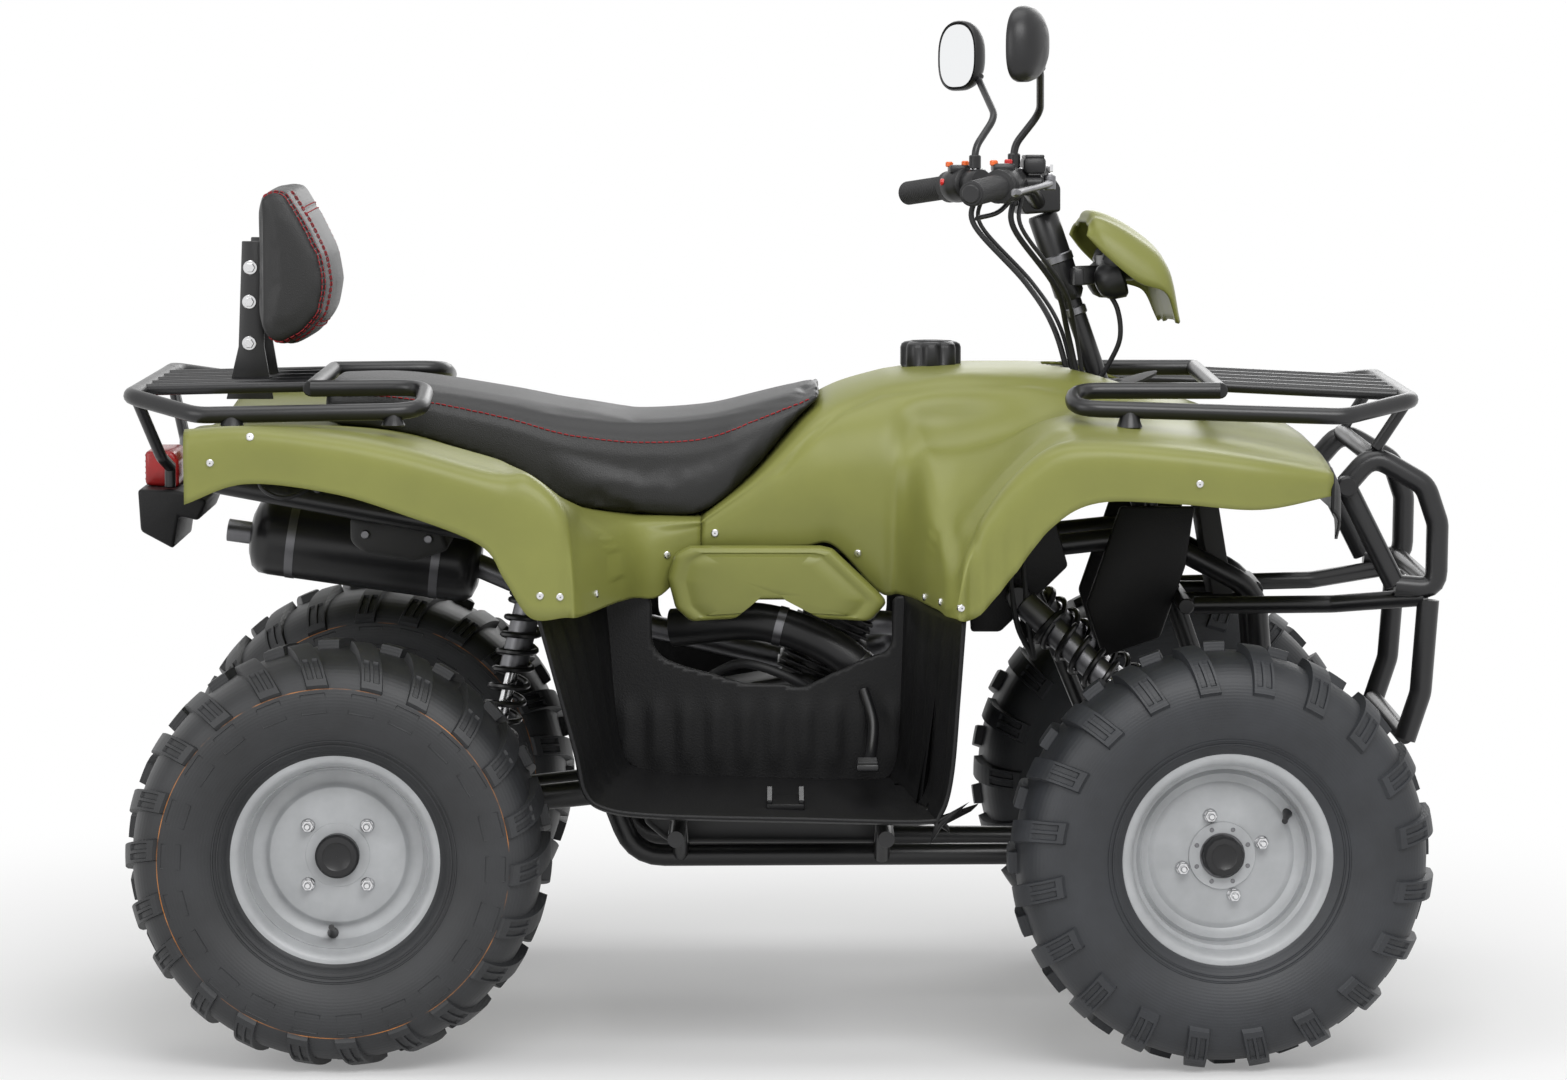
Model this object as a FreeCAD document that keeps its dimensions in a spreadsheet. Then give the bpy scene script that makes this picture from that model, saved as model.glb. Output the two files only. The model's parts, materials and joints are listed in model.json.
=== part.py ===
import FreeCAD, Part
import math
import os

import Sketcher

Vector = FreeCAD.Vector

# Quad bike, in millimetres. +X is forward, +Y is the rider's left, +Z is up.
# The origin lies on the floor under the middle of the whole vehicle.
# It is parked on its four wheels with the bars turned a little to the left.

SIZES = {
    # Driving dimensions of the whole vehicle
    "wheelbase": 1150.0,
    "flare_reach": 500.0,
    "deck_height": 900.0,
    # Wheels
    "tyre_radius": 280.0,
    "lug_depth": 12.0,
    "lug_width": 30.0,
    "rear_lugs": 22.0,
    "front_lugs": 20.0,
    "rear_tyre_width": 250.0,
    "front_tyre_width": 180.0,
    "bead_radius": 127.0,
    "flange_lip": 13.0,
    "rim_wall": 6.0,
    "hub_radius": 46.0,
    "hub_length": 60.0,
    "pilot_radius": 32.0,
    "cap_reach": 30.0,
    "rear_track": 806.0,
    "front_track": 860.0,
    "running_gap": 0.3,
    "seam_gap": 0.3,
    # Rear axle
    "axle_radius": 18.0,
    "disc_radius": 105.0,
    "disc_thickness": 5.0,
    "sprocket_radius": 95.0,
    "sprocket_thickness": 7.0,
    "bearing_radius": 42.0,
    "bearing_length": 190.0,
    # Front suspension and steering
    "kingpin_inset": 105.0,
    "kingpin_reach": 72.0,
    "ball_joint_radius": 16.0,
    "spindle_radius": 12.0,
    "caster_angle": 8.0,
    "column_angle": 19.1,
    "rest_steer_angle": 5.5,
    "steering_arm": 60.0,
    "tie_rod_radius": 7.0,
    "tie_rod_eye_radius": 12.0,
    "tie_rod_eye_height": 20.0,
    "pitman_pin_offset": 26.0,
    "arm_thickness": 10.0,
    "column_radius": 14.0,
    "column_sleeve_radius": 21.0,
    "wishbone_tube_radius": 12.0,
    "wishbone_pivot_radius": 17.0,
    "shock_body_radius": 24.0,
    "shock_rod_radius": 9.0,
    "spring_radius": 30.0,
    # Handlebar
    "bar_radius": 11.0,
    "bar_bend": 60.0,
    "grip_radius": 17.0,
    "grip_length": 120.0,
    "lever_radius": 6.0,
    "mirror_width": 84.0,
    "mirror_height": 100.0,
    "mirror_depth": 24.0,
    "mirror_stalk_radius": 5.5,
    "cable_radius": 4.0,
    "headlight_width": 220.0,
    "headlight_lens_radius": 24.0,
    # Frame and tube work
    "rail_radius": 15.0,
    "brace_radius": 11.0,
    "frame_bend": 60.0,
    "rack_tube_radius": 11.0,
    "rack_slat_radius": 8.0,
    "rack_bend": 45.0,
    "bumper_tube_radius": 15.0,
    "bumper_bend": 35.0,
    "bracket_thickness": 6.0,
    # Bodywork
    "panel_wall": 5.0,
    "footwell_wall": 6.0,
    "fuel_cap_radius": 42.0,
    "fuel_cap_height": 46.0,
    "seat_half_width": 170.0,
    "backrest_width": 290.0,
    "side_cover_depth": 34.0,
    "mudguard_width": 240.0,
    # Engine and exhaust
    "engine_width": 210.0,
    "exhaust_pipe_radius": 17.0,
    "muffler_radius": 55.0,
    "outlet_radius": 16.0,
    "outlet_reach": 35.0,
}

REAR_AXLE_SHARE = -0.5165
FRONT_AXLE_SHARE = 0.4835
RIGHT = -1
LEFT = 1
SIDES = ((RIGHT, "right"), (LEFT, "left"))
AXIS_X = Vector(1, 0, 0)
AXIS_Y = Vector(0, 1, 0)
AXIS_Z = Vector(0, 0, 1)
ORIGIN = Vector(0, 0, 0)
FULL_TURN = 360
# Round bars and drums have flat sides, so that the whole vehicle stays light
TUBE_SIDES = 8
THIN_SIDES = 6
DRUM_SIDES = 16
RIM_SIDES = 20
LEAST_TILT = 0.1
BEND_ROOM_SHARE = 0.4
SLIGHT_TURN = math.radians(12)
SHARP_TURN = math.radians(50)

doc = FreeCAD.newDocument("QuadBike")
sheet = doc.addObject("Spreadsheet::Sheet", "Sizes")
for row, (name, value) in enumerate(SIZES.items(), 1):
    sheet.set("A%d" % row, name)
    sheet.set("B%d" % row, str(value))
    sheet.setAlias("B%d" % row, name)
doc.recompute()


def size(name):
    """A driving dimension, read back from the sheet."""
    return float(sheet.get(name))


def place(x_share, y_share, z_share):
    """A point given as shares of the wheelbase, the flare reach and the deck height."""
    return Vector(
        x_share * size("wheelbase"),
        y_share * size("flare_reach"),
        z_share * size("deck_height"),
    )


def mirrored(points):
    return [Vector(p.x, -p.y, p.z) for p in points]


def polygon(points):
    return Part.makePolygon(list(points) + [points[0]])


def prism(points, reach):
    """A closed outline pushed along a vector."""
    return Part.Face(polygon(points)).extrude(reach)


def ring(centre, normal, radius, sides):
    """A regular many-sided outline round a line, its flats at the radius and one of them on top."""
    heading = Vector(normal).normalize()
    across = heading.cross(AXIS_Z)
    if across.Length < LEAST_TILT:
        across = heading.cross(AXIS_X)
    across.normalize()
    up = across.cross(heading)
    corner = radius / math.cos(math.pi / sides)
    points = []
    for index in range(sides):
        angle = math.pi / 2 + 2 * math.pi * (index + 0.5) / sides
        points.append(centre + across * (corner * math.cos(angle)) + up * (corner * math.sin(angle)))
    return polygon(points)


def rod(start, end, radius, sides=TUBE_SIDES):
    """A straight bar, or the room for one, with its flats at the radius."""
    return Part.Face(ring(start, end - start, radius, sides)).extrude(end - start)


def shaft(start, end, radius, sides=TUBE_SIDES):
    """A straight bar whose edges just reach the radius, so that it turns in a round hole."""
    return rod(start, end, radius * math.cos(math.pi / sides), sides)


def softened(points, bend):
    """The runs with each corner cut back to two or three short steps that follow its bend."""
    path = [points[0]]
    for before, corner, after in zip(points, points[1:], points[2:]):
        back = (before - corner).normalize()
        ahead = (after - corner).normalize()
        opening = back.getAngle(ahead)
        if math.pi - opening < SLIGHT_TURN:
            path.append(corner)
            continue
        room = BEND_ROOM_SHARE * min((before - corner).Length, (after - corner).Length)
        reach = min(bend / math.tan(opening / 2), room)
        path.append(corner + back * reach)
        if math.pi - opening > SHARP_TURN:
            radius = reach * math.tan(opening / 2)
            inward = (back + ahead).normalize()
            path.append(corner + inward * (radius / math.sin(opening / 2) - radius))
        path.append(corner + ahead * reach)
    path.append(points[-1])
    return path


def tube(points, radius, bend, sides=TUBE_SIDES):
    """A many-sided bar swept along a bent path, with a mitre at each step."""
    path = softened(points, bend)
    section = ring(path[0], path[1] - path[0], radius, sides)
    return Part.makePolygon(path).makePipeShell([section], True, False, 1)


def faceted(outlines):
    """A solid bounded by flat faces, each given by its corners."""
    solid = Part.makeSolid(Part.makeShell([Part.Face(polygon(corners)) for corners in outlines]))
    if solid.Volume < 0:
        solid.reverse()
    return solid


def band(near, far):
    """The triangles between two closed outlines with equally many corners."""
    triangles = []
    for index in range(len(near)):
        after = (index + 1) % len(near)
        triangles.append([near[index], near[after], far[after]])
        triangles.append([near[index], far[after], far[index]])
    return triangles


def bridged(rings):
    """A solid through a row of closed outlines, closed by the first and the last."""
    outlines = [rings[0], rings[-1]]
    for near, far in zip(rings, rings[1:]):
        outlines += band(near, far)
    return faceted(outlines)


def round_bar(start, end, radius):
    """A truly round straight run, where a clamp of the user's goes."""
    return Part.makeCylinder(radius, (end - start).Length, start, end - start)


def round_tube(points, radius, bend):
    """A round bar swept along a bent path, with a mitre at each short step."""
    path = softened(points, bend)
    circle = Part.Wire(Part.Circle(path[0], path[1] - path[0], radius).toShape())
    return Part.makePolygon(path).makePipeShell([circle], True, False, 1)


def flat_turned(corners, sides):
    """A closed outline of (radius, y) corners taken round the Y axis in flat steps."""
    outlines = []
    steps = []
    for index in range(sides + 1):
        angle = 2 * math.pi * (index + 0.5) / sides
        steps.append([Vector(radius * math.sin(angle), y, radius * math.cos(angle)) for radius, y in corners])
    for near, far in zip(steps, steps[1:]):
        for index in range(len(corners)):
            after = (index + 1) % len(corners)
            outlines.append([near[index], near[after], far[after], far[index]])
    return faceted(outlines)


def fused(shapes):
    shapes = list(shapes)
    return shapes[0].multiFuse(shapes[1:]).removeSplitter()


def seated(start, end, radius, seat):
    """A post from start towards end that stops just short of the piece it stands on."""
    heading = (end - start).normalize()
    room = seat.copy()
    room.translate(heading * -size("seam_gap"))
    pieces = rod(start, end, radius, THIN_SIDES).cut(room).Solids
    first = Part.Vertex(start)
    return min(pieces, key=lambda piece: piece.distToShape(first)[0])


def turned_about(shape, point, axis, degrees):
    shape = shape.copy()
    shape.rotate(point, axis, degrees)
    return shape


nodes = {}


def feature(name, shape):
    """Adds a finished shape to the document as one named sub-part."""
    item = doc.addObject("Part::Feature", name)
    item.Label = name
    item.Shape = shape
    nodes[name] = item
    return item


def origin_plane(body, role):
    return [plane for plane in body.Origin.OriginFeatures if plane.Role == role][0]


def outline_sketch(body, name, role, corners):
    """A closed outline whose corners are bound to the sheet by expressions."""
    sketch = body.newObject("Sketcher::SketchObject", name)
    sketch.AttachmentSupport = [(origin_plane(body, role), "")]
    sketch.MapMode = "FlatFace"
    count = len(corners)
    guess = []
    for index in range(count):
        angle = 2 * math.pi * index / count
        guess.append(Vector(2 + math.cos(angle), math.sin(angle), 0) * size("rail_radius"))
    lines = [Part.LineSegment(guess[i], guess[(i + 1) % count]) for i in range(count)]
    sketch.addGeometry(lines, False)
    rules = []
    for index in range(count):
        rules.append(Sketcher.Constraint("Coincident", index, 2, (index + 1) % count, 1))
        rules.append(Sketcher.Constraint("DistanceX", index, 1, guess[index].x))
        rules.append(Sketcher.Constraint("DistanceY", index, 1, guess[index].y))
    sketch.addConstraint(rules)
    for index, (across, up) in enumerate(corners):
        sketch.renameConstraint(3 * index + 1, "across%d" % index)
        sketch.renameConstraint(3 * index + 2, "up%d" % index)
        sketch.setExpression("Constraints.across%d" % index, across)
        sketch.setExpression("Constraints.up%d" % index, up)
    return sketch


def padded_body(name, side_shares, width):
    """A body padded both ways from the middle plane, its side outline and width bound to the sheet."""
    body = doc.addObject("PartDesign::Body", name)
    body.Label = name
    corners = []
    for x_share, z_share in side_shares:
        corners.append(("Sizes.wheelbase * %s" % x_share, "Sizes.deck_height * %s" % z_share))
    sketch = outline_sketch(body, name + "_outline", "XZ_Plane", corners)
    pad = body.newObject("PartDesign::Pad", name + "_pad")
    pad.Profile = sketch
    pad.SideType = "Symmetric"
    pad.setExpression("Length", width)
    doc.recompute()
    nodes[name] = body
    return body


def drum(name, sides, radius, height, placement):
    """A many-sided drum whose radius and height are bound to the sheet."""
    item = doc.addObject("Part::Prism", name)
    item.Label = name
    item.Polygon = sides
    item.setExpression("Circumradius", "%s / cos(180 deg / %d)" % (radius, sides))
    item.setExpression("Height", height)
    item.Placement = placement
    doc.recompute()
    nodes[name] = item
    return item


# Places that several sub-parts share

wheel_height = size("tyre_radius")
rear_axle_centre = Vector(REAR_AXLE_SHARE * size("wheelbase"), 0, wheel_height)
front_axle_x = FRONT_AXLE_SHARE * size("wheelbase")
kingpin_y = size("front_track") / 2 - size("kingpin_inset")
caster = math.radians(size("caster_angle"))
kingpin_axis = Vector(-math.sin(caster), 0, math.cos(caster))
column_lean = math.radians(size("column_angle"))
column_axis = Vector(-math.sin(column_lean), 0, math.cos(column_lean))
COLUMN_PLACE_SHARE = (0.3635, 0, 1.001)
column_point = place(*COLUMN_PLACE_SHARE)
rest_steer = size("rest_steer_angle")


def on_column(height):
    """The point of the steering axis at a height above the floor."""
    return column_point + column_axis * ((height - column_point.z) / column_axis.z)


def kingpin(side):
    """Where the spindle's line meets the kingpin, set so that the turned wheel stands on the floor."""
    turn = FreeCAD.Rotation(kingpin_axis, rest_steer)
    rise = turn.multVec(Vector(0, side * size("kingpin_inset"), 0)).z
    return Vector(front_axle_x, side * kingpin_y, wheel_height - rise)


def steered(shape):
    """Turns a piece that was drawn straight ahead to its place with the bars at rest."""
    return turned_about(shape, column_point, column_axis, rest_steer)


def wheel_steered(shape, side):
    return turned_about(shape, kingpin(side), kingpin_axis, rest_steer)


# Wheels

BEAD_SHARE = 0.31
FLANGE_ROOM_SHARE = 0.12
CARCASS_SHARES = [
    # (height from bead to tread, half width as a share of the tyre's width)
    (0.00, BEAD_SHARE), (FLANGE_ROOM_SHARE, BEAD_SHARE), (0.46, 0.50), (0.88, 0.40), (1.00, 0.03),
]
LUG_FOOT = 2
LUG_SHARES = [
    # (height over the tread in lug depths, half width as a share of the tyre's width)
    (-3.20, 0.505), (0.86, 0.37), (1.00, 0.05),
]
LUG_SLANT_SHARE = 0.20
REAR_LUG_STEP_SHARE = 0.44
EVEN_STEP_SHARE = 0.5


def lug_edges(count, step_share):
    """Where each cell round the tyre starts, in steps: one lug a cell, by turns right and left."""
    centres = []
    for index in range(count):
        shift = step_share - EVEN_STEP_SHARE if index % 2 else 0
        centres += [index + shift, index + shift + 1 / 2]
    before = [centres[-1] - count] + centres[:-1]
    starts = [(near + far) / 2 for near, far in zip(before, centres)]
    return starts + [starts[0] + count]


def tyre_solid(width, count, step_share):
    """A balloon tyre in flat steps whose slanted lugs stand by turns on the right and left shoulder."""
    crown = size("tyre_radius") - size("lug_depth")
    step = 2 * math.pi / count
    edges = lug_edges(count, step_share)
    widest = max(end - start for start, end in zip(edges, edges[1:])) * step
    bead = size("bead_radius") / math.cos(widest / 2)
    plain = [(bead + (crown - bead) * height, across * width) for height, across in CARCASS_SHARES]
    raised = [(crown + height * size("lug_depth"), across * width) for height, across in LUG_SHARES]

    def corners(rows, side, turn):
        points = []
        for radius, y in rows:
            angle = turn * step + LUG_SLANT_SHARE * (width / 4 - y) / crown
            points.append(Vector(radius * math.sin(angle), side * y, radius * math.cos(angle)))
        return points

    outlines = []
    for index, (start, end) in enumerate(zip(edges, edges[1:])):
        lugged = RIGHT if index % 2 == 0 else LEFT
        inset = (end - start - size("lug_width") / (crown * step)) / 2
        loops = []
        for turn, inward in ((start, inset), (end, -inset)):
            foot = corners(plain, lugged, turn)
            top = corners(raised, lugged, turn + inward)
            bare = corners(plain, -lugged, turn)
            loops.append(foot[:LUG_FOOT + 1] + top + foot[-1:] + bare[::-1])
            flank = foot[LUG_FOOT:]
            for near in range(len(top) - 1):
                outlines.append([flank[near], flank[near + 1], top[near + 1]])
                outlines.append([flank[near], top[near + 1], top[near]])
        outlines += band(*loops)
    return faceted(outlines)


def tyre(name, width_name, count_name, step_share, placement):
    item = feature(name, tyre_solid(size(width_name), int(size(count_name)), step_share))
    item.Placement = placement


REAR_DISC_SHARE = 0.12
FRONT_DISC_SHARE = 0.04


RIM_STEP_SHARE = 0.86
RIM_WELL_SHARE = 0.68


def rim(width, disc_share):
    """A pressed wheel, outer side towards +Y: flanges, stepped barrel and dished disc."""
    bead = size("bead_radius")
    lip = bead + size("flange_lip")
    seat = bead - size("seam_gap")
    inside = bead - size("rim_wall")
    edge = BEAD_SHARE * width + size("seam_gap")
    flange = edge + size("rim_wall")
    outer_face = disc_share * width
    inner_face = outer_face - size("rim_wall")
    well = RIM_WELL_SHARE * bead
    step = RIM_STEP_SHARE * inside
    pilot = size("pilot_radius")
    return flat_turned([
        (seat, -edge), (lip, -edge), (lip, -flange), (inside, -flange), (step, inner_face),
        (pilot, inner_face), (pilot, outer_face), (well, outer_face), (step, outer_face),
        (inside, flange), (lip, flange), (lip, edge), (seat, edge),
    ], RIM_SIDES)


def faced(side):
    """Turns a wheel piece whose outer side is +Y so that it faces outward on its own side."""
    return FreeCAD.Rotation(AXIS_Z, 0 if side == LEFT else FULL_TURN / 2)


def rear_wheel_placement(side):
    return FreeCAD.Placement(rear_axle_centre + Vector(0, side * size("rear_track") / 2, 0), faced(side))


def front_wheel_placement(side):
    """Where a piece of a steered wheel stands with the bars at rest."""
    turn = FreeCAD.Rotation(kingpin_axis, rest_steer)
    arm = turn.multVec(Vector(0, side * size("kingpin_inset"), 0))
    return FreeCAD.Placement(kingpin(side) + arm, turn.multiply(faced(side)))


def build_wheels():
    for side, side_name in SIDES:
        rear_place = rear_wheel_placement(side)
        front_place = front_wheel_placement(side)
        tyre("rear_tyre_" + side_name, "rear_tyre_width", "rear_lugs", REAR_LUG_STEP_SHARE, rear_place)
        tyre("front_tyre_" + side_name, "front_tyre_width", "front_lugs", EVEN_STEP_SHARE, front_place)
        rear = feature("rear_rim_" + side_name, rim(size("rear_tyre_width"), REAR_DISC_SHARE))
        rear.Placement = rear_place
        front = feature("front_rim_" + side_name, rim(size("front_tyre_width"), FRONT_DISC_SHARE))
        front.Placement = front_place


def disc_inner_face(width_name, disc_share):
    """Where a hub meets the inside of its wheel's disc, along the axle from the wheel's middle."""
    return disc_share * size(width_name) - size("rim_wall") - size("running_gap")


def pilot_reach():
    """The radius that a hub's pilot may have in the disc's many-sided hole."""
    return size("pilot_radius") * math.cos(math.pi / RIM_SIDES) - size("running_gap")


def build_front_hubs():
    """Hub drum and pilot cap of each front wheel, bored for the spindle."""
    face = disc_inner_face("front_tyre_width", FRONT_DISC_SHARE)
    inner = AXIS_Y * (face - size("hub_length"))
    outer = AXIS_Y * face
    drum = rod(inner, outer, size("hub_radius"), DRUM_SIDES)
    pilot = shaft(outer, outer + AXIS_Y * size("cap_reach"), pilot_reach(), DRUM_SIDES)
    hole = rod(inner, outer, size("spindle_radius") + size("running_gap"))
    hub = fused([drum, pilot]).cut(hole)
    for side, side_name in SIDES:
        item = feature("front_hub_" + side_name, hub)
        item.Placement = front_wheel_placement(side)


def build_rear_axle():
    """The solid axle with its hubs, brake disc and sprocket."""
    reach = size("rear_track") / 2 + disc_inner_face("rear_tyre_width", REAR_DISC_SHARE)
    parts = [shaft(AXIS_Y * -reach, AXIS_Y * reach, size("axle_radius"), DRUM_SIDES)]
    for side, _ in SIDES:
        face = AXIS_Y * (side * reach)
        drum_end = AXIS_Y * (side * (reach - size("hub_length")))
        cap_end = AXIS_Y * (side * (reach + size("cap_reach")))
        parts.append(rod(face, drum_end, size("hub_radius"), DRUM_SIDES))
        parts.append(shaft(face, cap_end, pilot_reach(), DRUM_SIDES))
    clear = size("bearing_length") / 2 + size("hub_length")
    disc = AXIS_Y * -clear
    sprocket = AXIS_Y * clear
    parts.append(rod(disc, disc + AXIS_Y * size("disc_thickness"), size("disc_radius"), RIM_SIDES))
    parts.append(rod(sprocket, sprocket - AXIS_Y * size("sprocket_thickness"), size("sprocket_radius"), RIM_SIDES))
    item = feature("rear_axle", fused(parts))
    item.Placement = FreeCAD.Placement(rear_axle_centre, FreeCAD.Rotation())


# Front suspension and steering

def ball_joint(side, up):
    return kingpin(side) + kingpin_axis * (up * size("kingpin_reach"))


def steering_arm_tip(side):
    """The eye of the knuckle's arm, straight ahead, on the kingpin side."""
    back = Vector(-math.cos(caster), 0, -math.sin(caster))
    inward = Vector(0, -side * size("ball_joint_radius"), 0)
    return kingpin(side) + back * size("steering_arm") + inward


def pitman_pin(side):
    back = Vector(-math.cos(column_lean), 0, -math.sin(column_lean))
    foot = on_column(PITMAN_HEIGHT_SHARE * size("deck_height"))
    return foot + back * size("steering_arm") + Vector(0, side * size("pitman_pin_offset"), 0)


PITMAN_HEIGHT_SHARE = 0.372


KNUCKLE_BOSS_SHARE = 2.0
OPEN_EYE_GAP_SHARE = 10.0
BAR_HEIGHT_SHARE = 0.6


def build_knuckles():
    """Each knuckle: an upright between the ball joints, a spindle and a steering arm."""
    radius = size("ball_joint_radius")
    hub_face = size("kingpin_inset") + disc_inner_face("front_tyre_width", FRONT_DISC_SHARE)
    thick = size("arm_thickness")
    for side, side_name in SIDES:
        gap = radius + size("running_gap")
        top = ball_joint(side, 1) - kingpin_axis * gap
        bottom = ball_joint(side, -1) + kingpin_axis * gap
        upright = rod(bottom, top, radius)
        middle = kingpin(side)
        hub_inner = hub_face - size("hub_length")
        spindle_end = middle + AXIS_Y * (side * (hub_face - size("running_gap")))
        spindle = shaft(middle, spindle_end, size("spindle_radius"))
        boss_end = middle + AXIS_Y * (side * (hub_inner - size("running_gap")))
        boss = rod(middle, boss_end, size("spindle_radius") * KNUCKLE_BOSS_SHARE)
        tip = steering_arm_tip(side)
        width = Vector(0, thick, 0)
        corners = [middle - width, tip - width, tip + width, middle + width]
        arm = prism([c - kingpin_axis * (thick / 2) for c in corners], kingpin_axis * thick)
        below = tip - kingpin_axis * (thick / 2)
        eye = rod(below, below + kingpin_axis * thick, size("tie_rod_eye_radius"))
        feature("knuckle_" + side_name, wheel_steered(fused([upright, spindle, boss, arm, eye]), side))


def build_tie_rods():
    """Rods from the pitman arm to the steering arms, an eye at each end."""
    rise = column_axis * (size("arm_thickness") / 2 + size("running_gap"))
    drop = kingpin_axis * (size("arm_thickness") / 2 + OPEN_EYE_GAP_SHARE * size("running_gap"))
    height = size("tie_rod_eye_height")
    for side, side_name in SIDES:
        inner = turned_about(Part.Vertex(pitman_pin(side)), column_point, column_axis, rest_steer).Point
        outer = turned_about(Part.Vertex(steering_arm_tip(side)), kingpin(side), kingpin_axis, rest_steer).Point
        inner_low = inner + rise
        outer_low = outer + drop
        inner_eye = rod(inner_low, inner_low + column_axis * height, size("tie_rod_eye_radius"))
        outer_eye = rod(outer_low, outer_low + kingpin_axis * height, size("tie_rod_eye_radius"))
        bar = rod(inner_low + column_axis * (height * BAR_HEIGHT_SHARE),
                  outer_low + kingpin_axis * (height * BAR_HEIGHT_SHARE), size("tie_rod_radius"))
        feature("tie_rod_" + side_name, fused([inner_eye, outer_eye, bar]))


COLUMN_TOP_SHARE = 1.228
COLUMN_STEP_SHARE = 1.097


def build_steering_column():
    top = on_column(COLUMN_TOP_SHARE * size("deck_height"))
    step = on_column(COLUMN_STEP_SHARE * size("deck_height"))
    foot = on_column(PITMAN_HEIGHT_SHARE * size("deck_height"))
    stem = shaft(foot - column_axis * size("arm_thickness"), top, size("column_radius"))
    sleeve = rod(step, top, size("column_sleeve_radius"))
    half = size("arm_thickness") / 2
    pins = [pitman_pin(RIGHT), pitman_pin(LEFT)]
    outline = [
        foot + Vector(0, -size("column_radius"), 0), pins[0] + Vector(0, -size("arm_thickness"), 0),
        pins[1] + Vector(0, size("arm_thickness"), 0), foot + Vector(0, size("column_radius"), 0),
    ]
    arm = prism([p - column_axis * half for p in outline], column_axis * 2 * half)
    shape = fused([stem, sleeve, arm])
    feature("steering_column", steered(shape))


WISHBONE_INNER_SHARES = [
    # (x, y, z) of the front and rear pivots of each arm
    ("lower", (0.555, 0.24, 0.262), (0.395, 0.24, 0.262), -1),
    ("upper", (0.540, 0.26, 0.395), (0.400, 0.26, 0.395), 1),
]


WISHBONE_CROSS_SHARE = 0.8
CROSS_PLACE_SHARE = 0.45


def wishbone_pivots(side, up):
    for _, front, rear, level in WISHBONE_INNER_SHARES:
        if level == up:
            return place(front[0], side * front[1], front[2]), place(rear[0], side * rear[1], rear[2])


def wishbone_cross(side, up):
    """The two ends of the bar that braces a wishbone, part of the way to its ball joint."""
    ball = ball_joint(side, up)
    return [pivot + (ball - pivot) * CROSS_PLACE_SHARE for pivot in wishbone_pivots(side, up)]


def build_wishbones():
    """Upper and lower arms on both sides, each with two pivot sleeves and a ball joint."""
    arms = []
    radius = size("wishbone_tube_radius")
    sleeve = size("wishbone_pivot_radius")
    for side, _ in SIDES:
        for up in (-1, 1):
            ball = ball_joint(side, up)
            joint = kingpin_axis * (size("ball_joint_radius"))
            parts = [rod(ball - joint, ball + joint, size("ball_joint_radius"))]
            for pivot in wishbone_pivots(side, up):
                parts.append(rod(pivot, ball, radius, THIN_SIDES))
                parts.append(rod(pivot - AXIS_X * sleeve, pivot + AXIS_X * sleeve, sleeve))
            cross = wishbone_cross(side, up)
            parts.append(rod(cross[0], cross[1], radius * WISHBONE_CROSS_SHARE, THIN_SIDES))
            arms.append(fused(parts))
    return feature("wishbones", Part.makeCompound(arms))


SHOCK_EYE_SHARE = 0.7
SHOCK_BODY_SHARES = (0.13, 0.30)
SHOCK_SPRING_SHARES = (0.20, 0.85)
FRONT_SHOCK_TOP_SHARE = (0.270, 0.27, 0.655)


def shock_eye():
    return size("shock_body_radius") * SHOCK_EYE_SHARE


def plain_shock(top, bottom):
    """A damper: body, rod, end eyes and the spring's outer form."""
    reach = bottom - top
    eye = shock_eye()
    parts = [rod(top, bottom, size("shock_rod_radius"))]
    for shares, radius in ((SHOCK_BODY_SHARES, size("shock_body_radius")), (SHOCK_SPRING_SHARES, size("spring_radius"))):
        parts.append(rod(top + reach * shares[0], top + reach * shares[1], radius))
    for end in (top, bottom):
        parts.append(rod(end - AXIS_Y * eye, end + AXIS_Y * eye, eye))
    return fused(parts)


def build_front_shocks():
    """From the frame's upper cross tube down to the upper wishbone on each side."""
    shapes = []
    for side, _ in SIDES:
        x, y, z = FRONT_SHOCK_TOP_SHARE
        arm = wishbone_cross(side, 1)
        rest = size("wishbone_tube_radius") * WISHBONE_CROSS_SHARE + size("seam_gap") + shock_eye()
        shapes.append(plain_shock(place(x, side * y, z), (arm[0] + arm[1]) / 2 + AXIS_Z * rest))
    feature("front_shocks", Part.makeCompound(shapes))


# Handlebar and what rides on it

BAR_SHARES = [
    (0.178, 0.740, 1.260), (0.228, 0.500, 1.272), (0.272, 0.250, 1.268), (0.292, 0.090, 1.245),
]


def bar_points():
    right = [place(x, -y, z) for x, y, z in BAR_SHARES]
    return right + mirrored(right[::-1])


def bar_room():
    """What the pieces that are clamped round the bar leave open for it."""
    return tube(bar_points(), size("bar_radius") + size("running_gap"), size("bar_bend"))


def build_handlebar():
    feature("handlebar", steered(round_tube(bar_points(), size("bar_radius"), size("bar_bend"))))


CLAMP_SHARES = [
    # Side outline of the clamp block and its cover
    (0.262, 1.262), (0.262, 1.296), (0.300, 1.302), (0.318, 1.270), (0.318, 1.232), (0.275, 1.228),
]


CLAMP_HALF_SHARE = 0.11
CLAMP_FLOOR_SHARE = 1.235


def build_bar_clamp():
    half = CLAMP_HALF_SHARE * size("flare_reach")
    block = prism([place(x, 0, z) - AXIS_Y * half for x, z in CLAMP_SHARES], AXIS_Y * 2 * half)
    clear = size("running_gap")
    block = block.cut(bar_room())
    column_top = on_column(CLAMP_FLOOR_SHARE * size("deck_height"))
    block = block.cut(rod(on_column(size("deck_height")), column_top + column_axis * clear,
                          size("column_sleeve_radius") + clear))
    feature("bar_clamp", steered(block))


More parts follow.
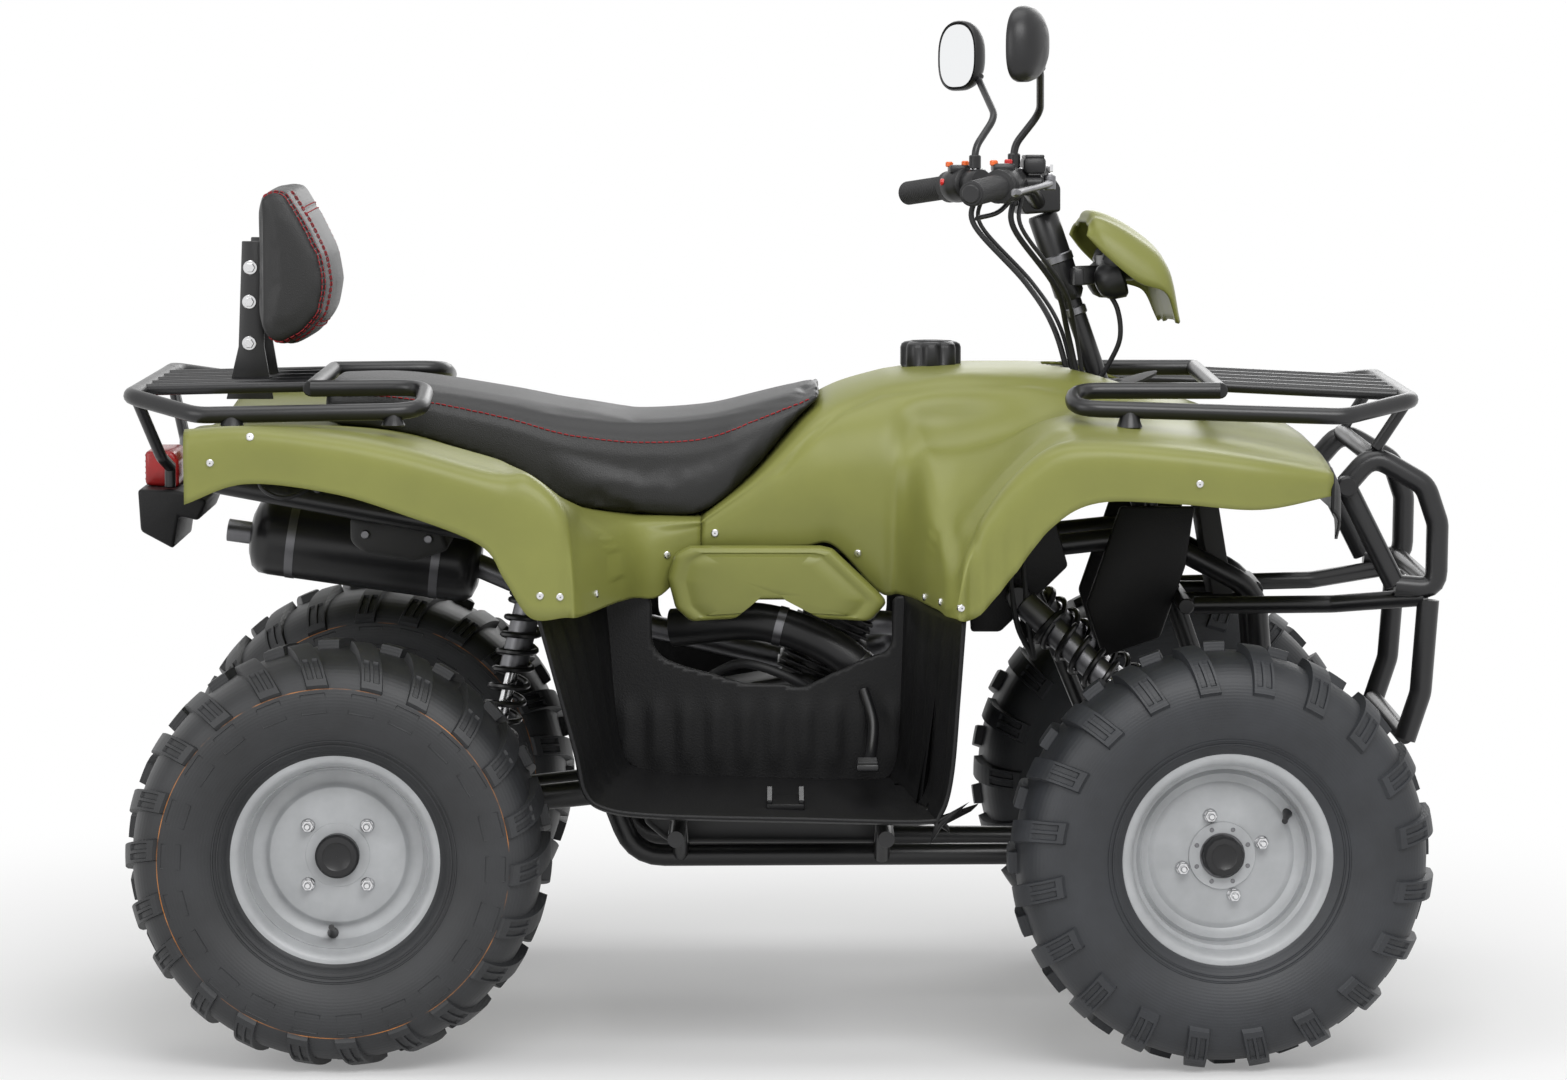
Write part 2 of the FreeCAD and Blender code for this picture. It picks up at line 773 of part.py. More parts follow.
def grip_span(side):
    end = place(BAR_SHARES[0][0], side * BAR_SHARES[0][1], BAR_SHARES[0][2])
    inner = place(BAR_SHARES[1][0], side * BAR_SHARES[1][1], BAR_SHARES[1][2])
    return end, (inner - end).normalize()


COLLAR_START_SHARE = 0.94
COLLAR_SHARE = 1.35


def build_grips():
    shapes = []
    for side, _ in SIDES:
        end, inward = grip_span(side)
        closed_end = end - inward * (size("bar_radius") / 2)
        grip = rod(closed_end, end + inward * size("grip_length"), size("grip_radius"))
        collar = rod(end + inward * (size("grip_length") * COLLAR_START_SHARE), end + inward * size("grip_length"),
                     size("grip_radius") * COLLAR_SHARE)
        grip = grip.fuse(collar)
        shapes.append(grip.cut(bar_room()))
    feature("grips", steered(Part.makeCompound(shapes)))


# Places along the bar from its end, and reaches ahead of it, in grip lengths and grip radii
PERCH_PLACE_SHARE = 1.47
PERCH_SHARE = 1.1
PERCH_SPAN_SHARES = (0.30, 0.62)
POD_LENGTH_SHARE = 0.35
POD_SHARE = 1.55
LEVER_MOUNT_SHARE = 0.47
LEVER_AHEAD_SHARE = 2.2
LEVER_MOUNT_RADIUS_SHARE = 0.6
LEVER_BEND_SHARE = 0.35
LEVER_TIP_SHARE = 3.2


def perch_centre(side):
    """The middle of the collar that holds a lever and a mirror, on the bar's line."""
    end, inward = grip_span(side)
    return end + inward * (size("grip_length") * PERCH_PLACE_SHARE)


def perch_radius():
    return size("grip_radius") * PERCH_SHARE


def build_switchgear():
    """Switch pods between the grips and the clamp, with the lever perches."""
    shapes = []
    ahead = Vector(size("grip_radius") * LEVER_AHEAD_SHARE, 0, 0)
    for side, _ in SIDES:
        end, inward = grip_span(side)
        start = end + inward * (size("grip_length") + size("running_gap"))
        length = inward * size("grip_length")
        pod = rod(start, start + length * POD_LENGTH_SHARE, size("grip_radius") * POD_SHARE)
        perch = rod(start + length * PERCH_SPAN_SHARES[0], start + length * PERCH_SPAN_SHARES[1], perch_radius())
        middle = start + length * LEVER_MOUNT_SHARE
        mount = rod(middle, middle + ahead, size("grip_radius") * LEVER_MOUNT_RADIUS_SHARE)
        pod = fused([pod, perch, mount])
        shapes.append(pod.cut(bar_room()))
    feature("switchgear", steered(Part.makeCompound(shapes)))


def build_brake_levers():
    shapes = []
    reach = size("grip_radius") * (LEVER_AHEAD_SHARE + LEVER_MOUNT_RADIUS_SHARE) + size("running_gap")
    for side, _ in SIDES:
        end, inward = grip_span(side)
        pivot = perch_centre(side) + AXIS_X * reach
        bend_point = pivot - inward * (size("grip_length") * LEVER_BEND_SHARE) + AXIS_X * size("lever_radius")
        tip = end + AXIS_X * (size("grip_radius") * LEVER_TIP_SHARE)
        shapes.append(tube([pivot, bend_point, tip], size("lever_radius"), size("bar_bend"), THIN_SIDES))
    feature("brake_levers", steered(Part.makeCompound(shapes)))


OVAL_SIDES = 12


def oval(centre, half_width, half_height):
    """The corners of an upright oval across the vehicle."""
    points = []
    for index in range(OVAL_SIDES):
        angle = 2 * math.pi * index / OVAL_SIDES
        points.append(centre + Vector(0, half_width * math.cos(angle), half_height * math.sin(angle)))
    return points


MIRROR_STALK_SHARES = [(0.272, 0.470, 1.380), (0.262, 0.640, 1.435)]
MIRROR_CENTRE_SHARE = (0.236, 0.690, 1.478)
MIRROR_SECTION_SHARES = [
    # (depth behind the glass, size) of each oval of the housing
    (0.0, 1.0), (0.45, 0.96), (0.8, 0.72), (1.0, 0.42),
]
MIRROR_GLASS_SHARE = 0.92
STALK_END_SHARE = 0.6
STALK_FOOT_SHARE = 0.25


def build_mirrors():
    """Oval mirror housings on bent stalks that stand on the switch pods."""
    stalks = []
    glasses = []
    for side, _ in SIDES:
        foot = perch_centre(side) + AXIS_Z * (perch_radius() + 2 * size("seam_gap"))
        points = [foot, foot + AXIS_Z * (size("grip_length") * STALK_FOOT_SHARE)]
        points += [place(x, side * y, z) for x, y, z in MIRROR_STALK_SHARES]
        centre = place(MIRROR_CENTRE_SHARE[0], side * MIRROR_CENTRE_SHARE[1], MIRROR_CENTRE_SHARE[2])
        points.append(centre + AXIS_X * (size("mirror_depth") * STALK_END_SHARE))
        stalk = tube(points, size("mirror_stalk_radius"), size("bar_bend") / 2, THIN_SIDES)
        ovals = []
        for depth, share in MIRROR_SECTION_SHARES:
            ovals.append(oval(centre + AXIS_X * (size("mirror_depth") * depth),
                              size("mirror_width") / 2 * share, size("mirror_height") / 2 * share))
        shell = bridged(ovals)
        face = oval(centre - AXIS_X * size("running_gap"), size("mirror_width") / 2 * MIRROR_GLASS_SHARE,
                    size("mirror_height") / 2 * MIRROR_GLASS_SHARE)
        glass = prism(face, AXIS_X * (-size("lever_radius") / 2))
        glasses.append(glass)
        stalks.append(stalk.fuse(shell))
    feature("mirrors", steered(Part.makeCompound(stalks)))
    feature("mirror_glass", steered(Part.makeCompound(glasses)))


HEADLIGHT_SIDE_SHARES = [
    (0.343, 1.195), (0.359, 1.236), (0.404, 1.209), (0.443, 1.164), (0.462, 1.066), (0.454, 1.060),
    (0.440, 1.112), (0.404, 1.124), (0.366, 1.164),
]


LENS_PLACE_SHARE = (0.418, 0, 1.168)
LENS_ROOM_SHARE = 0.25
LENS_DEPTH_SHARE = 0.125
HEADLIGHT_BRACKET_SHARES = [(0.310, 1.150), (0.310, 1.115), (0.425, 1.115), (0.425, 1.150)]
BRACKET_HALF_SHARE = 0.03


def build_headlight():
    """A small nose shell that carries the round lamp in front of the column."""
    half = size("headlight_width") / 2
    pod = prism([place(x, 0, z) - AXIS_Y * half for x, z in HEADLIGHT_SIDE_SHARES], AXIS_Y * 2 * half)
    centre = place(*LENS_PLACE_SHARE)
    lens_axis = Vector(math.cos(column_lean), 0, math.sin(column_lean))
    room = rod(centre, centre + lens_axis * (size("headlight_width") * LENS_ROOM_SHARE), size("headlight_lens_radius"))
    pod = pod.cut(room)
    half = BRACKET_HALF_SHARE * size("flare_reach")
    bracket = prism([place(x, 0, z) - AXIS_Y * half for x, z in HEADLIGHT_BRACKET_SHARES], AXIS_Y * 2 * half)
    stem = rod(on_column(size("deck_height")), on_column(2 * size("deck_height")),
               size("column_sleeve_radius") + size("running_gap"))
    bracket = bracket.cut(stem).cut(pod).cut(room)
    feature("headlight_pod", steered(pod))
    feature("headlight_bracket", steered(bracket))
    lens = rod(centre, centre + lens_axis * (size("headlight_width") * LENS_DEPTH_SHARE),
               size("headlight_lens_radius") - size("seam_gap"))
    feature("headlight_lens", steered(lens))


# Frame

RAIL_FLOOR_SHARE = 0.255
RAIL_FRONT_Y_SHARE = 0.14
RAIL_Y_SHARE = 0.20
LOWER_RAIL_SHARES = [
    (0.575, RAIL_FRONT_Y_SHARE, 0.40), (0.585, RAIL_FRONT_Y_SHARE, RAIL_FLOOR_SHARE), (-0.185, 0.20, RAIL_FLOOR_SHARE),
    (-0.235, 0.20, 0.42), (-0.290, 0.20, 0.735),
]
UPPER_RAIL_SHARES = [
    (0.575, RAIL_FRONT_Y_SHARE, 0.36), (0.555, 0.16, 0.66), (0.430, 0.18, 0.745), (0.100, 0.20, 0.700),
    (-0.300, 0.20, 0.735), (-0.700, 0.20, 0.830),
]
STRUT_SHARES = [(0.420, RAIL_FRONT_Y_SHARE, 0.262), (0.270, 0.18, 0.720)]
INNER_RAIL_SHARES = [
    (0.575, RAIL_FRONT_Y_SHARE, 0.413), (0.380, RAIL_FRONT_Y_SHARE, 0.413), (0.355, 0.15, RAIL_FLOOR_SHARE),
]
FOOT_BAR_X_SHARES = (0.110, -0.130)
FOOT_BAR_SHARES = [(0.20, RAIL_FLOOR_SHARE), (0.32, 0.300), (0.42, 0.337), (0.92, 0.337)]
CROSS_BAR_SHARES = [
    # Bars from rail to rail
    (0.560, 0.14, 0.262), (0.395, 0.14, 0.255), (0.110, 0.18, 0.255), (-0.130, 0.19, 0.255), (0.555, 0.16, 0.66),
    (0.430, 0.18, 0.745), (-0.300, 0.20, 0.735), (-0.560, 0.20, 0.797), (-0.690, 0.20, 0.828),
]
BEARING_SPAN_SHARES = [(0.40, 0.43), (0.73, 0.76)]
STAY_SHARE = (0.15, 0.415)
STAY_OVERHANG_SHARE = 0.03
STAY_LINK_SHARE = (0.556, 0.157)
BODY_POST_SHARES = [
    # Posts that carry the bodywork, from the upper rails
    (0.430, 0.18, 0.745, "front_body"), (0.100, 0.20, 0.700, "front_body"),
    (-0.300, 0.20, 0.735, "rear_body"), (-0.560, 0.20, 0.797, "rear_body"),
]
POST_REACH_SHARE = 0.3
POST_SHARE = 0.8
LUG_HEIGHT_SHARE = 0.7
LUG_COVER_SHARE = 0.1


def pivot_lugs(pivot, rail_y):
    """A pair of plates that hold a wishbone's pivot sleeve against a rail."""
    sleeve = size("wishbone_pivot_radius")
    thick = size("bracket_thickness")
    outer_y = pivot.y + math.copysign(sleeve * LUG_COVER_SHARE, pivot.y)
    low = sleeve * LUG_HEIGHT_SHARE
    plates = []
    for start in (pivot.x + sleeve + size("running_gap"), pivot.x - sleeve - size("running_gap") - thick):
        corners = [Vector(start, rail_y, pivot.z - sleeve), Vector(start, outer_y, pivot.z - low),
                   Vector(start, outer_y, pivot.z + low), Vector(start, rail_y, pivot.z + sleeve)]
        plates.append(prism(corners, AXIS_X * thick))
    return plates


def column_bearings():
    """The blocks that hold the column, and the low one's stay between the inner rails."""
    deck = size("deck_height")
    bearings = []
    for low, high in BEARING_SPAN_SHARES:
        bearings.append(rod(on_column(low * deck), on_column(high * deck), size("column_radius") * 2))
    stay_y, stay_z = STAY_SHARE
    middle = on_column(stay_z * deck)
    reach = AXIS_Y * (stay_y * size("flare_reach"))
    return bearings + [rod(middle - reach, middle + reach, size("brace_radius"))]


def bumper_seat():
    """The bar that the bumper's stays end on, and the links that carry it from the upper rails."""
    brace = size("brace_radius")
    stay_x, stay_y, stay_z = BUMPER_STAY_SHARES[0]
    back = AXIS_X * (brace + 3 * size("seam_gap"))
    reach = stay_y + STAY_OVERHANG_SHARE
    pieces = [rod(place(stay_x, -reach, stay_z) - back, place(stay_x, reach, stay_z) - back, brace)]
    link_x, link_y = STAY_LINK_SHARE
    for side in (RIGHT, LEFT):
        pieces.append(rod(place(link_x, side * link_y, stay_z), place(stay_x, side * link_y, stay_z) - back, brace,
                          THIN_SIDES))
    return pieces


def build_frame():
    rail = size("rail_radius")
    brace = size("brace_radius")
    bend = size("frame_bend")
    tubes = []
    for side in (RIGHT, LEFT):
        for shares in (LOWER_RAIL_SHARES, UPPER_RAIL_SHARES):
            tubes.append(tube([place(x, side * y, z) for x, y, z in shares], rail, bend))
        tubes.append(tube([place(x, side * y, z) for x, y, z in STRUT_SHARES], brace, bend, THIN_SIDES))
        for x in FOOT_BAR_X_SHARES:
            tubes.append(tube([place(x, side * y, z) for y, z in FOOT_BAR_SHARES], brace, bend / 2, THIN_SIDES))
        tubes.append(tube([place(x, side * y, z) for x, y, z in INNER_RAIL_SHARES], brace, bend / 2, THIN_SIDES))
    for x, y, z in CROSS_BAR_SHARES:
        tubes.append(rod(place(x, -y, z), place(x, y, z), brace, THIN_SIDES))
    x, y, z = FRONT_SHOCK_TOP_SHARE
    inboard = AXIS_Y * (shock_eye() + size("seam_gap"))
    shock_bar = rod(place(x, -y, z) + inboard, place(x, y, z) - inboard, brace)
    lugs = []
    for side in (RIGHT, LEFT):
        for up in (-1, 1):
            for pivot in wishbone_pivots(side, up):
                lugs.extend(pivot_lugs(pivot, side * RAIL_FRONT_Y_SHARE * size("flare_reach")))
    shape = fused(tubes).multiFuse(column_bearings() + bumper_seat() + [shock_bar] + lugs)
    clear = rod(on_column(0), on_column(size("deck_height")), size("column_radius") + size("running_gap"))
    shape = shape.cut(clear)
    posts = []
    for x, y, z, body in BODY_POST_SHARES:
        for side in (RIGHT, LEFT):
            foot = place(x, side * y, z)
            head = foot + AXIS_Z * (POST_REACH_SHARE * size("deck_height"))
            posts.append(seated(foot, head, brace * POST_SHARE, nodes[body].Shape))
    feature("frame", shape.multiFuse(posts))


# Bodywork

def skin_section(x, profile, wall):
    """A closed thin section across the body: the outer skin and the same line set inward."""
    right = [place(x, -y, z) for y, z in profile]
    left = [place(x, y, z) for y, z in profile[-2::-1]]
    outer = right + left
    inner = []
    for index, point in enumerate(outer):
        before = outer[max(index - 1, 0)]
        after = outer[min(index + 1, len(outer) - 1)]
        along = (after - before).normalize()
        inward = Vector(0, along.z, -along.y)
        inner.append(point + inward * wall)
    return outer + inner[::-1]


def skin(sections, wall):
    """A thin moulding over sections across the vehicle."""
    return bridged([skin_section(x, profile, wall) for x, profile in sections])


FRONT_BODY_SHARES = [
    # (x, [(half width, height) from the lower edge up to the centre line])
    (-0.104, [(0.376, 0.733), (0.380, 0.742), (0.382, 0.751), (0.380, 0.760), (0.376, 0.769),
              (0.360, 0.778), (0.220, 0.782), (0.000, 0.782)]),
    (-0.043, [(0.376, 0.736), (0.384, 0.758), (0.388, 0.780), (0.388, 0.802), (0.380, 0.822),
              (0.356, 0.838), (0.220, 0.844), (0.000, 0.846)]),
    (0.017, [(0.376, 0.738), (0.388, 0.772), (0.396, 0.809), (0.394, 0.847), (0.376, 0.883),
             (0.330, 0.913), (0.200, 0.931), (0.000, 0.937)]),
    (0.052, [(0.372, 0.738), (0.392, 0.778), (0.400, 0.822), (0.392, 0.869), (0.356, 0.916),
             (0.290, 0.944), (0.170, 0.962), (0.000, 0.968)]),
    (0.104, [(0.372, 0.669), (0.396, 0.733), (0.408, 0.800), (0.400, 0.867), (0.360, 0.924),
             (0.288, 0.961), (0.170, 0.982), (0.000, 0.988)]),
    (0.128, [(0.392, 0.6664), (0.408, 0.722), (0.416, 0.789), (0.408, 0.856), (0.362, 0.924),
             (0.288, 0.966), (0.170, 0.988), (0.000, 0.993)]),
    (0.150, [(0.560, 0.6664), (0.570, 0.711), (0.520, 0.778), (0.450, 0.850), (0.366, 0.926),
             (0.288, 0.972), (0.170, 0.992), (0.000, 0.998)]),
    (0.180, [(1.000, 0.6664), (1.000, 0.689), (0.860, 0.738), (0.620, 0.800), (0.420, 0.890),
             (0.288, 0.975), (0.170, 0.995), (0.000, 0.999)]),
    (0.210, [(1.010, 0.6664), (1.010, 0.782), (0.860, 0.802), (0.620, 0.831), (0.430, 0.894),
             (0.288, 0.977), (0.170, 0.997), (0.000, 1.000)]),
    (0.250, [(1.010, 0.724), (1.010, 0.853), (0.860, 0.869), (0.620, 0.878), (0.440, 0.911),
             (0.288, 0.977), (0.170, 0.997), (0.000, 1.001)]),
    (0.296, [(1.010, 0.798), (1.010, 0.901), (0.860, 0.916), (0.640, 0.924), (0.450, 0.936),
             (0.292, 0.976), (0.170, 0.996), (0.000, 1.001)]),
    (0.348, [(1.010, 0.833), (1.010, 0.911), (0.860, 0.924), (0.640, 0.933), (0.450, 0.942),
             (0.300, 0.969), (0.170, 0.989), (0.000, 0.997)]),
    (0.439, [(1.010, 0.831), (1.010, 0.903), (0.860, 0.916), (0.640, 0.922), (0.450, 0.928),
             (0.300, 0.944), (0.170, 0.954), (0.000, 0.960)]),
    (0.530, [(1.010, 0.823), (1.006, 0.889), (0.850, 0.900), (0.620, 0.908), (0.430, 0.911),
             (0.300, 0.914), (0.170, 0.918), (0.000, 0.920)]),
    (0.614, [(0.960, 0.841), (0.956, 0.873), (0.800, 0.880), (0.600, 0.886), (0.420, 0.888),
             (0.300, 0.889), (0.170, 0.890), (0.000, 0.891)]),
]

REAR_BODY_SHARES = [
    (-0.683, [(1.000, 0.830), (1.000, 0.930), (0.840, 0.930), (0.600, 0.927), (0.380, 0.920),
              (0.200, 0.914), (0.000, 0.914)]),
    (-0.614, [(1.006, 0.860), (1.006, 0.936), (0.840, 0.936), (0.600, 0.929), (0.380, 0.920),
              (0.200, 0.914), (0.000, 0.914)]),
    (-0.518, [(1.006, 0.847), (1.006, 0.922), (0.840, 0.928), (0.600, 0.926), (0.380, 0.918),
              (0.200, 0.912), (0.000, 0.912)]),
    (-0.439, [(1.006, 0.817), (1.006, 0.902), (0.840, 0.912), (0.600, 0.912), (0.380, 0.904),
              (0.200, 0.899), (0.000, 0.899)]),
    (-0.350, [(1.006, 0.772), (1.006, 0.870), (0.840, 0.880), (0.600, 0.883), (0.380, 0.867),
              (0.200, 0.861), (0.000, 0.861)]),
    (-0.322, [(1.006, 0.721), (1.006, 0.861), (0.840, 0.869), (0.600, 0.869), (0.380, 0.849),
              (0.200, 0.844), (0.000, 0.844)]),
    (-0.293, [(1.006, 0.6664), (1.006, 0.856), (0.840, 0.858), (0.600, 0.850), (0.380, 0.829),
              (0.200, 0.822), (0.000, 0.822)]),
    (-0.254, [(1.000, 0.6664), (1.000, 0.808), (0.840, 0.817), (0.600, 0.809), (0.380, 0.802),
              (0.200, 0.794), (0.000, 0.794)]),
    (-0.235, [(0.960, 0.6664), (0.930, 0.711), (0.800, 0.767), (0.600, 0.783), (0.380, 0.791),
              (0.200, 0.790), (0.000, 0.790)]),
    (-0.187, [(0.520, 0.6664), (0.524, 0.700), (0.500, 0.739), (0.450, 0.767), (0.380, 0.781),
              (0.200, 0.783), (0.000, 0.783)]),
    (-0.150, [(0.410, 0.6664), (0.420, 0.700), (0.420, 0.735), (0.410, 0.760), (0.378, 0.779),
              (0.200, 0.782), (0.000, 0.782)]),
    (-0.1045, [(0.380, 0.733), (0.384, 0.742), (0.386, 0.756), (0.386, 0.767), (0.376, 0.778),
              (0.200, 0.781), (0.000, 0.781)]),
]


def column_opening():
    radius = COLUMN_OPENING_SHARE * size("flare_reach")
    return rod(on_column(0), on_column(2 * size("deck_height")), radius)


COLUMN_OPENING_SHARE = 0.15
FUEL_CAP_SHARE = (0.169, 0, 0.996)


def build_bodies():
    """The two big mouldings: tank cover with front fenders, and seat base with rear fenders."""
    wall = size("panel_wall")
    cap = place(*FUEL_CAP_SHARE)
    neck = rod(cap - AXIS_Z * (2 * wall), cap + AXIS_Z * (2 * wall),
               size("fuel_cap_radius") + size("seam_gap"), DRUM_SIDES)
    front = skin(FRONT_BODY_SHARES, wall).cut(column_opening()).cut(neck)
    rear = skin(REAR_BODY_SHARES, wall)
    feature("front_body", front)
    feature("rear_body", rear)


SEAT_SHARES = [
    # (x, lower edge, upper edge) of the cushion's side
    (-0.547, 0.916, 0.972), (-0.458, 0.904, 0.972), (-0.341, 0.858, 0.950), (-0.274, 0.808, 0.934),
    (-0.235, 0.791, 0.928), (-0.178, 0.783, 0.922), (-0.104, 0.784, 0.928), (-0.047, 0.844, 0.942),
    (0.012, 0.930, 0.958), (0.035, 0.956, 0.972),
]


SEAT_SECTION_SHARES = [
    # (half width, height between the lower and upper edge) from the side to the middle
    (1.0, 0.0), (1.0, 0.75), (0.85, 1.0),
]
SEAT_CROWN_SHARES = (0.4, 0.010)


def build_seat():
    half = size("seat_half_width") / size("flare_reach")
    crown_y, crown_rise = SEAT_CROWN_SHARES
    rings = []
    for x, low, high in SEAT_SHARES:
        flank = [(half * y, low + (high - low) * z) for y, z in SEAT_SECTION_SHARES]
        flank.append((half * crown_y, high + crown_rise))
        rings.append([place(x, -y, z) for y, z in flank] + [place(x, y, z) for y, z in flank[::-1]])
    seat = bridged(rings)
    for name in ("rear_body", "front_body"):
        room = nodes[name].Shape.copy()
        room.translate(AXIS_Z * size("seam_gap"))
        seat = seat.cut(room)
    feature("seat", max(seat.Solids, key=lambda piece: piece.Volume))


SIDE_COVER_SEAT_SHARE = 0.392
SIDE_COVER_SHARES = [
    (-0.135, 0.728), (-0.117, 0.740), (0.036, 0.740), (0.050, 0.736), (0.106, 0.668), (0.114, 0.656),
    (0.095, 0.628), (0.036, 0.632), (0.012, 0.661), (-0.041, 0.661), (-0.064, 0.632), (-0.117, 0.628),
    (-0.134, 0.648), (-0.143, 0.693),
]


def build_side_covers():
    """Bulged covers over the engine's upper half, one on each side."""
    for side, side_name in SIDES:
        y = side * SIDE_COVER_SEAT_SHARE
        outline = [place(x, y, z) for x, z in SIDE_COVER_SHARES]
        cover = prism(outline, AXIS_Y * side * size("side_cover_depth"))
        for name in ("front_body", "rear_body", "footwell_" + side_name):
            room = nodes[name].Shape.copy()
            cover = cover.cut(room)
            room.translate(AXIS_Y * side * size("seam_gap"))
            cover = cover.cut(room)
        feature("side_cover_" + side_name, max(cover.Solids, key=lambda piece: piece.Volume))


FOOTWELL_SIDE_SHARES = [
    # Outer outline of the footwell, from its rear top corner round the floor to its front top corner
    (-0.297, 0.666), (-0.283, 0.600), (-0.255, 0.470), (-0.243, 0.405), (-0.215, 0.374), (-0.147, 0.362),
    (0.011, 0.357), (0.158, 0.354), (0.181, 0.372), (0.195, 0.430), (0.203, 0.547), (0.209, 0.666),
]
FOOTWELL_INNER_SHARES = [
    (-0.225, 0.666), (-0.220, 0.600), (-0.212, 0.480), (-0.200, 0.415), (-0.180, 0.395), (-0.130, 0.385),
    (0.011, 0.378), (0.110, 0.378), (0.128, 0.395), (0.136, 0.440), (0.140, 0.547), (0.143, 0.666),
]
WINDOW_SHARES = [
    (-0.164, 0.700), (-0.164, 0.598), (-0.147, 0.568), (-0.058, 0.534), (0.018, 0.528), (0.070, 0.560),
    (0.117, 0.582), (0.121, 0.700),
]


FOOTWELL_INNER_Y_SHARE = 0.40


def build_footwells():
    """Moulded floor boards with a front wall, a rear wall and a windowed inner wall."""
    wall = size("footwell_wall")
    for side, side_name in SIDES:
        outer_y = size("flare_reach") * side
        inner_y = FOOTWELL_INNER_Y_SHARE * size("flare_reach") * side
        outer = [place(x, 0, z) for x, z in FOOTWELL_SIDE_SHARES]
        inner = [place(x, 0, z) for x, z in FOOTWELL_INNER_SHARES]
        block = bridged([[p + AXIS_Y * outer_y for p in outer], [p + AXIS_Y * inner_y for p in inner]])
        hollow = bridged([
            shrunk(outer, wall, outer_y + side * wall), shrunk(inner, wall, inner_y + side * wall),
        ])
        shape = block.cut(hollow)
        window = prism([place(x, 0, z) + AXIS_Y * (inner_y - side * 2 * wall) for x, z in WINDOW_SHARES],
                       AXIS_Y * (side * 6 * wall))
        feature("footwell_" + side_name, shape.cut(window))


def shrunk(points, wall, y):
    """The same open-topped outline set inward by a wall, and run up past its top."""
    inner = []
    for index, point in enumerate(points):
        before = points[max(index - 1, 0)]
        after = points[min(index + 1, len(points) - 1)]
        along = (after - before).normalize()
        inner.append(Vector(point.x - along.z * wall, y, point.z + along.x * wall))
    inner[0].z += wall
    inner[-1].z += wall
    return inner


PEG_PLACE_SHARES = (-0.005, 0.74, 0.378)
PEG_LENGTH_SHARE = 0.045
PEG_WIDTH_SHARE = 0.20


def build_foot_controls():
    """A raised foot peg on each floor board."""
    shapes = []
    thick = size("bracket_thickness")
    for side, side_name in SIDES:
        x, y, z = PEG_PLACE_SHARES
        base = place(x, side * y, z)
        length = PEG_LENGTH_SHARE * size("wheelbase")
        width = PEG_WIDTH_SHARE * size("flare_reach")
        corner = base - Vector(length / 2, width / 2, 2 * thick)
        peg = Part.makeBox(length, width, 3 * thick, corner)
        floor = nodes["footwell_" + side_name].Shape.copy()
        floor.translate(AXIS_Z * size("seam_gap"))
        pieces = peg.cut(floor).Solids
        shapes.append(max(pieces, key=lambda piece: piece.BoundBox.ZMax))
    feature("foot_controls", Part.makeCompound(shapes))


REAR_LOOP_SHARES = [
    # One side loop of the rear rack, from the rear tube forward outside and back inside
    (-0.764, 0.44, 0.970), (-0.764, 0.56, 0.970), (-0.680, 0.714, 0.948), (-0.424, 0.714, 0.954),
    (-0.424, 0.410, 0.978), (-0.560, 0.410, 0.976),
]
REAR_CROSS_X_SHARE = -0.560
RACK_SLAT_SHARES = (-0.30, -0.15, 0.0, 0.15, 0.30)
REAR_POST_X_SHARES = (-0.455, -0.640)
REAR_POST_SHARES = (0.714, 0.951)
REAR_STRUT_SHARES = [(-0.764, 0.46, 0.970), (-0.740, 0.32, 0.87), (-0.735, 0.20, 0.850)]
POST_DROP_SHARE = 0.2


def build_rear_rack():
    """Two side loops joined by a rear tube, a cross tube and slats, with posts and struts."""
    radius = size("rack_tube_radius")
    slat = size("rack_slat_radius")
    bend = size("rack_bend")
    rear_x, rear_y, rear_z = REAR_LOOP_SHARES[0]
    cross_z = REAR_LOOP_SHARES[-1][2]
    cross_y = REAR_LOOP_SHARES[-1][1]
    tubes = [round_bar(place(rear_x, -rear_y, rear_z), place(rear_x, rear_y, rear_z), radius)]
    tubes += [rod(place(REAR_CROSS_X_SHARE, -cross_y, cross_z), place(REAR_CROSS_X_SHARE, cross_y, cross_z), radius)]
    for y in RACK_SLAT_SHARES:
        tubes.append(rod(place(REAR_CROSS_X_SHARE, y, cross_z), place(rear_x, y, rear_z), slat, THIN_SIDES))
    body = nodes["rear_body"].Shape
    drop = AXIS_Z * (POST_DROP_SHARE * size("deck_height"))
    for side in (RIGHT, LEFT):
        loop = [place(x, side * y, z) for x, y, z in REAR_LOOP_SHARES]
        tubes.append(tube(loop, radius + size("seam_gap"), bend))
        for x in REAR_POST_X_SHARES:
            top = place(x, side * REAR_POST_SHARES[0], REAR_POST_SHARES[1])
            tubes.append(seated(top, top - drop, slat, body))
        strut = [place(x, side * y, z) for x, y, z in REAR_STRUT_SHARES]
        tubes.append(tube(strut, slat, bend / 2, THIN_SIDES))
        tubes.append(seated(strut[-1] + AXIS_Z * slat, strut[-1] - drop, slat * POST_SHARE,
                            nodes["rear_mudguard"].Shape))
    feature("rear_rack", fused(tubes))


FRONT_LOOP_SHARES = [
    # One side loop of the front rack, from the front tube back outside and forward inside
    (0.723, 0.400, 0.962), (0.723, 0.500, 0.962), (0.640, 0.660, 0.944), (0.326, 0.660, 0.956),
    (0.330, 0.500, 0.976), (0.500, 0.500, 0.976),
]
FRONT_CROSS_X_SHARE = 0.500
FRONT_POST_SHARES = (0.391, 0.660, 0.952)
BUMPER_Y_SHARE = 0.43
BUMPER_HEAD_SHARES = (0.681, 0.878)


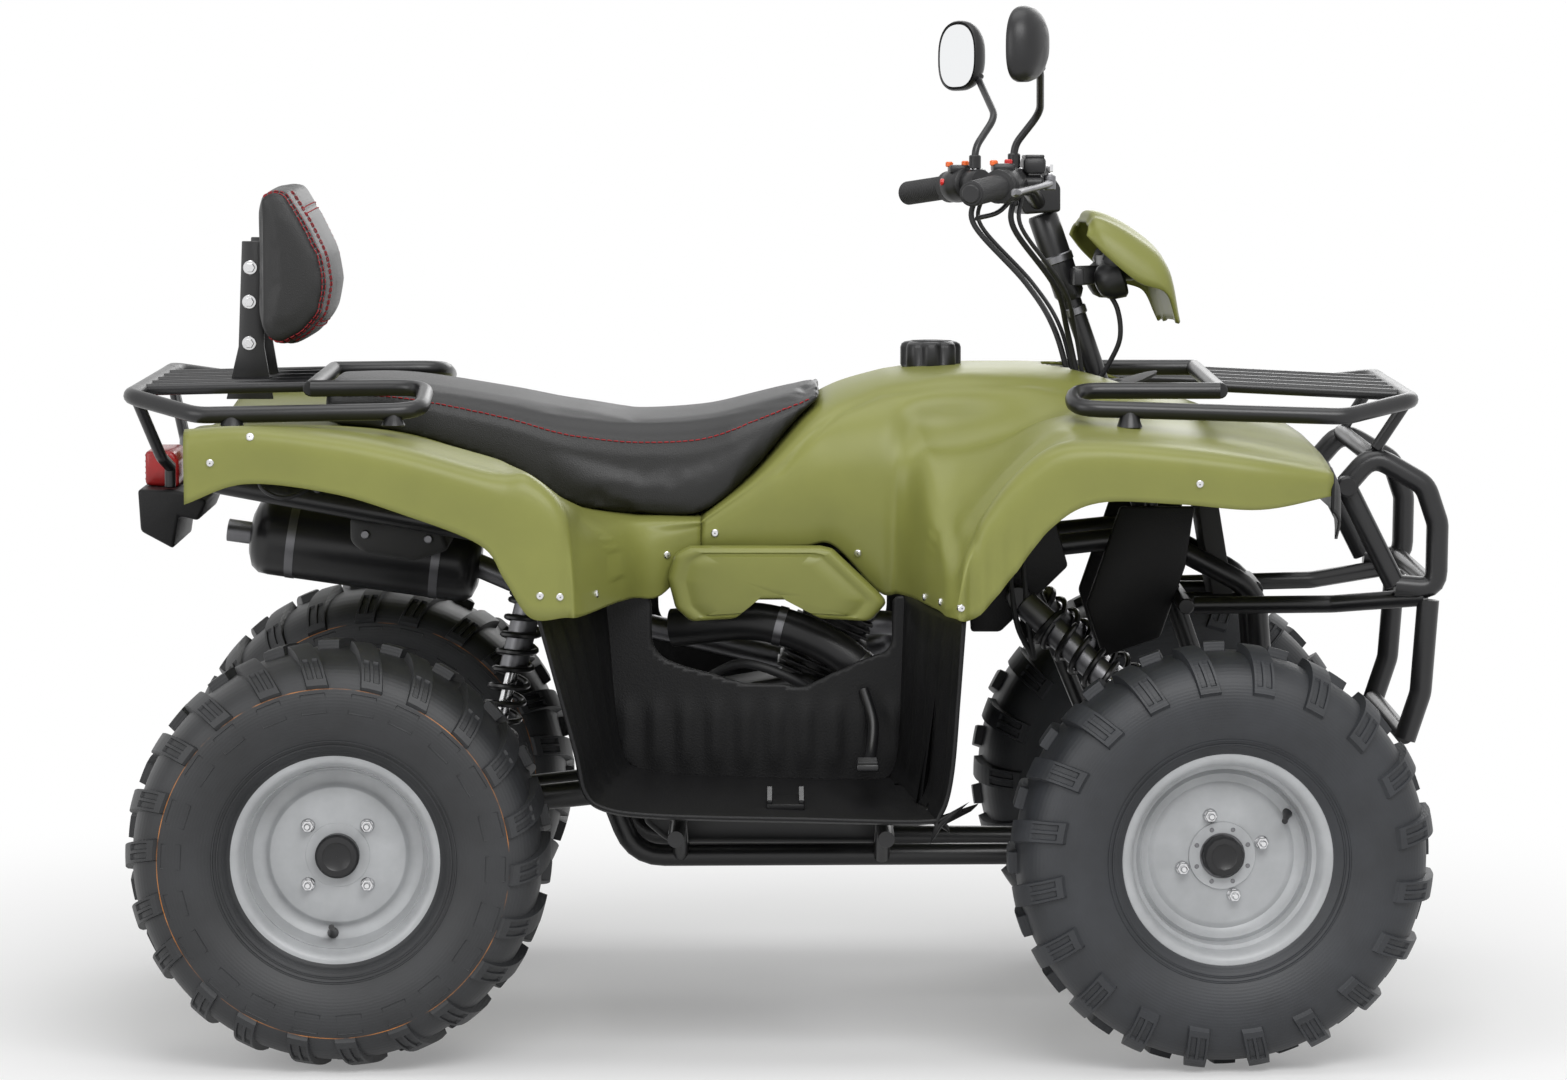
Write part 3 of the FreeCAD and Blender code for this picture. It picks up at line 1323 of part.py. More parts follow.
def build_front_rack():
    """The same form as the rear rack, with posts on the fenders and brackets to the bumper."""
    radius = size("rack_tube_radius")
    slat = size("rack_slat_radius")
    bend = size("rack_bend")
    front_x, front_y, front_z = FRONT_LOOP_SHARES[0]
    _, cross_y, cross_z = FRONT_LOOP_SHARES[-1]
    tubes = [round_bar(place(front_x, -front_y, front_z), place(front_x, front_y, front_z), radius)]
    tubes += [rod(place(FRONT_CROSS_X_SHARE, -cross_y, cross_z), place(FRONT_CROSS_X_SHARE, cross_y, cross_z),
                 radius)]
    for y in RACK_SLAT_SHARES:
        tubes.append(rod(place(FRONT_CROSS_X_SHARE, y, cross_z), place(front_x, y, front_z), slat, THIN_SIDES))
    body = nodes["front_body"].Shape
    bumper = nodes["front_bumper"].Shape
    for side in (RIGHT, LEFT):
        loop = [place(x, side * y, z) for x, y, z in FRONT_LOOP_SHARES]
        tubes.append(tube(loop, radius + size("seam_gap"), bend))
        post_x, post_y, post_z = FRONT_POST_SHARES
        top = place(post_x, side * post_y, post_z)
        tubes.append(seated(top, top - AXIS_Z * (POST_DROP_SHARE * size("deck_height")), radius, body))
        top = place(front_x, side * BUMPER_Y_SHARE, front_z)
        foot = place(BUMPER_HEAD_SHARES[0], side * BUMPER_Y_SHARE, BUMPER_HEAD_SHARES[1])
        tubes.append(seated(top, foot, slat, bumper))
    feature("front_rack", fused(tubes))


BUMPER_LOOP_SHARES = [
    (0.650, 0.832), (0.681, 0.878), (0.743, 0.832), (0.758, 0.775), (0.757, 0.676), (0.709, 0.682),
]


BUMPER_STAY_SHARES = [(0.478, 0.30, 0.644), (0.640, 0.33, 0.648), (0.745, 0.43, 0.664)]
BUMPER_LEG_SHARES = [(0.748, 0.66), (0.740, 0.52), (0.722, 0.45)]
BUMPER_CROSS_SHARES = [(0.681, 0.875), (0.752, 0.680)]
BUMPER_FOOT_SHARES = (0.722, 0.455)
BUMPER_STAY_SHARE = 0.8


def build_front_bumper():
    """Side loops, lower legs, cross tubes and the stays that reach back to the frame."""
    radius = size("bumper_tube_radius")
    bend = size("bumper_bend")
    stay = radius * BUMPER_STAY_SHARE
    tubes = []
    for side in (RIGHT, LEFT):
        y = side * BUMPER_Y_SHARE
        loop = [place(x, y, z) for x, z in BUMPER_LOOP_SHARES]
        tubes.append(tube(loop, radius, bend))
        tubes.append(rod(loop[-1], loop[0], radius))
        tubes.append(tube([place(x, side * share, z) for x, share, z in BUMPER_STAY_SHARES], stay, bend))
        tubes.append(tube([place(x, y, z) for x, z in BUMPER_LEG_SHARES], radius, bend))
    for x, z in BUMPER_CROSS_SHARES:
        tubes.append(rod(place(x, -BUMPER_Y_SHARE, z), place(x, BUMPER_Y_SHARE, z), stay, THIN_SIDES))
    foot_x, foot_z = BUMPER_FOOT_SHARES
    tubes.append(round_bar(place(foot_x, -BUMPER_Y_SHARE, foot_z), place(foot_x, BUMPER_Y_SHARE, foot_z), stay))
    feature("front_bumper", fused(tubes))


NOSE_SHARES = [
    (0.614, [(0.960, 0.820), (0.956, 0.873), (0.800, 0.880), (0.600, 0.886), (0.420, 0.888),
             (0.300, 0.889), (0.170, 0.890), (0.000, 0.891)]),
    (0.626, [(0.880, 0.800), (0.870, 0.840), (0.760, 0.850), (0.600, 0.855), (0.420, 0.858),
             (0.300, 0.860), (0.170, 0.860), (0.000, 0.860)]),
    (0.634, [(0.600, 0.760), (0.600, 0.780), (0.560, 0.795), (0.500, 0.800), (0.400, 0.800),
             (0.300, 0.800), (0.170, 0.800), (0.000, 0.800)]),
]


def build_nose_panel():
    """The dark fascia that closes the front of the bodywork between the headers."""
    panel = skin(NOSE_SHARES, size("panel_wall"))
    panel.translate(AXIS_X * size("seam_gap"))
    feature("nose_panel", panel)


BRACKET_SHARES = [
    (-0.650, 1.190), (-0.626, 1.190), (-0.628, 1.030), (-0.614, 0.950), (-0.670, 0.950), (-0.655, 1.030),
]
BACKREST_SHARES = [
    (-0.624, 1.264), (-0.612, 1.274), (-0.585, 1.271), (-0.564, 1.227), (-0.543, 1.173), (-0.537, 1.128),
    (-0.544, 1.081), (-0.565, 1.051), (-0.593, 1.032), (-0.618, 1.043), (-0.624, 1.060),
]


def build_backrest():
    """The pad, and the two bars that carry it from the rack."""
    padded_body("backrest_pad", BACKREST_SHARES, "Sizes.backrest_width")
    thick = size("bracket_thickness")
    bars = []
    slat_reach = size("rack_slat_radius") / math.cos(math.pi / THIN_SIDES)
    reach = RACK_SLAT_SHARES[-2] * size("flare_reach") - slat_reach - size("seam_gap") - thick
    for side in (RIGHT, LEFT):
        outline = [place(x, 0, z) for x, z in BRACKET_SHARES]
        pad_back = place(BACKREST_SHARES[0][0], 0, 0).x
        outline[1].x = pad_back - size("seam_gap")
        outline[2].x = pad_back - size("seam_gap")
        bars.append(prism([p + AXIS_Y * side * reach for p in outline], AXIS_Y * side * thick))
    feature("backrest_bracket", Part.makeCompound(bars))


ENGINE_CASE_SHARES = [
    (-0.175, 0.300), (-0.175, 0.430), (-0.12, 0.500), (0.02, 0.530), (0.10, 0.480), (0.130, 0.320),
]
ENGINE_FLOOR_X_SHARES = (0.120, -0.145)
ENGINE_CORE_SHARE = 0.68
ENGINE_COVER_SHARES = (-0.05, 0.400)
ENGINE_COVER_RADIUS_SHARE = 0.75
CYLINDER_SHARES = [(0.02, 0.50), (0.075, 0.66)]
CYLINDER_RADIUS_SHARE = 0.55


def build_engine():
    """Crankcase between the rails, clutch covers above them and a leaning cylinder."""
    half = size("engine_width") / 2
    core = half * ENGINE_CORE_SHARE
    case = [place(x, 0, z) for x, z in ENGINE_CASE_SHARES]
    floor = AXIS_Z * (size("brace_radius") + size("seam_gap"))
    case += [place(x, 0, RAIL_FLOOR_SHARE) + floor for x in ENGINE_FLOOR_X_SHARES]
    block = prism([p - AXIS_Y * core for p in case], AXIS_Y * 2 * core)
    cover = place(ENGINE_COVER_SHARES[0], 0, ENGINE_COVER_SHARES[1])
    covers = rod(cover - AXIS_Y * half, cover + AXIS_Y * half, ENGINE_COVER_RADIUS_SHARE * half)
    foot, head = [place(x, 0, z) for x, z in CYLINDER_SHARES]
    barrel = rod(foot, head, CYLINDER_RADIUS_SHARE * half)
    feature("engine", fused([block, covers, barrel]))


EXHAUST_SHARES = [
    (0.050, 0, 0.600), (0.130, 0.02, 0.600), (0.140, 0.29, 0.56), (0.02, 0.30, 0.52), (-0.25, 0.31, 0.60),
    (-0.40, 0.34, 0.68),
]
MUFFLER_SHARES = [(-0.38, 0.34, 0.67), (-0.66, 0.36, 0.72)]


def build_exhaust():
    """The pipe from the cylinder round to the silencer, whose round outlet points back."""
    pipe = tube([place(*p) for p in EXHAUST_SHARES], size("exhaust_pipe_radius"), size("frame_bend"))
    front, back = [place(*p) for p in MUFFLER_SHARES]
    can = rod(front, back, size("muffler_radius"))
    heading = (back - front).normalize()
    outlet = round_bar(back, back + heading * size("outlet_reach"), size("outlet_radius"))
    feature("exhaust", fused([pipe, can, outlet]).cut(nodes["engine"].Shape))


AIRBOX_SHARES = [
    (-0.523, 0.772), (-0.495, 0.766), (-0.417, 0.766), (-0.405, 0.721), (-0.447, 0.703), (-0.507, 0.716),
    (-0.523, 0.733),
]
MUDGUARD_SHARES = [
    (-0.772, 0.817), (-0.724, 0.815), (-0.690, 0.800), (-0.700, 0.769), (-0.724, 0.776), (-0.730, 0.726),
    (-0.769, 0.753),
]


def build_airbox():
    """The intake box, held between the frame's upper rails."""
    width = "%s * Sizes.flare_reach - 2 * Sizes.rail_radius - 4 * Sizes.seam_gap" % (2 * RAIL_Y_SHARE)
    padded_body("airbox", AIRBOX_SHARES, width)


def build_rear_mudguard():
    padded_body("rear_mudguard", MUDGUARD_SHARES, "Sizes.mudguard_width")


TAIL_LIGHT_SHARES = [(-0.768, 0.870), (-0.735, 0.870), (-0.728, 0.855), (-0.728, 0.79), (-0.768, 0.79)]


TAIL_LIGHT_HALF_SHARE = 0.13


def build_tail_light():
    """The lamp that stands on the mudguard between the rack's struts."""
    half = TAIL_LIGHT_HALF_SHARE * size("flare_reach")
    lamp = prism([place(x, 0, z) - AXIS_Y * half for x, z in TAIL_LIGHT_SHARES], AXIS_Y * 2 * half)
    guard = nodes["rear_mudguard"].Shape.copy()
    guard.translate(AXIS_Z * size("seam_gap"))
    pieces = lamp.cut(guard).Solids
    feature("tail_light", max(pieces, key=lambda piece: piece.BoundBox.ZMax))


REAR_SHOCK_TOP_SHARE = (-0.300, 0, 0.735)
SWINGARM_PIVOT_SHARE = (-0.212, 0, 0.350)


def swingarm_cross():
    """The middle of the swingarm's cross bar, under the damper."""
    return place(*SWINGARM_PIVOT_SHARE) * 0.5 + rear_axle_centre * 0.5


SWINGARM_Y_SHARE = 0.62
SWINGARM_TUBE_SHARE = 1.2
SWINGARM_PIVOT_TUBE_SHARE = 1.3

def build_swingarm():
    """Two arms from the pivot behind the engine to the bearing tube round the axle."""
    pivot = place(*SWINGARM_PIVOT_SHARE)
    half = size("bearing_length") / 2
    bearing = rod(rear_axle_centre - AXIS_Y * half, rear_axle_centre + AXIS_Y * half, size("bearing_radius"))
    parts = [bearing]
    pivot_half = RAIL_Y_SHARE * size("flare_reach") - size("rail_radius") - 4 * size("running_gap")
    for side in (RIGHT, LEFT):
        y = side * half * SWINGARM_Y_SHARE
        arm_start = Vector(pivot.x, y, pivot.z)
        arm_end = Vector(rear_axle_centre.x, y, rear_axle_centre.z)
        parts.append(rod(arm_start, arm_end, size("rail_radius") * SWINGARM_TUBE_SHARE))
    parts.append(rod(Vector(pivot.x, -pivot_half, pivot.z), Vector(pivot.x, pivot_half, pivot.z),
                     size("rail_radius") * SWINGARM_PIVOT_TUBE_SHARE))
    cross = swingarm_cross()
    reach = AXIS_Y * (half * SWINGARM_Y_SHARE)
    parts.append(rod(cross - reach, cross + reach, size("rail_radius")))
    shape = fused(parts)
    bore = size("axle_radius") + size("running_gap")
    shape = shape.cut(rod(rear_axle_centre - AXIS_Y * half, rear_axle_centre + AXIS_Y * half, bore))
    feature("swingarm", shape)


def build_rear_shock():
    rest = shock_eye() + size("seam_gap")
    top = place(*REAR_SHOCK_TOP_SHARE) - AXIS_Z * (size("brace_radius") + rest)
    bottom = swingarm_cross() + AXIS_Z * (size("rail_radius") + rest)
    feature("rear_shock", plain_shock(top, bottom))


def build_fuel_cap():
    foot = place(*FUEL_CAP_SHARE) - AXIS_Z * (2 * size("panel_wall"))
    turn = FreeCAD.Rotation(AXIS_Z, FULL_TURN / 2 / DRUM_SIDES)
    drum("fuel_cap", DRUM_SIDES, "Sizes.fuel_cap_radius", "Sizes.fuel_cap_height", FreeCAD.Placement(foot, turn))


CABLE_SHARES = [(0.300, 0.30, 1.12), (0.325, 0.13, 1.05), (0.345, 0.085, 0.95)]
CABLE_DROP_SHARE = 0.35


def build_cables():
    """A cable from each lever's perch, down through the opening round the column."""
    shapes = []
    for side in (RIGHT, LEFT):
        start = perch_centre(side) - AXIS_Z * (perch_radius() + size("seam_gap"))
        points = [start, start - AXIS_Z * (size("grip_length") * CABLE_DROP_SHARE)]
        points += [place(x, side * y, z) for x, y, z in CABLE_SHARES]
        shapes.append(tube(points, size("cable_radius"), size("frame_bend"), THIN_SIDES))
    feature("control_cables", steered(Part.makeCompound(shapes)))


build_wheels()
build_front_hubs()
build_rear_axle()
build_knuckles()
build_tie_rods()
build_steering_column()
build_wishbones()
build_front_shocks()
build_handlebar()
build_bar_clamp()
build_grips()
build_switchgear()
build_brake_levers()
build_mirrors()
build_headlight()
build_bodies()
build_frame()
build_seat()
build_footwells()
build_side_covers()
build_foot_controls()
build_rear_mudguard()
build_rear_rack()
build_front_bumper()
build_front_rack()
build_nose_panel()
build_backrest()
build_engine()
build_exhaust()
build_airbox()
build_tail_light()
build_swingarm()
build_rear_shock()
build_fuel_cap()
build_cables()

doc.recompute()
os.makedirs("parts", exist_ok=True)
faults = []
for item in doc.Objects:
    if "Invalid" in item.State or "Error" in item.State:
        faults.append("%s is in state %s" % (item.Label, item.State))
for name, item in nodes.items():
    if item.Shape.isNull() or not item.Shape.isValid():
        faults.append("%s has no valid shape" % name)
if faults:
    raise RuntimeError("; ".join(faults))
for name, item in nodes.items():
    item.Shape.exportStep(os.path.join("parts", name + ".step"))
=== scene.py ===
import json
import math

import bmesh
import bpy
from mathutils import Matrix, Vector
from mathutils.bvhtree import BVHTree
from mathutils.kdtree import KDTree


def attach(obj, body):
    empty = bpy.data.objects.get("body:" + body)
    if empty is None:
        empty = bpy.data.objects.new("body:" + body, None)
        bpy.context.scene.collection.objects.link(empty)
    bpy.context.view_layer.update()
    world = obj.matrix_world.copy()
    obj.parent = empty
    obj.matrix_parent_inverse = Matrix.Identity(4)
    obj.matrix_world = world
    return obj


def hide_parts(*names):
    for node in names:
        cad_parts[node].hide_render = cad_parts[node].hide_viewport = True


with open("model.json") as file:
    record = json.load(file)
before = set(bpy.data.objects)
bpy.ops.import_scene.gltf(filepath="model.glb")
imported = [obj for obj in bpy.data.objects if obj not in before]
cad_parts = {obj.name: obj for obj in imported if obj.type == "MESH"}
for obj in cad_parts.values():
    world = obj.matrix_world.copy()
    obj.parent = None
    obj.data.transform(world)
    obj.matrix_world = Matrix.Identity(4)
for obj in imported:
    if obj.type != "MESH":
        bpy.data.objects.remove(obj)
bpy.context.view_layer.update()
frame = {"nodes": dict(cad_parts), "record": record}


# Camera, worked out from the photograph's frame

PHOTO_WIDTH = 1567
PHOTO_HEIGHT = 1080
FOCAL_PIXELS = 5815
SENSOR_WIDTH = 36.0
CAMERA_PLACE = (-0.0084, -8.0086, 1.3959)
CAMERA_PITCH = math.radians(90 - 5.286)


def link(thing):
    bpy.context.scene.collection.objects.link(thing)
    return thing


def make_camera():
    data = bpy.data.cameras.new("view")
    data.sensor_width = SENSOR_WIDTH
    data.lens = SENSOR_WIDTH * FOCAL_PIXELS / PHOTO_WIDTH
    camera = link(bpy.data.objects.new("view", data))
    camera.location = CAMERA_PLACE
    camera.rotation_euler = (CAMERA_PITCH, 0, 0)
    bpy.context.scene.camera = camera


make_camera()
bpy.context.scene.view_settings.view_transform = "Standard"


# Light, floor and background

WHITE, AMBIENT = (1, 1, 1, 1), 0.36
FLOOR_REACH, FLOOR_COLOUR = 30.0, (0.93, 0.93, 0.93)


def add_node(tree, kind, inputs=(), **settings):
    """A shader node; inputs are pairs of a socket's name or number and a value or an output."""
    node = tree.nodes.new("ShaderNode" + kind)
    for name, value in settings.items():
        setattr(node, name, value)
    for name, value in inputs:
        if isinstance(value, bpy.types.NodeSocket):
            tree.links.new(value, node.inputs[name])
        else:
            node.inputs[name].default_value = value
    return node


def reckon(tree, operation, *values, kind="Math", output="Value"):
    """The output of a sum on values and outputs."""
    return add_node(tree, kind, enumerate(values), operation=operation).outputs[output]


def new_material(name, colour, roughness, metallic=0.0, specular=0.5):
    material = bpy.data.materials.new(name)
    material.use_nodes = True
    shader = material.node_tree.nodes["Principled BSDF"]
    shader.inputs["Base Color"].default_value = (*colour, 1)
    shader.inputs["Roughness"].default_value = roughness
    shader.inputs["Metallic"].default_value = metallic
    shader.inputs["Specular IOR Level"].default_value = specular
    return (material, material.node_tree, shader)


def seen_directly(tree):
    """1 for camera, mirror and glass rays, 0 for the rays that light the object."""
    rays = add_node(tree, "LightPath").outputs
    mirrored = reckon(tree, "MAXIMUM", rays["Is Camera Ray"], rays["Is Glossy Ray"])
    return reckon(tree, "MAXIMUM", mirrored, rays["Is Transmission Ray"])


def make_world():
    world = bpy.data.worlds.new("studio")
    bpy.context.scene.world = world
    world.use_nodes = True
    tree = world.node_tree
    tree.nodes.clear()
    ambient = add_node(tree, "Background", [("Color", WHITE), ("Strength", AMBIENT)])
    backdrop = add_node(tree, "Background", [("Color", WHITE)])
    mix = add_node(
        tree, "MixShader", [(0, seen_directly(tree)), (1, ambient.outputs[0]), (2, backdrop.outputs[0])])
    add_node(tree, "OutputWorld", [(0, mix.outputs[0])])


def make_floor():
    """A pale floor that keeps the shadow near the object and turns to plain white away from it."""
    reach = FLOOR_REACH
    mesh = bpy.data.meshes.new("floor")
    mesh.from_pydata(
        [(-reach, -reach, 0), (reach, -reach, 0), (reach, reach, 0), (-reach, reach, 0)], [],
        [(0, 1, 2, 3)])
    material, tree, shader = new_material("floor_white", FLOOR_COLOUR, 0.9)
    place = add_node(tree, "NewGeometry").outputs["Position"]
    distance = reckon(tree, "LENGTH", place, kind="VectorMath")
    fade = add_node(
        tree, "MapRange", [("Value", distance), ("From Min", 0.7), ("From Max", 2.2), ("To Min", 0.25)],
        interpolation_type="SMOOTHSTEP")
    share = reckon(tree, "MULTIPLY", fade.outputs["Result"], seen_directly(tree))
    glow = add_node(tree, "Emission").outputs[0]
    mix = add_node(tree, "MixShader", [(0, share), (1, shader.outputs[0]), (2, glow)])
    tree.links.new(mix.outputs[0], tree.nodes["Material Output"].inputs[0])
    mesh.materials.append(material)
    floor = link(bpy.data.objects.new("floor", mesh))


def area_light(name, place, target, size, power):
    data = bpy.data.lights.new(name, "AREA")
    data.shape = "RECTANGLE"
    data.size, data.size_y = size
    data.energy = power
    lamp = link(bpy.data.objects.new(name, data))
    lamp.location = place
    lamp.rotation_euler = (Vector(target) - Vector(place)).to_track_quat("-Z", "Y").to_euler()


make_world()
make_floor()
area_light("key", (0.9, -3.8, 3.6), (0.1, 0, 0.6), (3.2, 2.0), 118)
area_light("fill", (-3.4, -3.2, 2.0), (-0.2, 0, 0.6), (2.4, 2.4), 40)
area_light("top", (0.0, -0.4, 4.6), (0, 0, 0.6), (3.5, 2.5), 58)
area_light("back", (1.5, 4.0, 2.6), (0, 0, 0.7), (3.0, 2.0), 45)


# Materials

MOULD_LINE_COLOUR = (0.42, 0.16, 0.035)
WALL_LINE_SPACING = 0.0042


def object_noise(tree, scale, detail=4.0):
    place = add_node(tree, "TexCoord").outputs["Object"]
    return add_node(
        tree, "TexNoise", [("Vector", place), ("Scale", scale), ("Detail", detail),
        ("Roughness", 0.6)]).outputs["Fac"]


def add_bump(tree, shader, height, strength, distance):
    bump = add_node(tree, "Bump", [("Strength", strength), ("Distance", distance), ("Height", height)])
    tree.links.new(bump.outputs["Normal"], shader.inputs["Normal"])


def add_grain(tree, shader, scale, strength, distance):
    add_bump(tree, shader, object_noise(tree, scale, 2.0), strength, distance)


def ramp_between(tree, value, dark, light):
    ramp = add_node(tree, "ValToRGB", [("Fac", value)])
    for stop, place, colour in zip(ramp.color_ramp.elements, (0.3, 0.7), (dark, light)):
        stop.position = place
        stop.color = (*colour, 1)
    return ramp.outputs["Color"]


def scaled(colour, factor):
    return tuple(channel * factor for channel in colour)


def spread_colour(tree, cloud, colour, low, high):
    """Clouds between a darker and a lighter tone of the colour."""
    return ramp_between(tree, cloud, scaled(colour, low), scaled(colour, high))


def vary_colour(tree, shader, cloud, colour, low, high):
    tree.links.new(spread_colour(tree, cloud, colour, low, high), shader.inputs["Base Color"])


def vary_roughness(tree, shader, cloud, low, high):
    spread = add_node(tree, "MapRange", [("Value", cloud), ("To Min", low), ("To Max", high)])
    tree.links.new(spread.outputs["Result"], shader.inputs["Roughness"])


def moulded(name, colour, roughness, grain_scale, grain_depth, spread=0.08, strength=0.35, specular=0.4):
    """Moulded plastic, vinyl or rubber: slight colour clouds, fine grain and uneven gloss."""
    material, tree, shader = new_material(name, colour, roughness, specular=specular)
    cloud = object_noise(tree, 9.0)
    vary_colour(tree, shader, cloud, colour, 1 - spread, 1 + spread)
    vary_roughness(tree, shader, cloud, roughness - 0.05, roughness + 0.05)
    add_grain(tree, shader, grain_scale, strength, grain_depth)
    return material


def painted(name, colour, roughness, grain_scale=900.0):
    material, tree, shader = new_material(name, colour, roughness)
    cloud = object_noise(tree, 14.0)
    vary_roughness(tree, shader, cloud, roughness - 0.06, roughness + 0.08)
    vary_colour(tree, shader, cloud, colour, 0.9, 1.15)
    add_grain(tree, shader, grain_scale, 0.2, 0.0002)
    return material


def metal(name, colour, roughness):
    material, tree, shader = new_material(name, colour, roughness, metallic=1.0)
    vary_roughness(tree, shader, object_noise(tree, 30.0), roughness - 0.06, roughness + 0.1)
    add_grain(tree, shader, 700.0, 0.12, 0.0002)
    return material


def axle_distance(tree):
    """Distance from the wheel's axle, for a piece whose own Y axis is that axle."""
    place = add_node(tree, "TexCoord").outputs["Object"]
    flat = reckon(tree, "MULTIPLY", place, (1, 0, 1), kind="VectorMath", output="Vector")
    return reckon(tree, "LENGTH", flat, kind="VectorMath")


def rubber(name, colour, mould_line):
    """Tyre rubber with fine concentric lines and, on some tyres, a worn orange mould line."""
    material, tree, shader = new_material(name, colour, 0.5)
    cloud = object_noise(tree, 12.0)
    vary_roughness(tree, shader, cloud, 0.42, 0.62)
    shade = spread_colour(tree, cloud, colour, 0.75, 1.3)
    distance = axle_distance(tree)
    if mould_line:
        patches = object_noise(tree, 16.0, detail=3.0)
        ring = reckon(tree, "COMPARE", distance, mould_line, 0.0006)
        worn = add_node(tree, "MapRange", [("Value", patches), ("From Min", 0.42), ("From Max", 0.62)])
        share = reckon(tree, "MULTIPLY", ring, worn.outputs["Result"])
        mix = add_node(tree, "Mix", data_type="RGBA")
        tree.links.new(share, mix.inputs["Factor"])
        tree.links.new(shade, mix.inputs["A"])
        mix.inputs["B"].default_value = (*MOULD_LINE_COLOUR, 1)
        shade = mix.outputs["Result"]
    tree.links.new(shade, shader.inputs["Base Color"])
    wave = reckon(tree, "SINE", reckon(tree, "MULTIPLY", distance, 2 * math.pi / WALL_LINE_SPACING))
    grain = object_noise(tree, 500.0, detail=2.0)
    add_bump(tree, shader, reckon(tree, "MULTIPLY_ADD", wave, 0.25, grain), 0.35, 0.0005)
    return material


# Emission: a real lamp for the tail lens, a painted glow for the switch buttons, which are no lamps.
def glowing(name, colour, strength):
    material, tree, shader = new_material(name, colour, 0.25)
    vary_colour(tree, shader, object_noise(tree, 40.0), colour, 0.9, 1.1)
    shader.inputs["Emission Color"].default_value = (*colour, 1)
    shader.inputs["Emission Strength"].default_value = strength
    return material


OLIVE = (0.222, 0.232, 0.058)
BLACK = (0.008, 0.008, 0.0085)
look = {
    "olive": moulded("olive_moulding", OLIVE, 0.4, 900.0, 0.00015, 0.05),
    "black_plastic": moulded("black_moulding", BLACK, 0.44, 420.0, 0.0009, 0.1, 0.5, 0.25),
    "smooth_black": moulded("smooth_black", (0.014, 0.014, 0.015), 0.36, 900.0, 0.0002),
    "black_paint": painted("black_paint", (0.011, 0.011, 0.012), 0.3),
    "vinyl": moulded("seat_vinyl", (0.015, 0.015, 0.0155), 0.42, 650.0, 0.0008, 0.12, 0.5),
    "thread": moulded("red_thread", (0.33, 0.02, 0.025), 0.7, 1500.0, 0.0003),
    "engine": painted("engine_cast", (0.022, 0.022, 0.023), 0.42, 500.0),
    "alloy": metal("alloy", (0.55, 0.56, 0.58), 0.34),
    "steel": metal("bright_steel", (0.72, 0.72, 0.73), 0.22),
    "dark_steel": metal("dark_steel", (0.2, 0.2, 0.21), 0.38),
    "rear_rubber": rubber("rear_rubber", (0.021, 0.022, 0.024), 0.2295),
    "front_rubber": rubber("front_rubber", (0.024, 0.026, 0.03), 0.0),
    "wheel_silver": painted("wheel_silver", (0.4, 0.41, 0.42), 0.36, 700.0),
    "grip": moulded("grip_rubber", (0.013, 0.013, 0.014), 0.55, 900.0, 0.0004),
    "mirror": metal("mirror_glass_face", (0.88, 0.89, 0.9), 0.04),
    "lens": moulded("lamp_lens_face", (0.02, 0.021, 0.023), 0.16, 200.0, 0.0001),
    # The red and orange switch buttons carry a painted glow: they are no lamps, yet they emit light.
    "red": glowing("red_button_painted_glow", (0.55, 0.02, 0.02), 0.15),
    "orange": glowing("orange_button_painted_glow", (0.75, 0.13, 0.02), 0.15),
    "tail": glowing("tail_lens_face", (0.32, 0.012, 0.012), 0.02),
    "boot": moulded("rubber_boot", (0.03, 0.03, 0.03), 0.65, 500.0, 0.0006)}
slot_looks = {
    "olive_plastic": "olive", "black_plastic": "black_plastic", "black_paint": "black_paint",
    "seat_vinyl": "vinyl", "engine_metal": "engine", "damper_steel": "dark_steel", "tyre": "rear_rubber",
    "wheel_silver": "wheel_silver", "hub_steel": "dark_steel", "grip_rubber": "grip",
    "mirror_face": "mirror", "lamp_lens": "lens", "tail_lens": "tail"}


def dress_cad_nodes():
    for subpart in frame["record"]["subparts"]:
        node = frame["nodes"][subpart["node"]]
        node.data.materials.clear()
        node.data.materials.append(look[slot_looks[subpart["material_slot"]]])


dress_cad_nodes()


# Places shared with the part's source

WB, FR, DH = 1.15, 0.5, 0.9
AXIS_X, AXIS_Y, AXIS_Z = Vector((1, 0, 0)), Vector((0, 1, 0)), Vector((0, 0, 1))
RIGHT, LEFT = -1, 1
SIDES = ((RIGHT, "right"), (LEFT, "left"))
TYRE_RADIUS = 0.28
REAR_AXLE_X = -0.5165 * WB
FRONT_AXLE_X = 0.4835 * WB
FRONT_HALF_TRACK = 0.43
REAR_HALF_TRACK = 0.403
FRONT_DISC_Y, REAR_DISC_Y = 0.0072, 0.03
DISC_BACK, SEAT_GAP = 0.006, 0.0003
SWINGARM_HALF = 0.095
STEERING_ARM = 0.06
KINGPIN_INSET = 0.105
REST_STEER = math.radians(5.5)
CASTER = math.radians(8.0)
COLUMN_LEAN = math.radians(19.1)


def at(x, y, z):
    return Vector((x * WB, y * FR, z * DH))


column_point = at(0.3635, 0, 1.001)
column_axis = Vector((-math.sin(COLUMN_LEAN), 0, math.cos(COLUMN_LEAN)))
kingpin_axis = Vector((-math.sin(CASTER), 0, math.cos(CASTER)))


def about(point, axis, angle):
    return Matrix.Translation(point) @ Matrix.Rotation(angle, 4, axis) @ Matrix.Translation(
        -Vector(point))


STEERED = about(column_point, column_axis, REST_STEER)


def on_column(height):
    return column_point + column_axis * ((height - column_point.z) / column_axis.z)


def kingpin(side):
    rise = (Matrix.Rotation(REST_STEER, 3, kingpin_axis) @ Vector((0, side * KINGPIN_INSET, 0))).z
    return Vector((FRONT_AXLE_X, side * (FRONT_HALF_TRACK - KINGPIN_INSET), TYRE_RADIUS - rise))


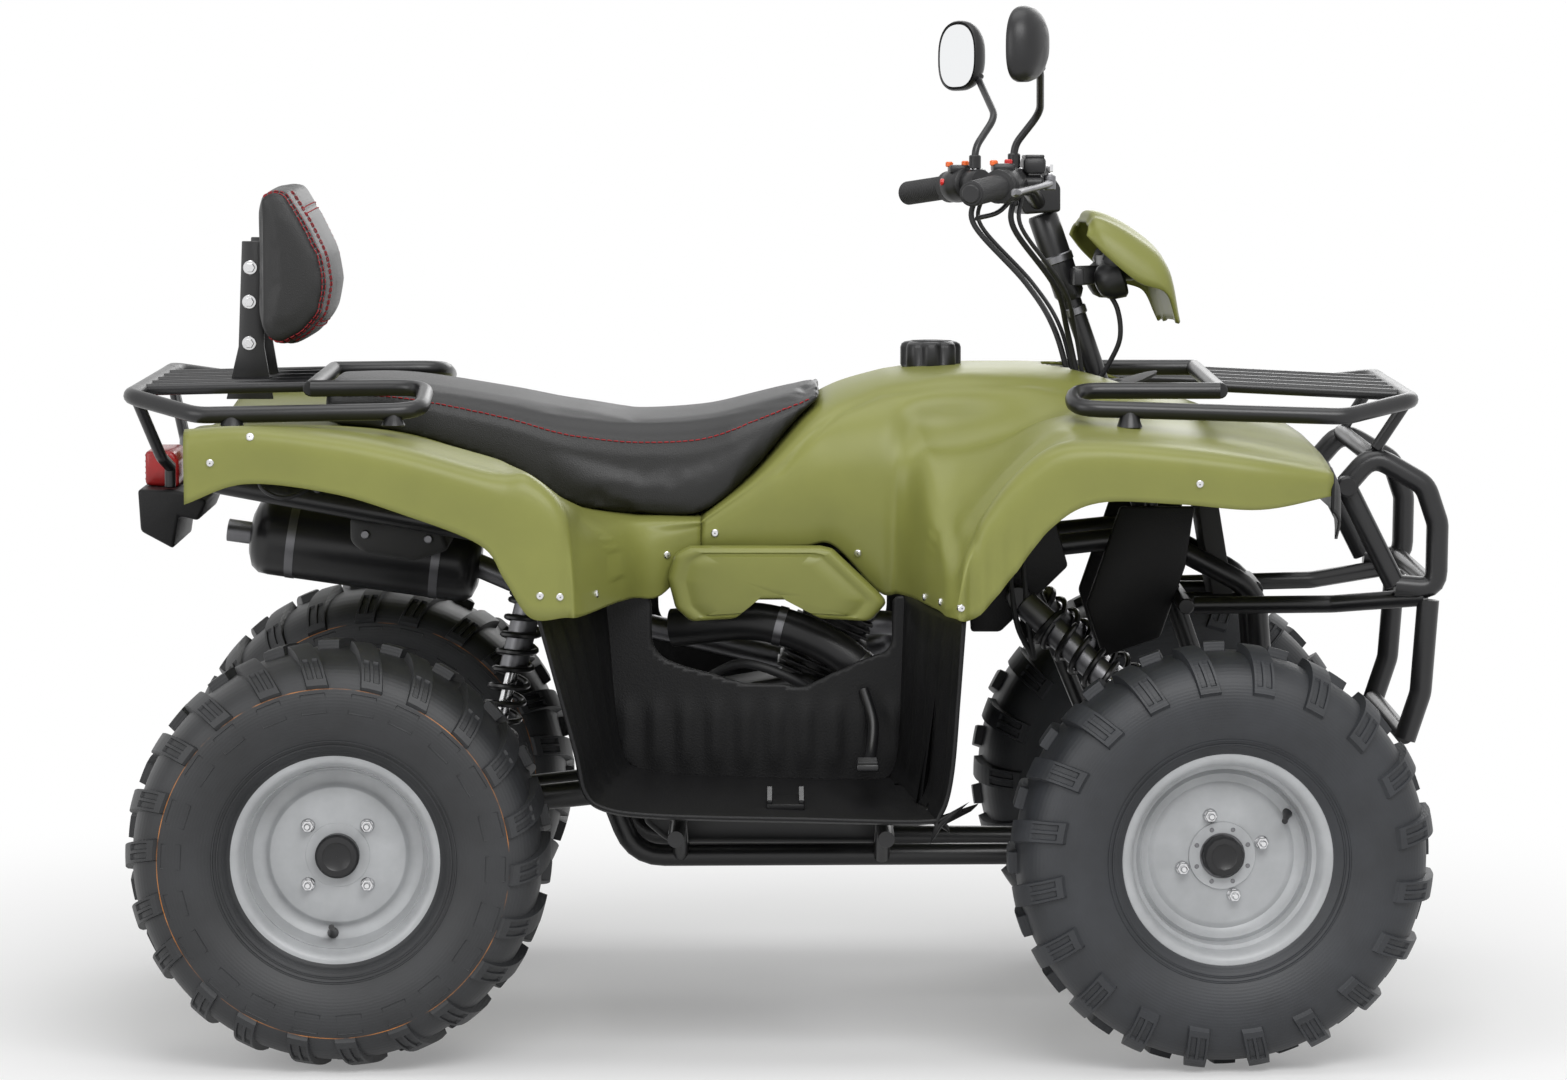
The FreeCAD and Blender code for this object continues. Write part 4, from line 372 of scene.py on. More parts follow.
def faced(side):
    return Matrix.Rotation(0 if side == LEFT else math.pi, 4, "Z")


def rear_wheel_place(side):
    return Matrix.Translation((REAR_AXLE_X, side * REAR_HALF_TRACK, TYRE_RADIUS)) @ faced(side)


def front_wheel_place(side):
    turn = Matrix.Rotation(REST_STEER, 4, kingpin_axis)
    arm = turn @ Vector((0, side * KINGPIN_INSET, 0))
    return Matrix.Translation(kingpin(side) + arm) @ turn @ faced(side)


# Forms: each is (points, faces)

class Stock:
    """The points and faces of one piece, gathered from many forms with a look for each."""

    def __init__(self, main_look=None, main_place=None):
        self.main_look = main_look
        self.main_place = main_place
        self.points = []
        self.faces = []
        self.looks = []
        self.face_looks = []

    def add(self, form, look_name=None, matrix=None):
        points, faces = form
        look_name = look_name or self.main_look
        matrix = matrix or self.main_place
        if look_name not in self.looks:
            self.looks.append(look_name)
        index = self.looks.index(look_name)
        base = len(self.points)
        self.points += [matrix @ Vector(p) if matrix else Vector(p) for p in points]
        self.faces += [tuple(base + corner for corner in face) for face in faces]
        self.face_looks += [index] * len(faces)

    def both(self, form, look_name=None, matrix=None):
        """Adds a form and its mirror image on the other side."""
        self.add(form, look_name, matrix)
        points, faces = form
        mirrored = [Vector((p[0], -p[1], p[2])) for p in points]
        self.add((mirrored, [tuple(reversed(f)) for f in faces]), look_name, matrix)

    def across(self, x, y, z, *sizes, **options):
        """A bar straight across, from the right side to the left."""
        self.rod(at(x, -y, z), at(x, y, z), *sizes, **options)

    def piece(self, name, body, replaced, slot_name, matrix=None, sharp=35):
        """Makes the object; matrix is the place of its own axes, which its textures follow."""
        mesh = bpy.data.meshes.new(name)
        mesh.from_pydata([tuple(p) for p in self.points], [], self.faces)
        for look_name in self.looks:
            mesh.materials.append(look[look_name])
        mesh.polygons.foreach_set("material_index", self.face_looks)
        recalculate(mesh)
        mesh.polygons.foreach_set("use_smooth", [True] * len(mesh.polygons))
        if sharp:
            mesh.set_sharp_from_angle(angle=math.radians(sharp))
        thing = link(bpy.data.objects.new(name, mesh))
        if matrix:
            thing.matrix_world = matrix
        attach(thing, body)
        if replaced:
            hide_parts(*replaced)
        return thing


def recalculate(mesh):
    shell = bmesh.new()
    shell.from_mesh(mesh)
    bmesh.ops.recalc_face_normals(shell, faces=shell.faces)
    shell.to_mesh(mesh)
    shell.free()
    mesh.update()


def rounded(points, bend, steps=5):
    """The run of points with its corners turned into arcs."""
    points = [Vector(p) for p in points]
    path = [points[0]]
    for before, corner, after in zip(points, points[1:], points[2:]):
        back = (before - corner).normalized()
        ahead = (after - corner).normalized()
        opening = back.angle(ahead)
        if math.pi - opening < 0.03:
            path.append(corner)
            continue
        room = 0.45 * min((before - corner).length, (after - corner).length)
        reach = min(bend / math.tan(opening / 2), room)
        start, end = corner + back * reach, corner + ahead * reach
        for index in range(steps + 1):
            t = index / steps
            path.append(start.lerp(corner, t).lerp(corner.lerp(end, t), t))
    path.append(points[-1])
    return path


def smoothed(points, steps=6, closed=False):
    """A Catmull-Rom curve through the points."""
    points = [Vector(p) for p in points]
    count = len(points)
    path = []
    spans = count if closed else count - 1
    for index in range(spans):
        if closed:
            a, b, c, d = (points[(index + k - 1) % count] for k in range(4))
        else:
            b, c = points[index], points[index + 1]
            a = points[index - 1] if index else b * 2 - c
            d = points[index + 2] if index + 2 < count else c * 2 - b
        for step in range(steps):
            t = step / steps
            path.append(
                0.5 * (2 * b + (c - a) * t + (2 * a - 5 * b + 4 * c - d) * t * t
                + (3 * b - a - 3 * c + d) * t ** 3))
    if not closed:
        path.append(points[-1])
    return path


def grid_form(rows, closed=False, capped=False):
    """A surface through rows of equally many points; closed joins each row's ends."""
    width = len(rows[0])
    points = [p for row in rows for p in row]
    faces = []
    span = width if closed else width - 1
    for r in range(len(rows) - 1):
        for c in range(span):
            after = (c + 1) % width
            faces.append((r * width + c, r * width + after, (r + 1) * width + after, (r + 1) * width + c))
    if capped:
        faces.append(tuple(range(width))[::-1])
        faces.append(tuple((len(rows) - 1) * width + c for c in range(width)))
    return (points, faces)


def tube_form(path, radius, sides=14, capped=True, radii=None, flatten=1.0):
    """A round or oval bar along a path; radii may give a radius at each point."""
    path = [Vector(p) for p in path]
    rows = []
    heading = (path[1] - path[0]).normalized()
    across = heading.cross(AXIS_Z)
    if across.length < 0.1:
        across = heading.cross(AXIS_X)
    across.normalize()
    for index, point in enumerate(path):
        before = path[max(index - 1, 0)]
        after = path[min(index + 1, len(path) - 1)]
        along = (after - before).normalized()
        across = (across - along * across.dot(along)).normalized()
        up = across.cross(along)
        reach = radii[index] if radii else radius
        rows.append(
            [point + across * (reach * math.cos(2 * math.pi * k / sides))
            + up * (reach * flatten * math.sin(2 * math.pi * k / sides)) for k in range(sides)])
    return grid_form(rows, closed=True, capped=capped)


def turned_form(start, axis, rows, sides, capped=True, flatten=1.0):
    """A body turned round an axis; rows are (distance from its start, radius)."""
    path = [start + axis * reach for reach, _ in rows]
    return tube_form(path, 0, sides, capped, [radius for _, radius in rows], flatten)


def bent_tube(points, radius, bend, sides=14):
    return tube_form(rounded(points, bend), radius, sides)


def rod_form(start, end, radius, sides=16, edge=0.0015, end_radius=None):
    """A straight bar with softened ends."""
    start, end = Vector(start), Vector(end)
    along = (end - start).normalized()
    last = radius if end_radius is None else end_radius
    edge = min(edge, (end - start).length / 3)
    path = [start, start + along * edge, end - along * edge, end]
    return tube_form(path, radius, sides, radii=[radius - edge, radius, last, last - edge])


def on_ring(radius, y, angle):
    """A point round the Y axis."""
    return Vector((radius * math.sin(angle), y, radius * math.cos(angle)))


def lathe_form(profile, sides, closed=False):
    """(radius, y) points taken round the Y axis."""
    rows = [[on_ring(radius, y, 2 * math.pi * k / sides) for k in range(sides)] for radius, y in profile]
    if closed:
        rows.append(rows[0])
    return grid_form(rows, closed=True)


def slab_form(outline, reach, edge=0.002, steps=2):
    """A flat outline pushed along a vector, with its edges rounded."""
    shell = bmesh.new()
    near = [shell.verts.new(Vector(p)) for p in outline]
    face = shell.faces.new(near)
    made = bmesh.ops.extrude_face_region(shell, geom=[face])
    moved = [item for item in made["geom"] if isinstance(item, bmesh.types.BMVert)]
    bmesh.ops.translate(shell, verts=moved, vec=Vector(reach))
    bmesh.ops.recalc_face_normals(shell, faces=shell.faces)
    if edge:
        bmesh.ops.bevel(
            shell, geom=list(shell.edges), offset=edge, segments=steps, profile=0.5, affect="EDGES",
            clamp_overlap=True)
    shell.verts.index_update()
    form = ([v.co.copy() for v in shell.verts], [tuple(v.index for v in f.verts) for f in shell.faces])
    shell.free()
    return form


def box_form(centre, size, edge=0.002, matrix=None):
    x, y, z = (s / 2 for s in size)
    outline = [(-x, -y, -z), (x, -y, -z), (x, y, -z), (-x, y, -z)]
    points, faces = slab_form(outline, (0, 0, 2 * z), edge)
    shift = Matrix.Translation(centre) @ (matrix or Matrix())
    return ([shift @ p for p in points], faces)


def side_slab(shares, y_low, y_high, edge=0.002, steps=2):
    """An outline of (x, z) shares seen from the side, between two distances across."""
    return slab_form([(x * WB, y_low, z * DH) for x, z in shares], (0, y_high - y_low, 0), edge, steps)


def hex_nut(centre, axis, reach, height, sides=6):
    return rod_form(
        centre, Vector(centre) + Vector(axis).normalized() * height, reach, sides, edge=0.0008)


def shorthand(make_form):
    """A method of Stock that makes a form and adds it."""

    def method(stock, *sizes, look_name=None, place=None, **options):
        stock.add(make_form(*sizes, **options), look_name, place)

    return method


Stock.rod = shorthand(rod_form)
Stock.tube = shorthand(tube_form)
Stock.lathe = shorthand(lathe_form)
Stock.turned = shorthand(turned_form)
Stock.slab = shorthand(slab_form)
Stock.box = shorthand(box_form)
Stock.side = shorthand(side_slab)
Stock.nut = shorthand(hex_nut)
Stock.grid = shorthand(grid_form)


def route(shares):
    return [at(x, y, z) for x, y, z in shares]


# Wheels

TYRE_STEPS, RIM_STEPS = 132, 120


def profile_curve(shares):
    return [(p.x, p.y) for p in smoothed([Vector((r, y, 0)) for r, y in shares], 6)]


def arc_lengths(profile):
    lengths = [0.0]
    for (r0, y0), (r1, y1) in zip(profile, profile[1:]):
        lengths.append(lengths[-1] + math.hypot(r1 - r0, y1 - y0))
    return lengths


def along_profile(profile, lengths, s):
    """Point and outward normal of the half profile at a distance from its crown."""
    s = min(max(s, 0.0), lengths[-1] - 1e-06)
    index = max(i for i in range(len(lengths) - 1) if lengths[i] <= s)
    t = (s - lengths[index]) / (lengths[index + 1] - lengths[index])
    r = profile[index][0] * (1 - t) + profile[index + 1][0] * t
    y = profile[index][1] * (1 - t) + profile[index + 1][1] * t
    run = Vector((profile[index + 1][0] - profile[index][0], profile[index + 1][1] - profile[index][1]))
    run.normalize()
    return (r, y, -run.y * -1, run.x * -1)


def patch_form(profile, lengths, side, centre, s_samples, t_samples, width, height, slant):
    """A raised patch on the tyre: height(s, t) over the carcass, width across at distance s."""
    rows = []
    for s in s_samples:
        r, y, normal_r, normal_y = along_profile(profile, lengths, s)
        row = []
        for t in t_samples:
            lift = height(s, t)
            radius = r + normal_r * lift
            across = y + normal_y * lift
            angle = centre + slant(s) + (t - 0.5) * width(s) / r
            row.append(on_ring(radius, side * across, angle))
        rows.append(row)
    return grid_form(rows)


T_EDGES = (0.0, 0.07, 0.17, 0.2, 0.41, 0.44, 0.56, 0.59, 0.8, 0.83, 0.93, 1.0)


def lug_form(profile, lengths, side, centre, s_end, slant_share, lug_width):
    """One slanted lug with two pockets on its shoulder."""
    s_start = 0.004
    pocket_start, pocket_end = s_end - 0.046, s_end - 0.014
    samples = [s_start, s_start + 0.003]
    steps = 7
    for k in range(1, steps):
        samples.append(s_start + 0.003 + (pocket_start - 0.002 - s_start) * k / steps)
    samples += [pocket_start - 0.001, pocket_start + 0.001]
    for k in range(1, 4):
        samples.append(pocket_start + (pocket_end - pocket_start) * k / 4)
    samples += [pocket_end - 0.001, pocket_end + 0.001, s_end - 0.005, s_end]

    def height(s, t):
        if t in (0.0, 1.0) or s in (s_start, s_end):
            return -0.002
        rise = 0.0115 - 0.0055 * min(1.0, max(0.0, (s - 0.03) / 0.07))
        if pocket_start < s < pocket_end and (0.18 < t < 0.43 or 0.57 < t < 0.82):
            rise -= 0.003
        return rise

    def slant(s):
        return slant_share * (0.06 - s) / 0.268

    return patch_form(
        profile, lengths, side, centre, samples, T_EDGES, lambda s: lug_width, height, slant)


def outline_form(profile, lengths, side, centre, s_low, s_high, width):
    """A thin moulded rectangle on the sidewall."""
    samples = [s_low, s_low + 0.0008, s_low + 0.0016, s_high - 0.0016, s_high - 0.0008, s_high]
    edges = (0.0, 0.02, 0.05, 0.95, 0.98, 1.0)

    def height(s, t):
        on_line = t in (0.02, 0.98) or s in (samples[1], samples[4])
        inside = samples[0] < s < samples[5] and 0 < t < 1
        return 0.0009 if on_line and inside else -0.0002

    return patch_form(
        profile, lengths, side, centre, samples, edges, lambda s: width, height, lambda s: 0.0)


REAR_PROFILE = [
    (0.2685, 0.0), (0.2682, 0.04), (0.265, 0.072), (0.256, 0.098), (0.24, 0.114), (0.215, 0.1215),
    (0.19, 0.12), (0.166, 0.11), (0.148, 0.096), (0.14, 0.086), (0.129, 0.079)]
FRONT_PROFILE = [
    (0.2685, 0.0), (0.268, 0.03), (0.264, 0.052), (0.254, 0.07), (0.238, 0.082), (0.214, 0.0885),
    (0.19, 0.087), (0.166, 0.079), (0.148, 0.068), (0.14, 0.062), (0.129, 0.057)]


def build_tyre(name, half_profile, count, step_share, rubber_look, body, node, matrix, outlined):
    half = profile_curve(half_profile)
    lengths = arc_lengths(half)
    full = [(r, -y) for r, y in half[::-1]] + half[1:]
    stock = Stock(rubber_look)
    stock.lathe(
        full + [(0.1275, half_profile[-1][1]), (0.1275, -half_profile[-1][1])], TYRE_STEPS, closed=True)
    for radius in (0.1535, 0.16):
        row = min(half, key=lambda p: abs(p[0] - radius))
        for side in (RIGHT, LEFT):
            ring = [
                (row[0] - 0.0016, side * (row[1] - 0.0012)), (row[0] - 0.0006, side * (row[1] + 0.0014)),
                (row[0] + 0.0008, side * (row[1] + 0.0016)), (row[0] + 0.002, side * (row[1] - 0.0004))]
            stock.lathe(ring, TYRE_STEPS)
    step = 2 * math.pi / count
    s_end = next(
        length for (r, y), length in zip(half, lengths) if r < (0.232 if outlined else 0.219) and y > 0)
    s_out = next(length for (r, y), length in zip(half, lengths) if r < 0.202 and y > 0)
    for index in range(count):
        shift = (step_share - 0.5) * step if index % 2 else 0
        for side, offset in ((RIGHT, 0.0), (LEFT, 0.5 * step)):
            centre = index * step + offset + shift
            stock.add(lug_form(half, lengths, side, centre, s_end, 0.24 if outlined else 0.16, 0.031))
            if outlined:
                stock.add(outline_form(half, lengths, side, centre - 0.03, s_end + 0.003, s_out, 0.034))
    stock.piece(name, body, [node], "tyre", matrix, sharp=32)


def build_rim(name, width, disc_y, front, body, replaced, matrix):
    """Pressed steel wheel with hub ring, cap, nuts and valve, its outer side towards +Y."""
    edge = 0.31 * width + SEAT_GAP
    stock = Stock("wheel_silver")
    lip = [
        (0.1268, edge - 0.004), (0.1268, edge), (0.1335, edge + 0.0002), (0.1385, edge + 0.0022),
        (0.14, edge + 0.005), (0.1385, edge + 0.0062), (0.134, edge + 0.006), (0.129, edge + 0.004),
        (0.1255, edge - 0.001), (0.1235, edge - 0.006)]
    if front:
        inner = [
            (0.1225, edge - 0.012), (0.1215, edge - 0.02), (0.1165, edge - 0.024), (0.1155, edge - 0.03),
            (0.114, edge - 0.04), (0.109, disc_y + 0.012), (0.104, disc_y + 0.004),
            (0.097, disc_y + 0.0005), (0.092, disc_y + 0.003), (0.088, disc_y + 0.004),
            (0.05, disc_y + 0.004), (0.046, disc_y + 0.006), (0.032, disc_y + 0.006),
            (0.032, disc_y - 0.004)]
    else:
        inner = [
            (0.1222, edge - 0.01), (0.1205, edge - 0.013), (0.119, edge - 0.012), (0.118, edge - 0.014),
            (0.1165, edge - 0.024), (0.112, disc_y + 0.002), (0.104, disc_y - 0.004),
            (0.0965, disc_y - 0.0045), (0.093, disc_y - 0.002), (0.0905, disc_y + 0.003),
            (0.088, disc_y + 0.0046), (0.05, disc_y + 0.0046), (0.046, disc_y + 0.005),
            (0.032, disc_y + 0.005), (0.032, disc_y - 0.004)]
    back = [
        (0.088, disc_y - 0.006), (0.104, disc_y - 0.006), (0.119, -edge + 0.01), (0.124, -edge - 0.004),
        (0.1385, -edge - 0.006), (0.14, -edge - 0.0045), (0.1385, -edge), (0.1268, -edge),
        (0.1268, -edge + 0.004)]
    stock.lathe(lip + inner + back, RIM_STEPS, closed=True)
    face = disc_y + (0.006 if front else 0.005)
    if front:
        stock.lathe(
            [(0.0455, face - 0.002), (0.044, face + 0.0035), (0.03, face + 0.004),
            (0.0295, face - 0.002)], 60)
        for k in range(8):
            angle = 2 * math.pi * (k + 0.5) / 8
            spot = on_ring(0.0365, face + 0.0042, angle)
            stock.rod(spot - AXIS_Y * 0.002, spot + AXIS_Y * 0.0002, 0.0032, 12, look_name="dark_steel")
    else:
        stock.lathe(
            [(0.043, face - 0.002), (0.042, face + 0.0012), (0.029, face + 0.0015),
            (0.0285, face - 0.002)], 60)
    cap_sides = 12 if front else 48
    cap_reach = 0.0275 if front else 0.029
    cap = [
        (cap_reach, face - 0.002), (cap_reach, face + 0.016), (cap_reach - 0.003, face + 0.0195),
        (cap_reach - 0.01, face + 0.0205), (cap_reach - 0.012, face + 0.019), (0.0004, face + 0.0185)]
    stock.lathe(cap, cap_sides, look_name="smooth_black")
    for k in range(4):
        angle = 2 * math.pi * k / 4 + (math.radians(17) if front else math.radians(45))
        spot = on_ring(0.055, face - 0.003, angle)
        stock.rod(spot, spot + AXIS_Y * 0.006, 0.0095, 24, look_name="steel")
        stock.nut(spot + AXIS_Y * 0.006, AXIS_Y, 0.0082, 0.008, look_name="steel")
        stock.rod(spot + AXIS_Y * 0.014, spot + AXIS_Y * 0.021, 0.0046, 14, look_name="steel")
    valve_angle = math.radians(-58) if front else math.radians(176)
    foot, tip = on_ring(0.104, disc_y + 0.002, valve_angle), on_ring(0.091, disc_y + 0.04, valve_angle)
    stock.tube(
        [foot, foot.lerp(tip, 0.3), foot.lerp(tip, 0.72), tip], 0.005, 14,
        radii=[0.0075, 0.0048, 0.004, 0.004], look_name="smooth_black")
    stock.piece(name, body, replaced, "wheel_silver", matrix, sharp=40)


for side, side_name in SIDES:
    build_tyre(
        "rear_tyre_skin_" + side_name, REAR_PROFILE, 22, 0.44, "rear_rubber", "rear_wheels",
        "rear_tyre_" + side_name, rear_wheel_place(side), True)
    build_tyre(
        "front_tyre_skin_" + side_name, FRONT_PROFILE, 20, 0.5, "front_rubber",
        "front_wheel_" + side_name, "front_tyre_" + side_name, front_wheel_place(side), False)
    build_rim(
        "rear_wheel_disc_" + side_name, 0.25, REAR_DISC_Y, False, "rear_wheels",
        ["rear_rim_" + side_name], rear_wheel_place(side))
    build_rim(
        "front_wheel_disc_" + side_name, 0.18, FRONT_DISC_Y, True, "front_wheel_" + side_name,
        ["front_rim_" + side_name], front_wheel_place(side))


# Bodywork: the two mouldings

FRONT_BODY_SHARES = [
    (-0.104, [(0.376, 0.733), (0.38, 0.742), (0.382, 0.751), (0.38, 0.76), (0.376, 0.769), (0.36, 0.778),
    (0.22, 0.782), (0.0, 0.782)]),
    (-0.043, [(0.376, 0.736), (0.384, 0.758), (0.388, 0.78), (0.388, 0.802), (0.38, 0.822),
    (0.356, 0.838), (0.22, 0.844), (0.0, 0.846)]),
    (0.017, [(0.376, 0.738), (0.388, 0.772), (0.396, 0.809), (0.394, 0.847), (0.376, 0.883),
    (0.33, 0.913), (0.2, 0.931), (0.0, 0.937)]),
    (0.052, [(0.372, 0.738), (0.392, 0.778), (0.4, 0.822), (0.392, 0.869), (0.356, 0.916), (0.29, 0.944),
    (0.17, 0.962), (0.0, 0.968)]),
    (0.104, [(0.372, 0.669), (0.396, 0.733), (0.408, 0.8), (0.4, 0.867), (0.36, 0.924), (0.288, 0.961),
    (0.17, 0.982), (0.0, 0.988)]),
    (0.128, [(0.392, 0.6664), (0.408, 0.722), (0.416, 0.789), (0.408, 0.856), (0.362, 0.924),
    (0.288, 0.966), (0.17, 0.988), (0.0, 0.993)]),
    (0.15, [(0.56, 0.6664), (0.57, 0.711), (0.52, 0.778), (0.45, 0.85), (0.366, 0.926), (0.288, 0.972),
    (0.17, 0.992), (0.0, 0.998)]),
    (0.18, [(1.0, 0.6664), (1.0, 0.689), (0.86, 0.738), (0.62, 0.8), (0.42, 0.89), (0.288, 0.975),
    (0.17, 0.995), (0.0, 0.999)]),
    (0.21, [(1.01, 0.6664), (1.01, 0.782), (0.86, 0.802), (0.62, 0.831), (0.43, 0.894), (0.288, 0.977),
    (0.17, 0.997), (0.0, 1.0)]),
    (0.25, [(1.01, 0.724), (1.01, 0.853), (0.86, 0.869), (0.62, 0.878), (0.44, 0.911), (0.288, 0.977),
    (0.17, 0.997), (0.0, 1.001)]),
    (0.296, [(1.01, 0.798), (1.01, 0.901), (0.86, 0.916), (0.64, 0.924), (0.45, 0.936), (0.292, 0.976),
    (0.17, 0.996), (0.0, 1.001)]),
    (0.348, [(1.01, 0.833), (1.01, 0.911), (0.86, 0.924), (0.64, 0.933), (0.45, 0.942), (0.3, 0.969),
    (0.17, 0.989), (0.0, 0.997)]),
    (0.439, [(1.01, 0.831), (1.01, 0.903), (0.86, 0.916), (0.64, 0.922), (0.45, 0.928), (0.3, 0.944),
    (0.17, 0.954), (0.0, 0.96)]),
    (0.53, [(1.01, 0.823), (1.006, 0.889), (0.85, 0.9), (0.62, 0.908), (0.43, 0.911), (0.3, 0.914),
    (0.17, 0.918), (0.0, 0.92)]),
    (0.614, [(0.96, 0.841), (0.956, 0.873), (0.8, 0.88), (0.6, 0.886), (0.42, 0.888), (0.3, 0.889),
    (0.17, 0.89), (0.0, 0.891)])]
REAR_BODY_SHARES = [
    (-0.683, [(1.0, 0.83), (1.0, 0.93), (0.84, 0.93), (0.6, 0.927), (0.38, 0.92), (0.2, 0.914),
    (0.0, 0.914)]),
    (-0.614, [(1.006, 0.86), (1.006, 0.936), (0.84, 0.936), (0.6, 0.929), (0.38, 0.92), (0.2, 0.914),
    (0.0, 0.914)]),
    (-0.518, [(1.006, 0.847), (1.006, 0.922), (0.84, 0.928), (0.6, 0.926), (0.38, 0.918), (0.2, 0.912),
    (0.0, 0.912)]),
    (-0.439, [(1.006, 0.817), (1.006, 0.902), (0.84, 0.912), (0.6, 0.912), (0.38, 0.904), (0.2, 0.899),
    (0.0, 0.899)]),
    (-0.35, [(1.006, 0.772), (1.006, 0.87), (0.84, 0.88), (0.6, 0.883), (0.38, 0.867), (0.2, 0.861),
    (0.0, 0.861)]),
    (-0.322, [(1.006, 0.721), (1.006, 0.861), (0.84, 0.869), (0.6, 0.869), (0.38, 0.849), (0.2, 0.844),
    (0.0, 0.844)]),
    (-0.293, [(1.006, 0.6664), (1.006, 0.856), (0.84, 0.858), (0.6, 0.85), (0.38, 0.829), (0.2, 0.822),
    (0.0, 0.822)]),
    (-0.254, [(1.0, 0.6664), (1.0, 0.808), (0.84, 0.817), (0.6, 0.809), (0.38, 0.802), (0.2, 0.794),
    (0.0, 0.794)]),
    (-0.235, [(0.96, 0.6664), (0.93, 0.711), (0.8, 0.767), (0.6, 0.783), (0.38, 0.791), (0.2, 0.79),
    (0.0, 0.79)]),
    (-0.187, [(0.52, 0.6664), (0.524, 0.7), (0.5, 0.739), (0.45, 0.767), (0.38, 0.781), (0.2, 0.783),
    (0.0, 0.783)]),
    (-0.15, [(0.41, 0.6664), (0.42, 0.7), (0.42, 0.735), (0.41, 0.76), (0.378, 0.779), (0.2, 0.782),
    (0.0, 0.782)]),
    (-0.1045, [(0.38, 0.733), (0.384, 0.742), (0.386, 0.756), (0.386, 0.767), (0.376, 0.778),
    (0.2, 0.781), (0.0, 0.781)])]


def bell(value, centre, reach, power=2):
    return math.exp(-abs((value - centre) / reach) ** power)


TANK_CREASE = [
    (-0.013, 0.763), (0.022, 0.807), (0.068, 0.845), (0.122, 0.868), (0.204, 0.879), (0.326, 0.882),
    (0.421, 0.869)]


def line_distance(x, z, line):
    """How far a point of the side view lies from a chain of points."""
    nearest = 1.0
    for (x0, z0), (x1, z1) in zip(line, line[1:]):
        run_x, run_z = x1 - x0, z1 - z0
        share = ((x - x0) * run_x + (z - z0) * run_z) / (run_x ** 2 + run_z ** 2)
        share = min(1.0, max(0.0, share))
        nearest = min(nearest, math.hypot(x - x0 - share * run_x, z - z0 - share * run_z))
    return nearest


def front_relief(p):
    """How far the moulding's surface is pressed in, at a point of its right or left side."""
    depth = 0.0
    across = abs(p.y)
    if 0.06 < across < 0.24:
        on_side = min(1.0, (0.24 - across) / 0.035)
        hollow = bell(p.x, 0.266, 0.114, 8) * bell(p.z, 0.826 + 0.05 * (p.x - 0.25), 0.032, 3)
        depth += 0.018 * hollow * on_side
        depth += 0.0028 * bell(line_distance(p.x, p.z, TANK_CREASE), 0.0, 0.0045) * on_side
    if 0.3 < across < 0.49 and p.x < 0.42:
        depth += 0.014 * bell(across, 0.425, 0.042, 4) * bell(p.x, 0.285, 0.075, 4)
    if across > 0.33 and p.z < 0.74 and (p.x > 0.13):
        fade = bell(p.z, 0.64, 0.075, 4)
        depth += 0.0035 * fade * (0.5 - 0.5 * math.cos(2 * math.pi * (p.x - 0.13) / 0.024))
    return depth


def rear_relief(p):
    across = abs(p.y)
    depth = 0.0
    if across > 0.3 and p.z < 0.74 and (-0.33 < p.x < -0.15):
        depth += 0.005 * bell(p.z, 0.66, 0.06, 4) * bell(p.x, -0.235, 0.03)
    return depth


def dense_rows(shares, steps=9):
    rows = []
    for x, profile in shares:
        right = [at(x, -y, z) for y, z in profile]
        left = [at(x, y, z) for y, z in profile[-2::-1]]
        rows.append(smoothed(right + left, steps))
    columns = [smoothed([row[k] for row in rows], steps) for k in range(len(rows[0]))]
    return [list(row) for row in zip(*columns)]


def pressed(rows, relief):
    """Moves each point of a grid in along its normal."""
    made = []
    for r, row in enumerate(rows):
        line = []
        for c, point in enumerate(row):
            depth = relief(point)
            if depth > 1e-05:
                along = rows[min(r + 1, len(rows) - 1)][c] - rows[max(r - 1, 0)][c]
                across = row[min(c + 1, len(row) - 1)] - row[max(c - 1, 0)]
                normal = along.cross(across).normalized()
                inward = Vector((0, 0, 0.7)) - Vector((0, point.y, point.z))
                if normal.dot(inward) < 0:
                    normal = -normal
                point = point + normal * depth
            line.append(point)
        made.append(line)
    return made


def solid_skin(thing, wall):
    """Gives a sheet its thickness, inward, and keeps it as plain mesh."""
    modifier = thing.modifiers.new("wall", "SOLIDIFY")
    modifier.thickness = wall
    modifier.offset = -1
    modifier.use_even_offset = True
    apply_modifiers(thing)


def apply_modifiers(thing):
    graph = bpy.context.evaluated_depsgraph_get()
    made = bpy.data.meshes.new_from_object(thing.evaluated_get(graph))
    thing.modifiers.clear()
    old = thing.data
    thing.data = made
    bpy.data.meshes.remove(old)


def outward(mesh, inside):
    """Turns a sheet so that its faces look away from a point or line inside."""
    total = 0.0
    for polygon in mesh.polygons:
        total += polygon.normal.dot(polygon.center - inside(polygon.center)) * polygon.area
    if total < 0:
        mesh.flip_normals()


def build_skin(
        name, shares, relief, node, look_name="olive", slot_name="olive_plastic", wall=0.004, hole=None):
    rows = pressed(dense_rows(shares), relief)
    points, faces = grid_form(rows)
    if hole:
        faces = [f for f in faces if not hole(sum((points[i] for i in f), Vector()) / len(f))]
    stock = Stock(look_name)
    stock.add((points, faces))
    thing = stock.piece(name, "chassis", [node], slot_name, sharp=50)
    outward(thing.data, lambda c: Vector((c.x, 0, 0.7)))
    solid_skin(thing, wall)
    return thing


def column_hole(point):
    offset = point - column_point
    away = offset - column_axis * offset.dot(column_axis)
    return away.length < 0.07


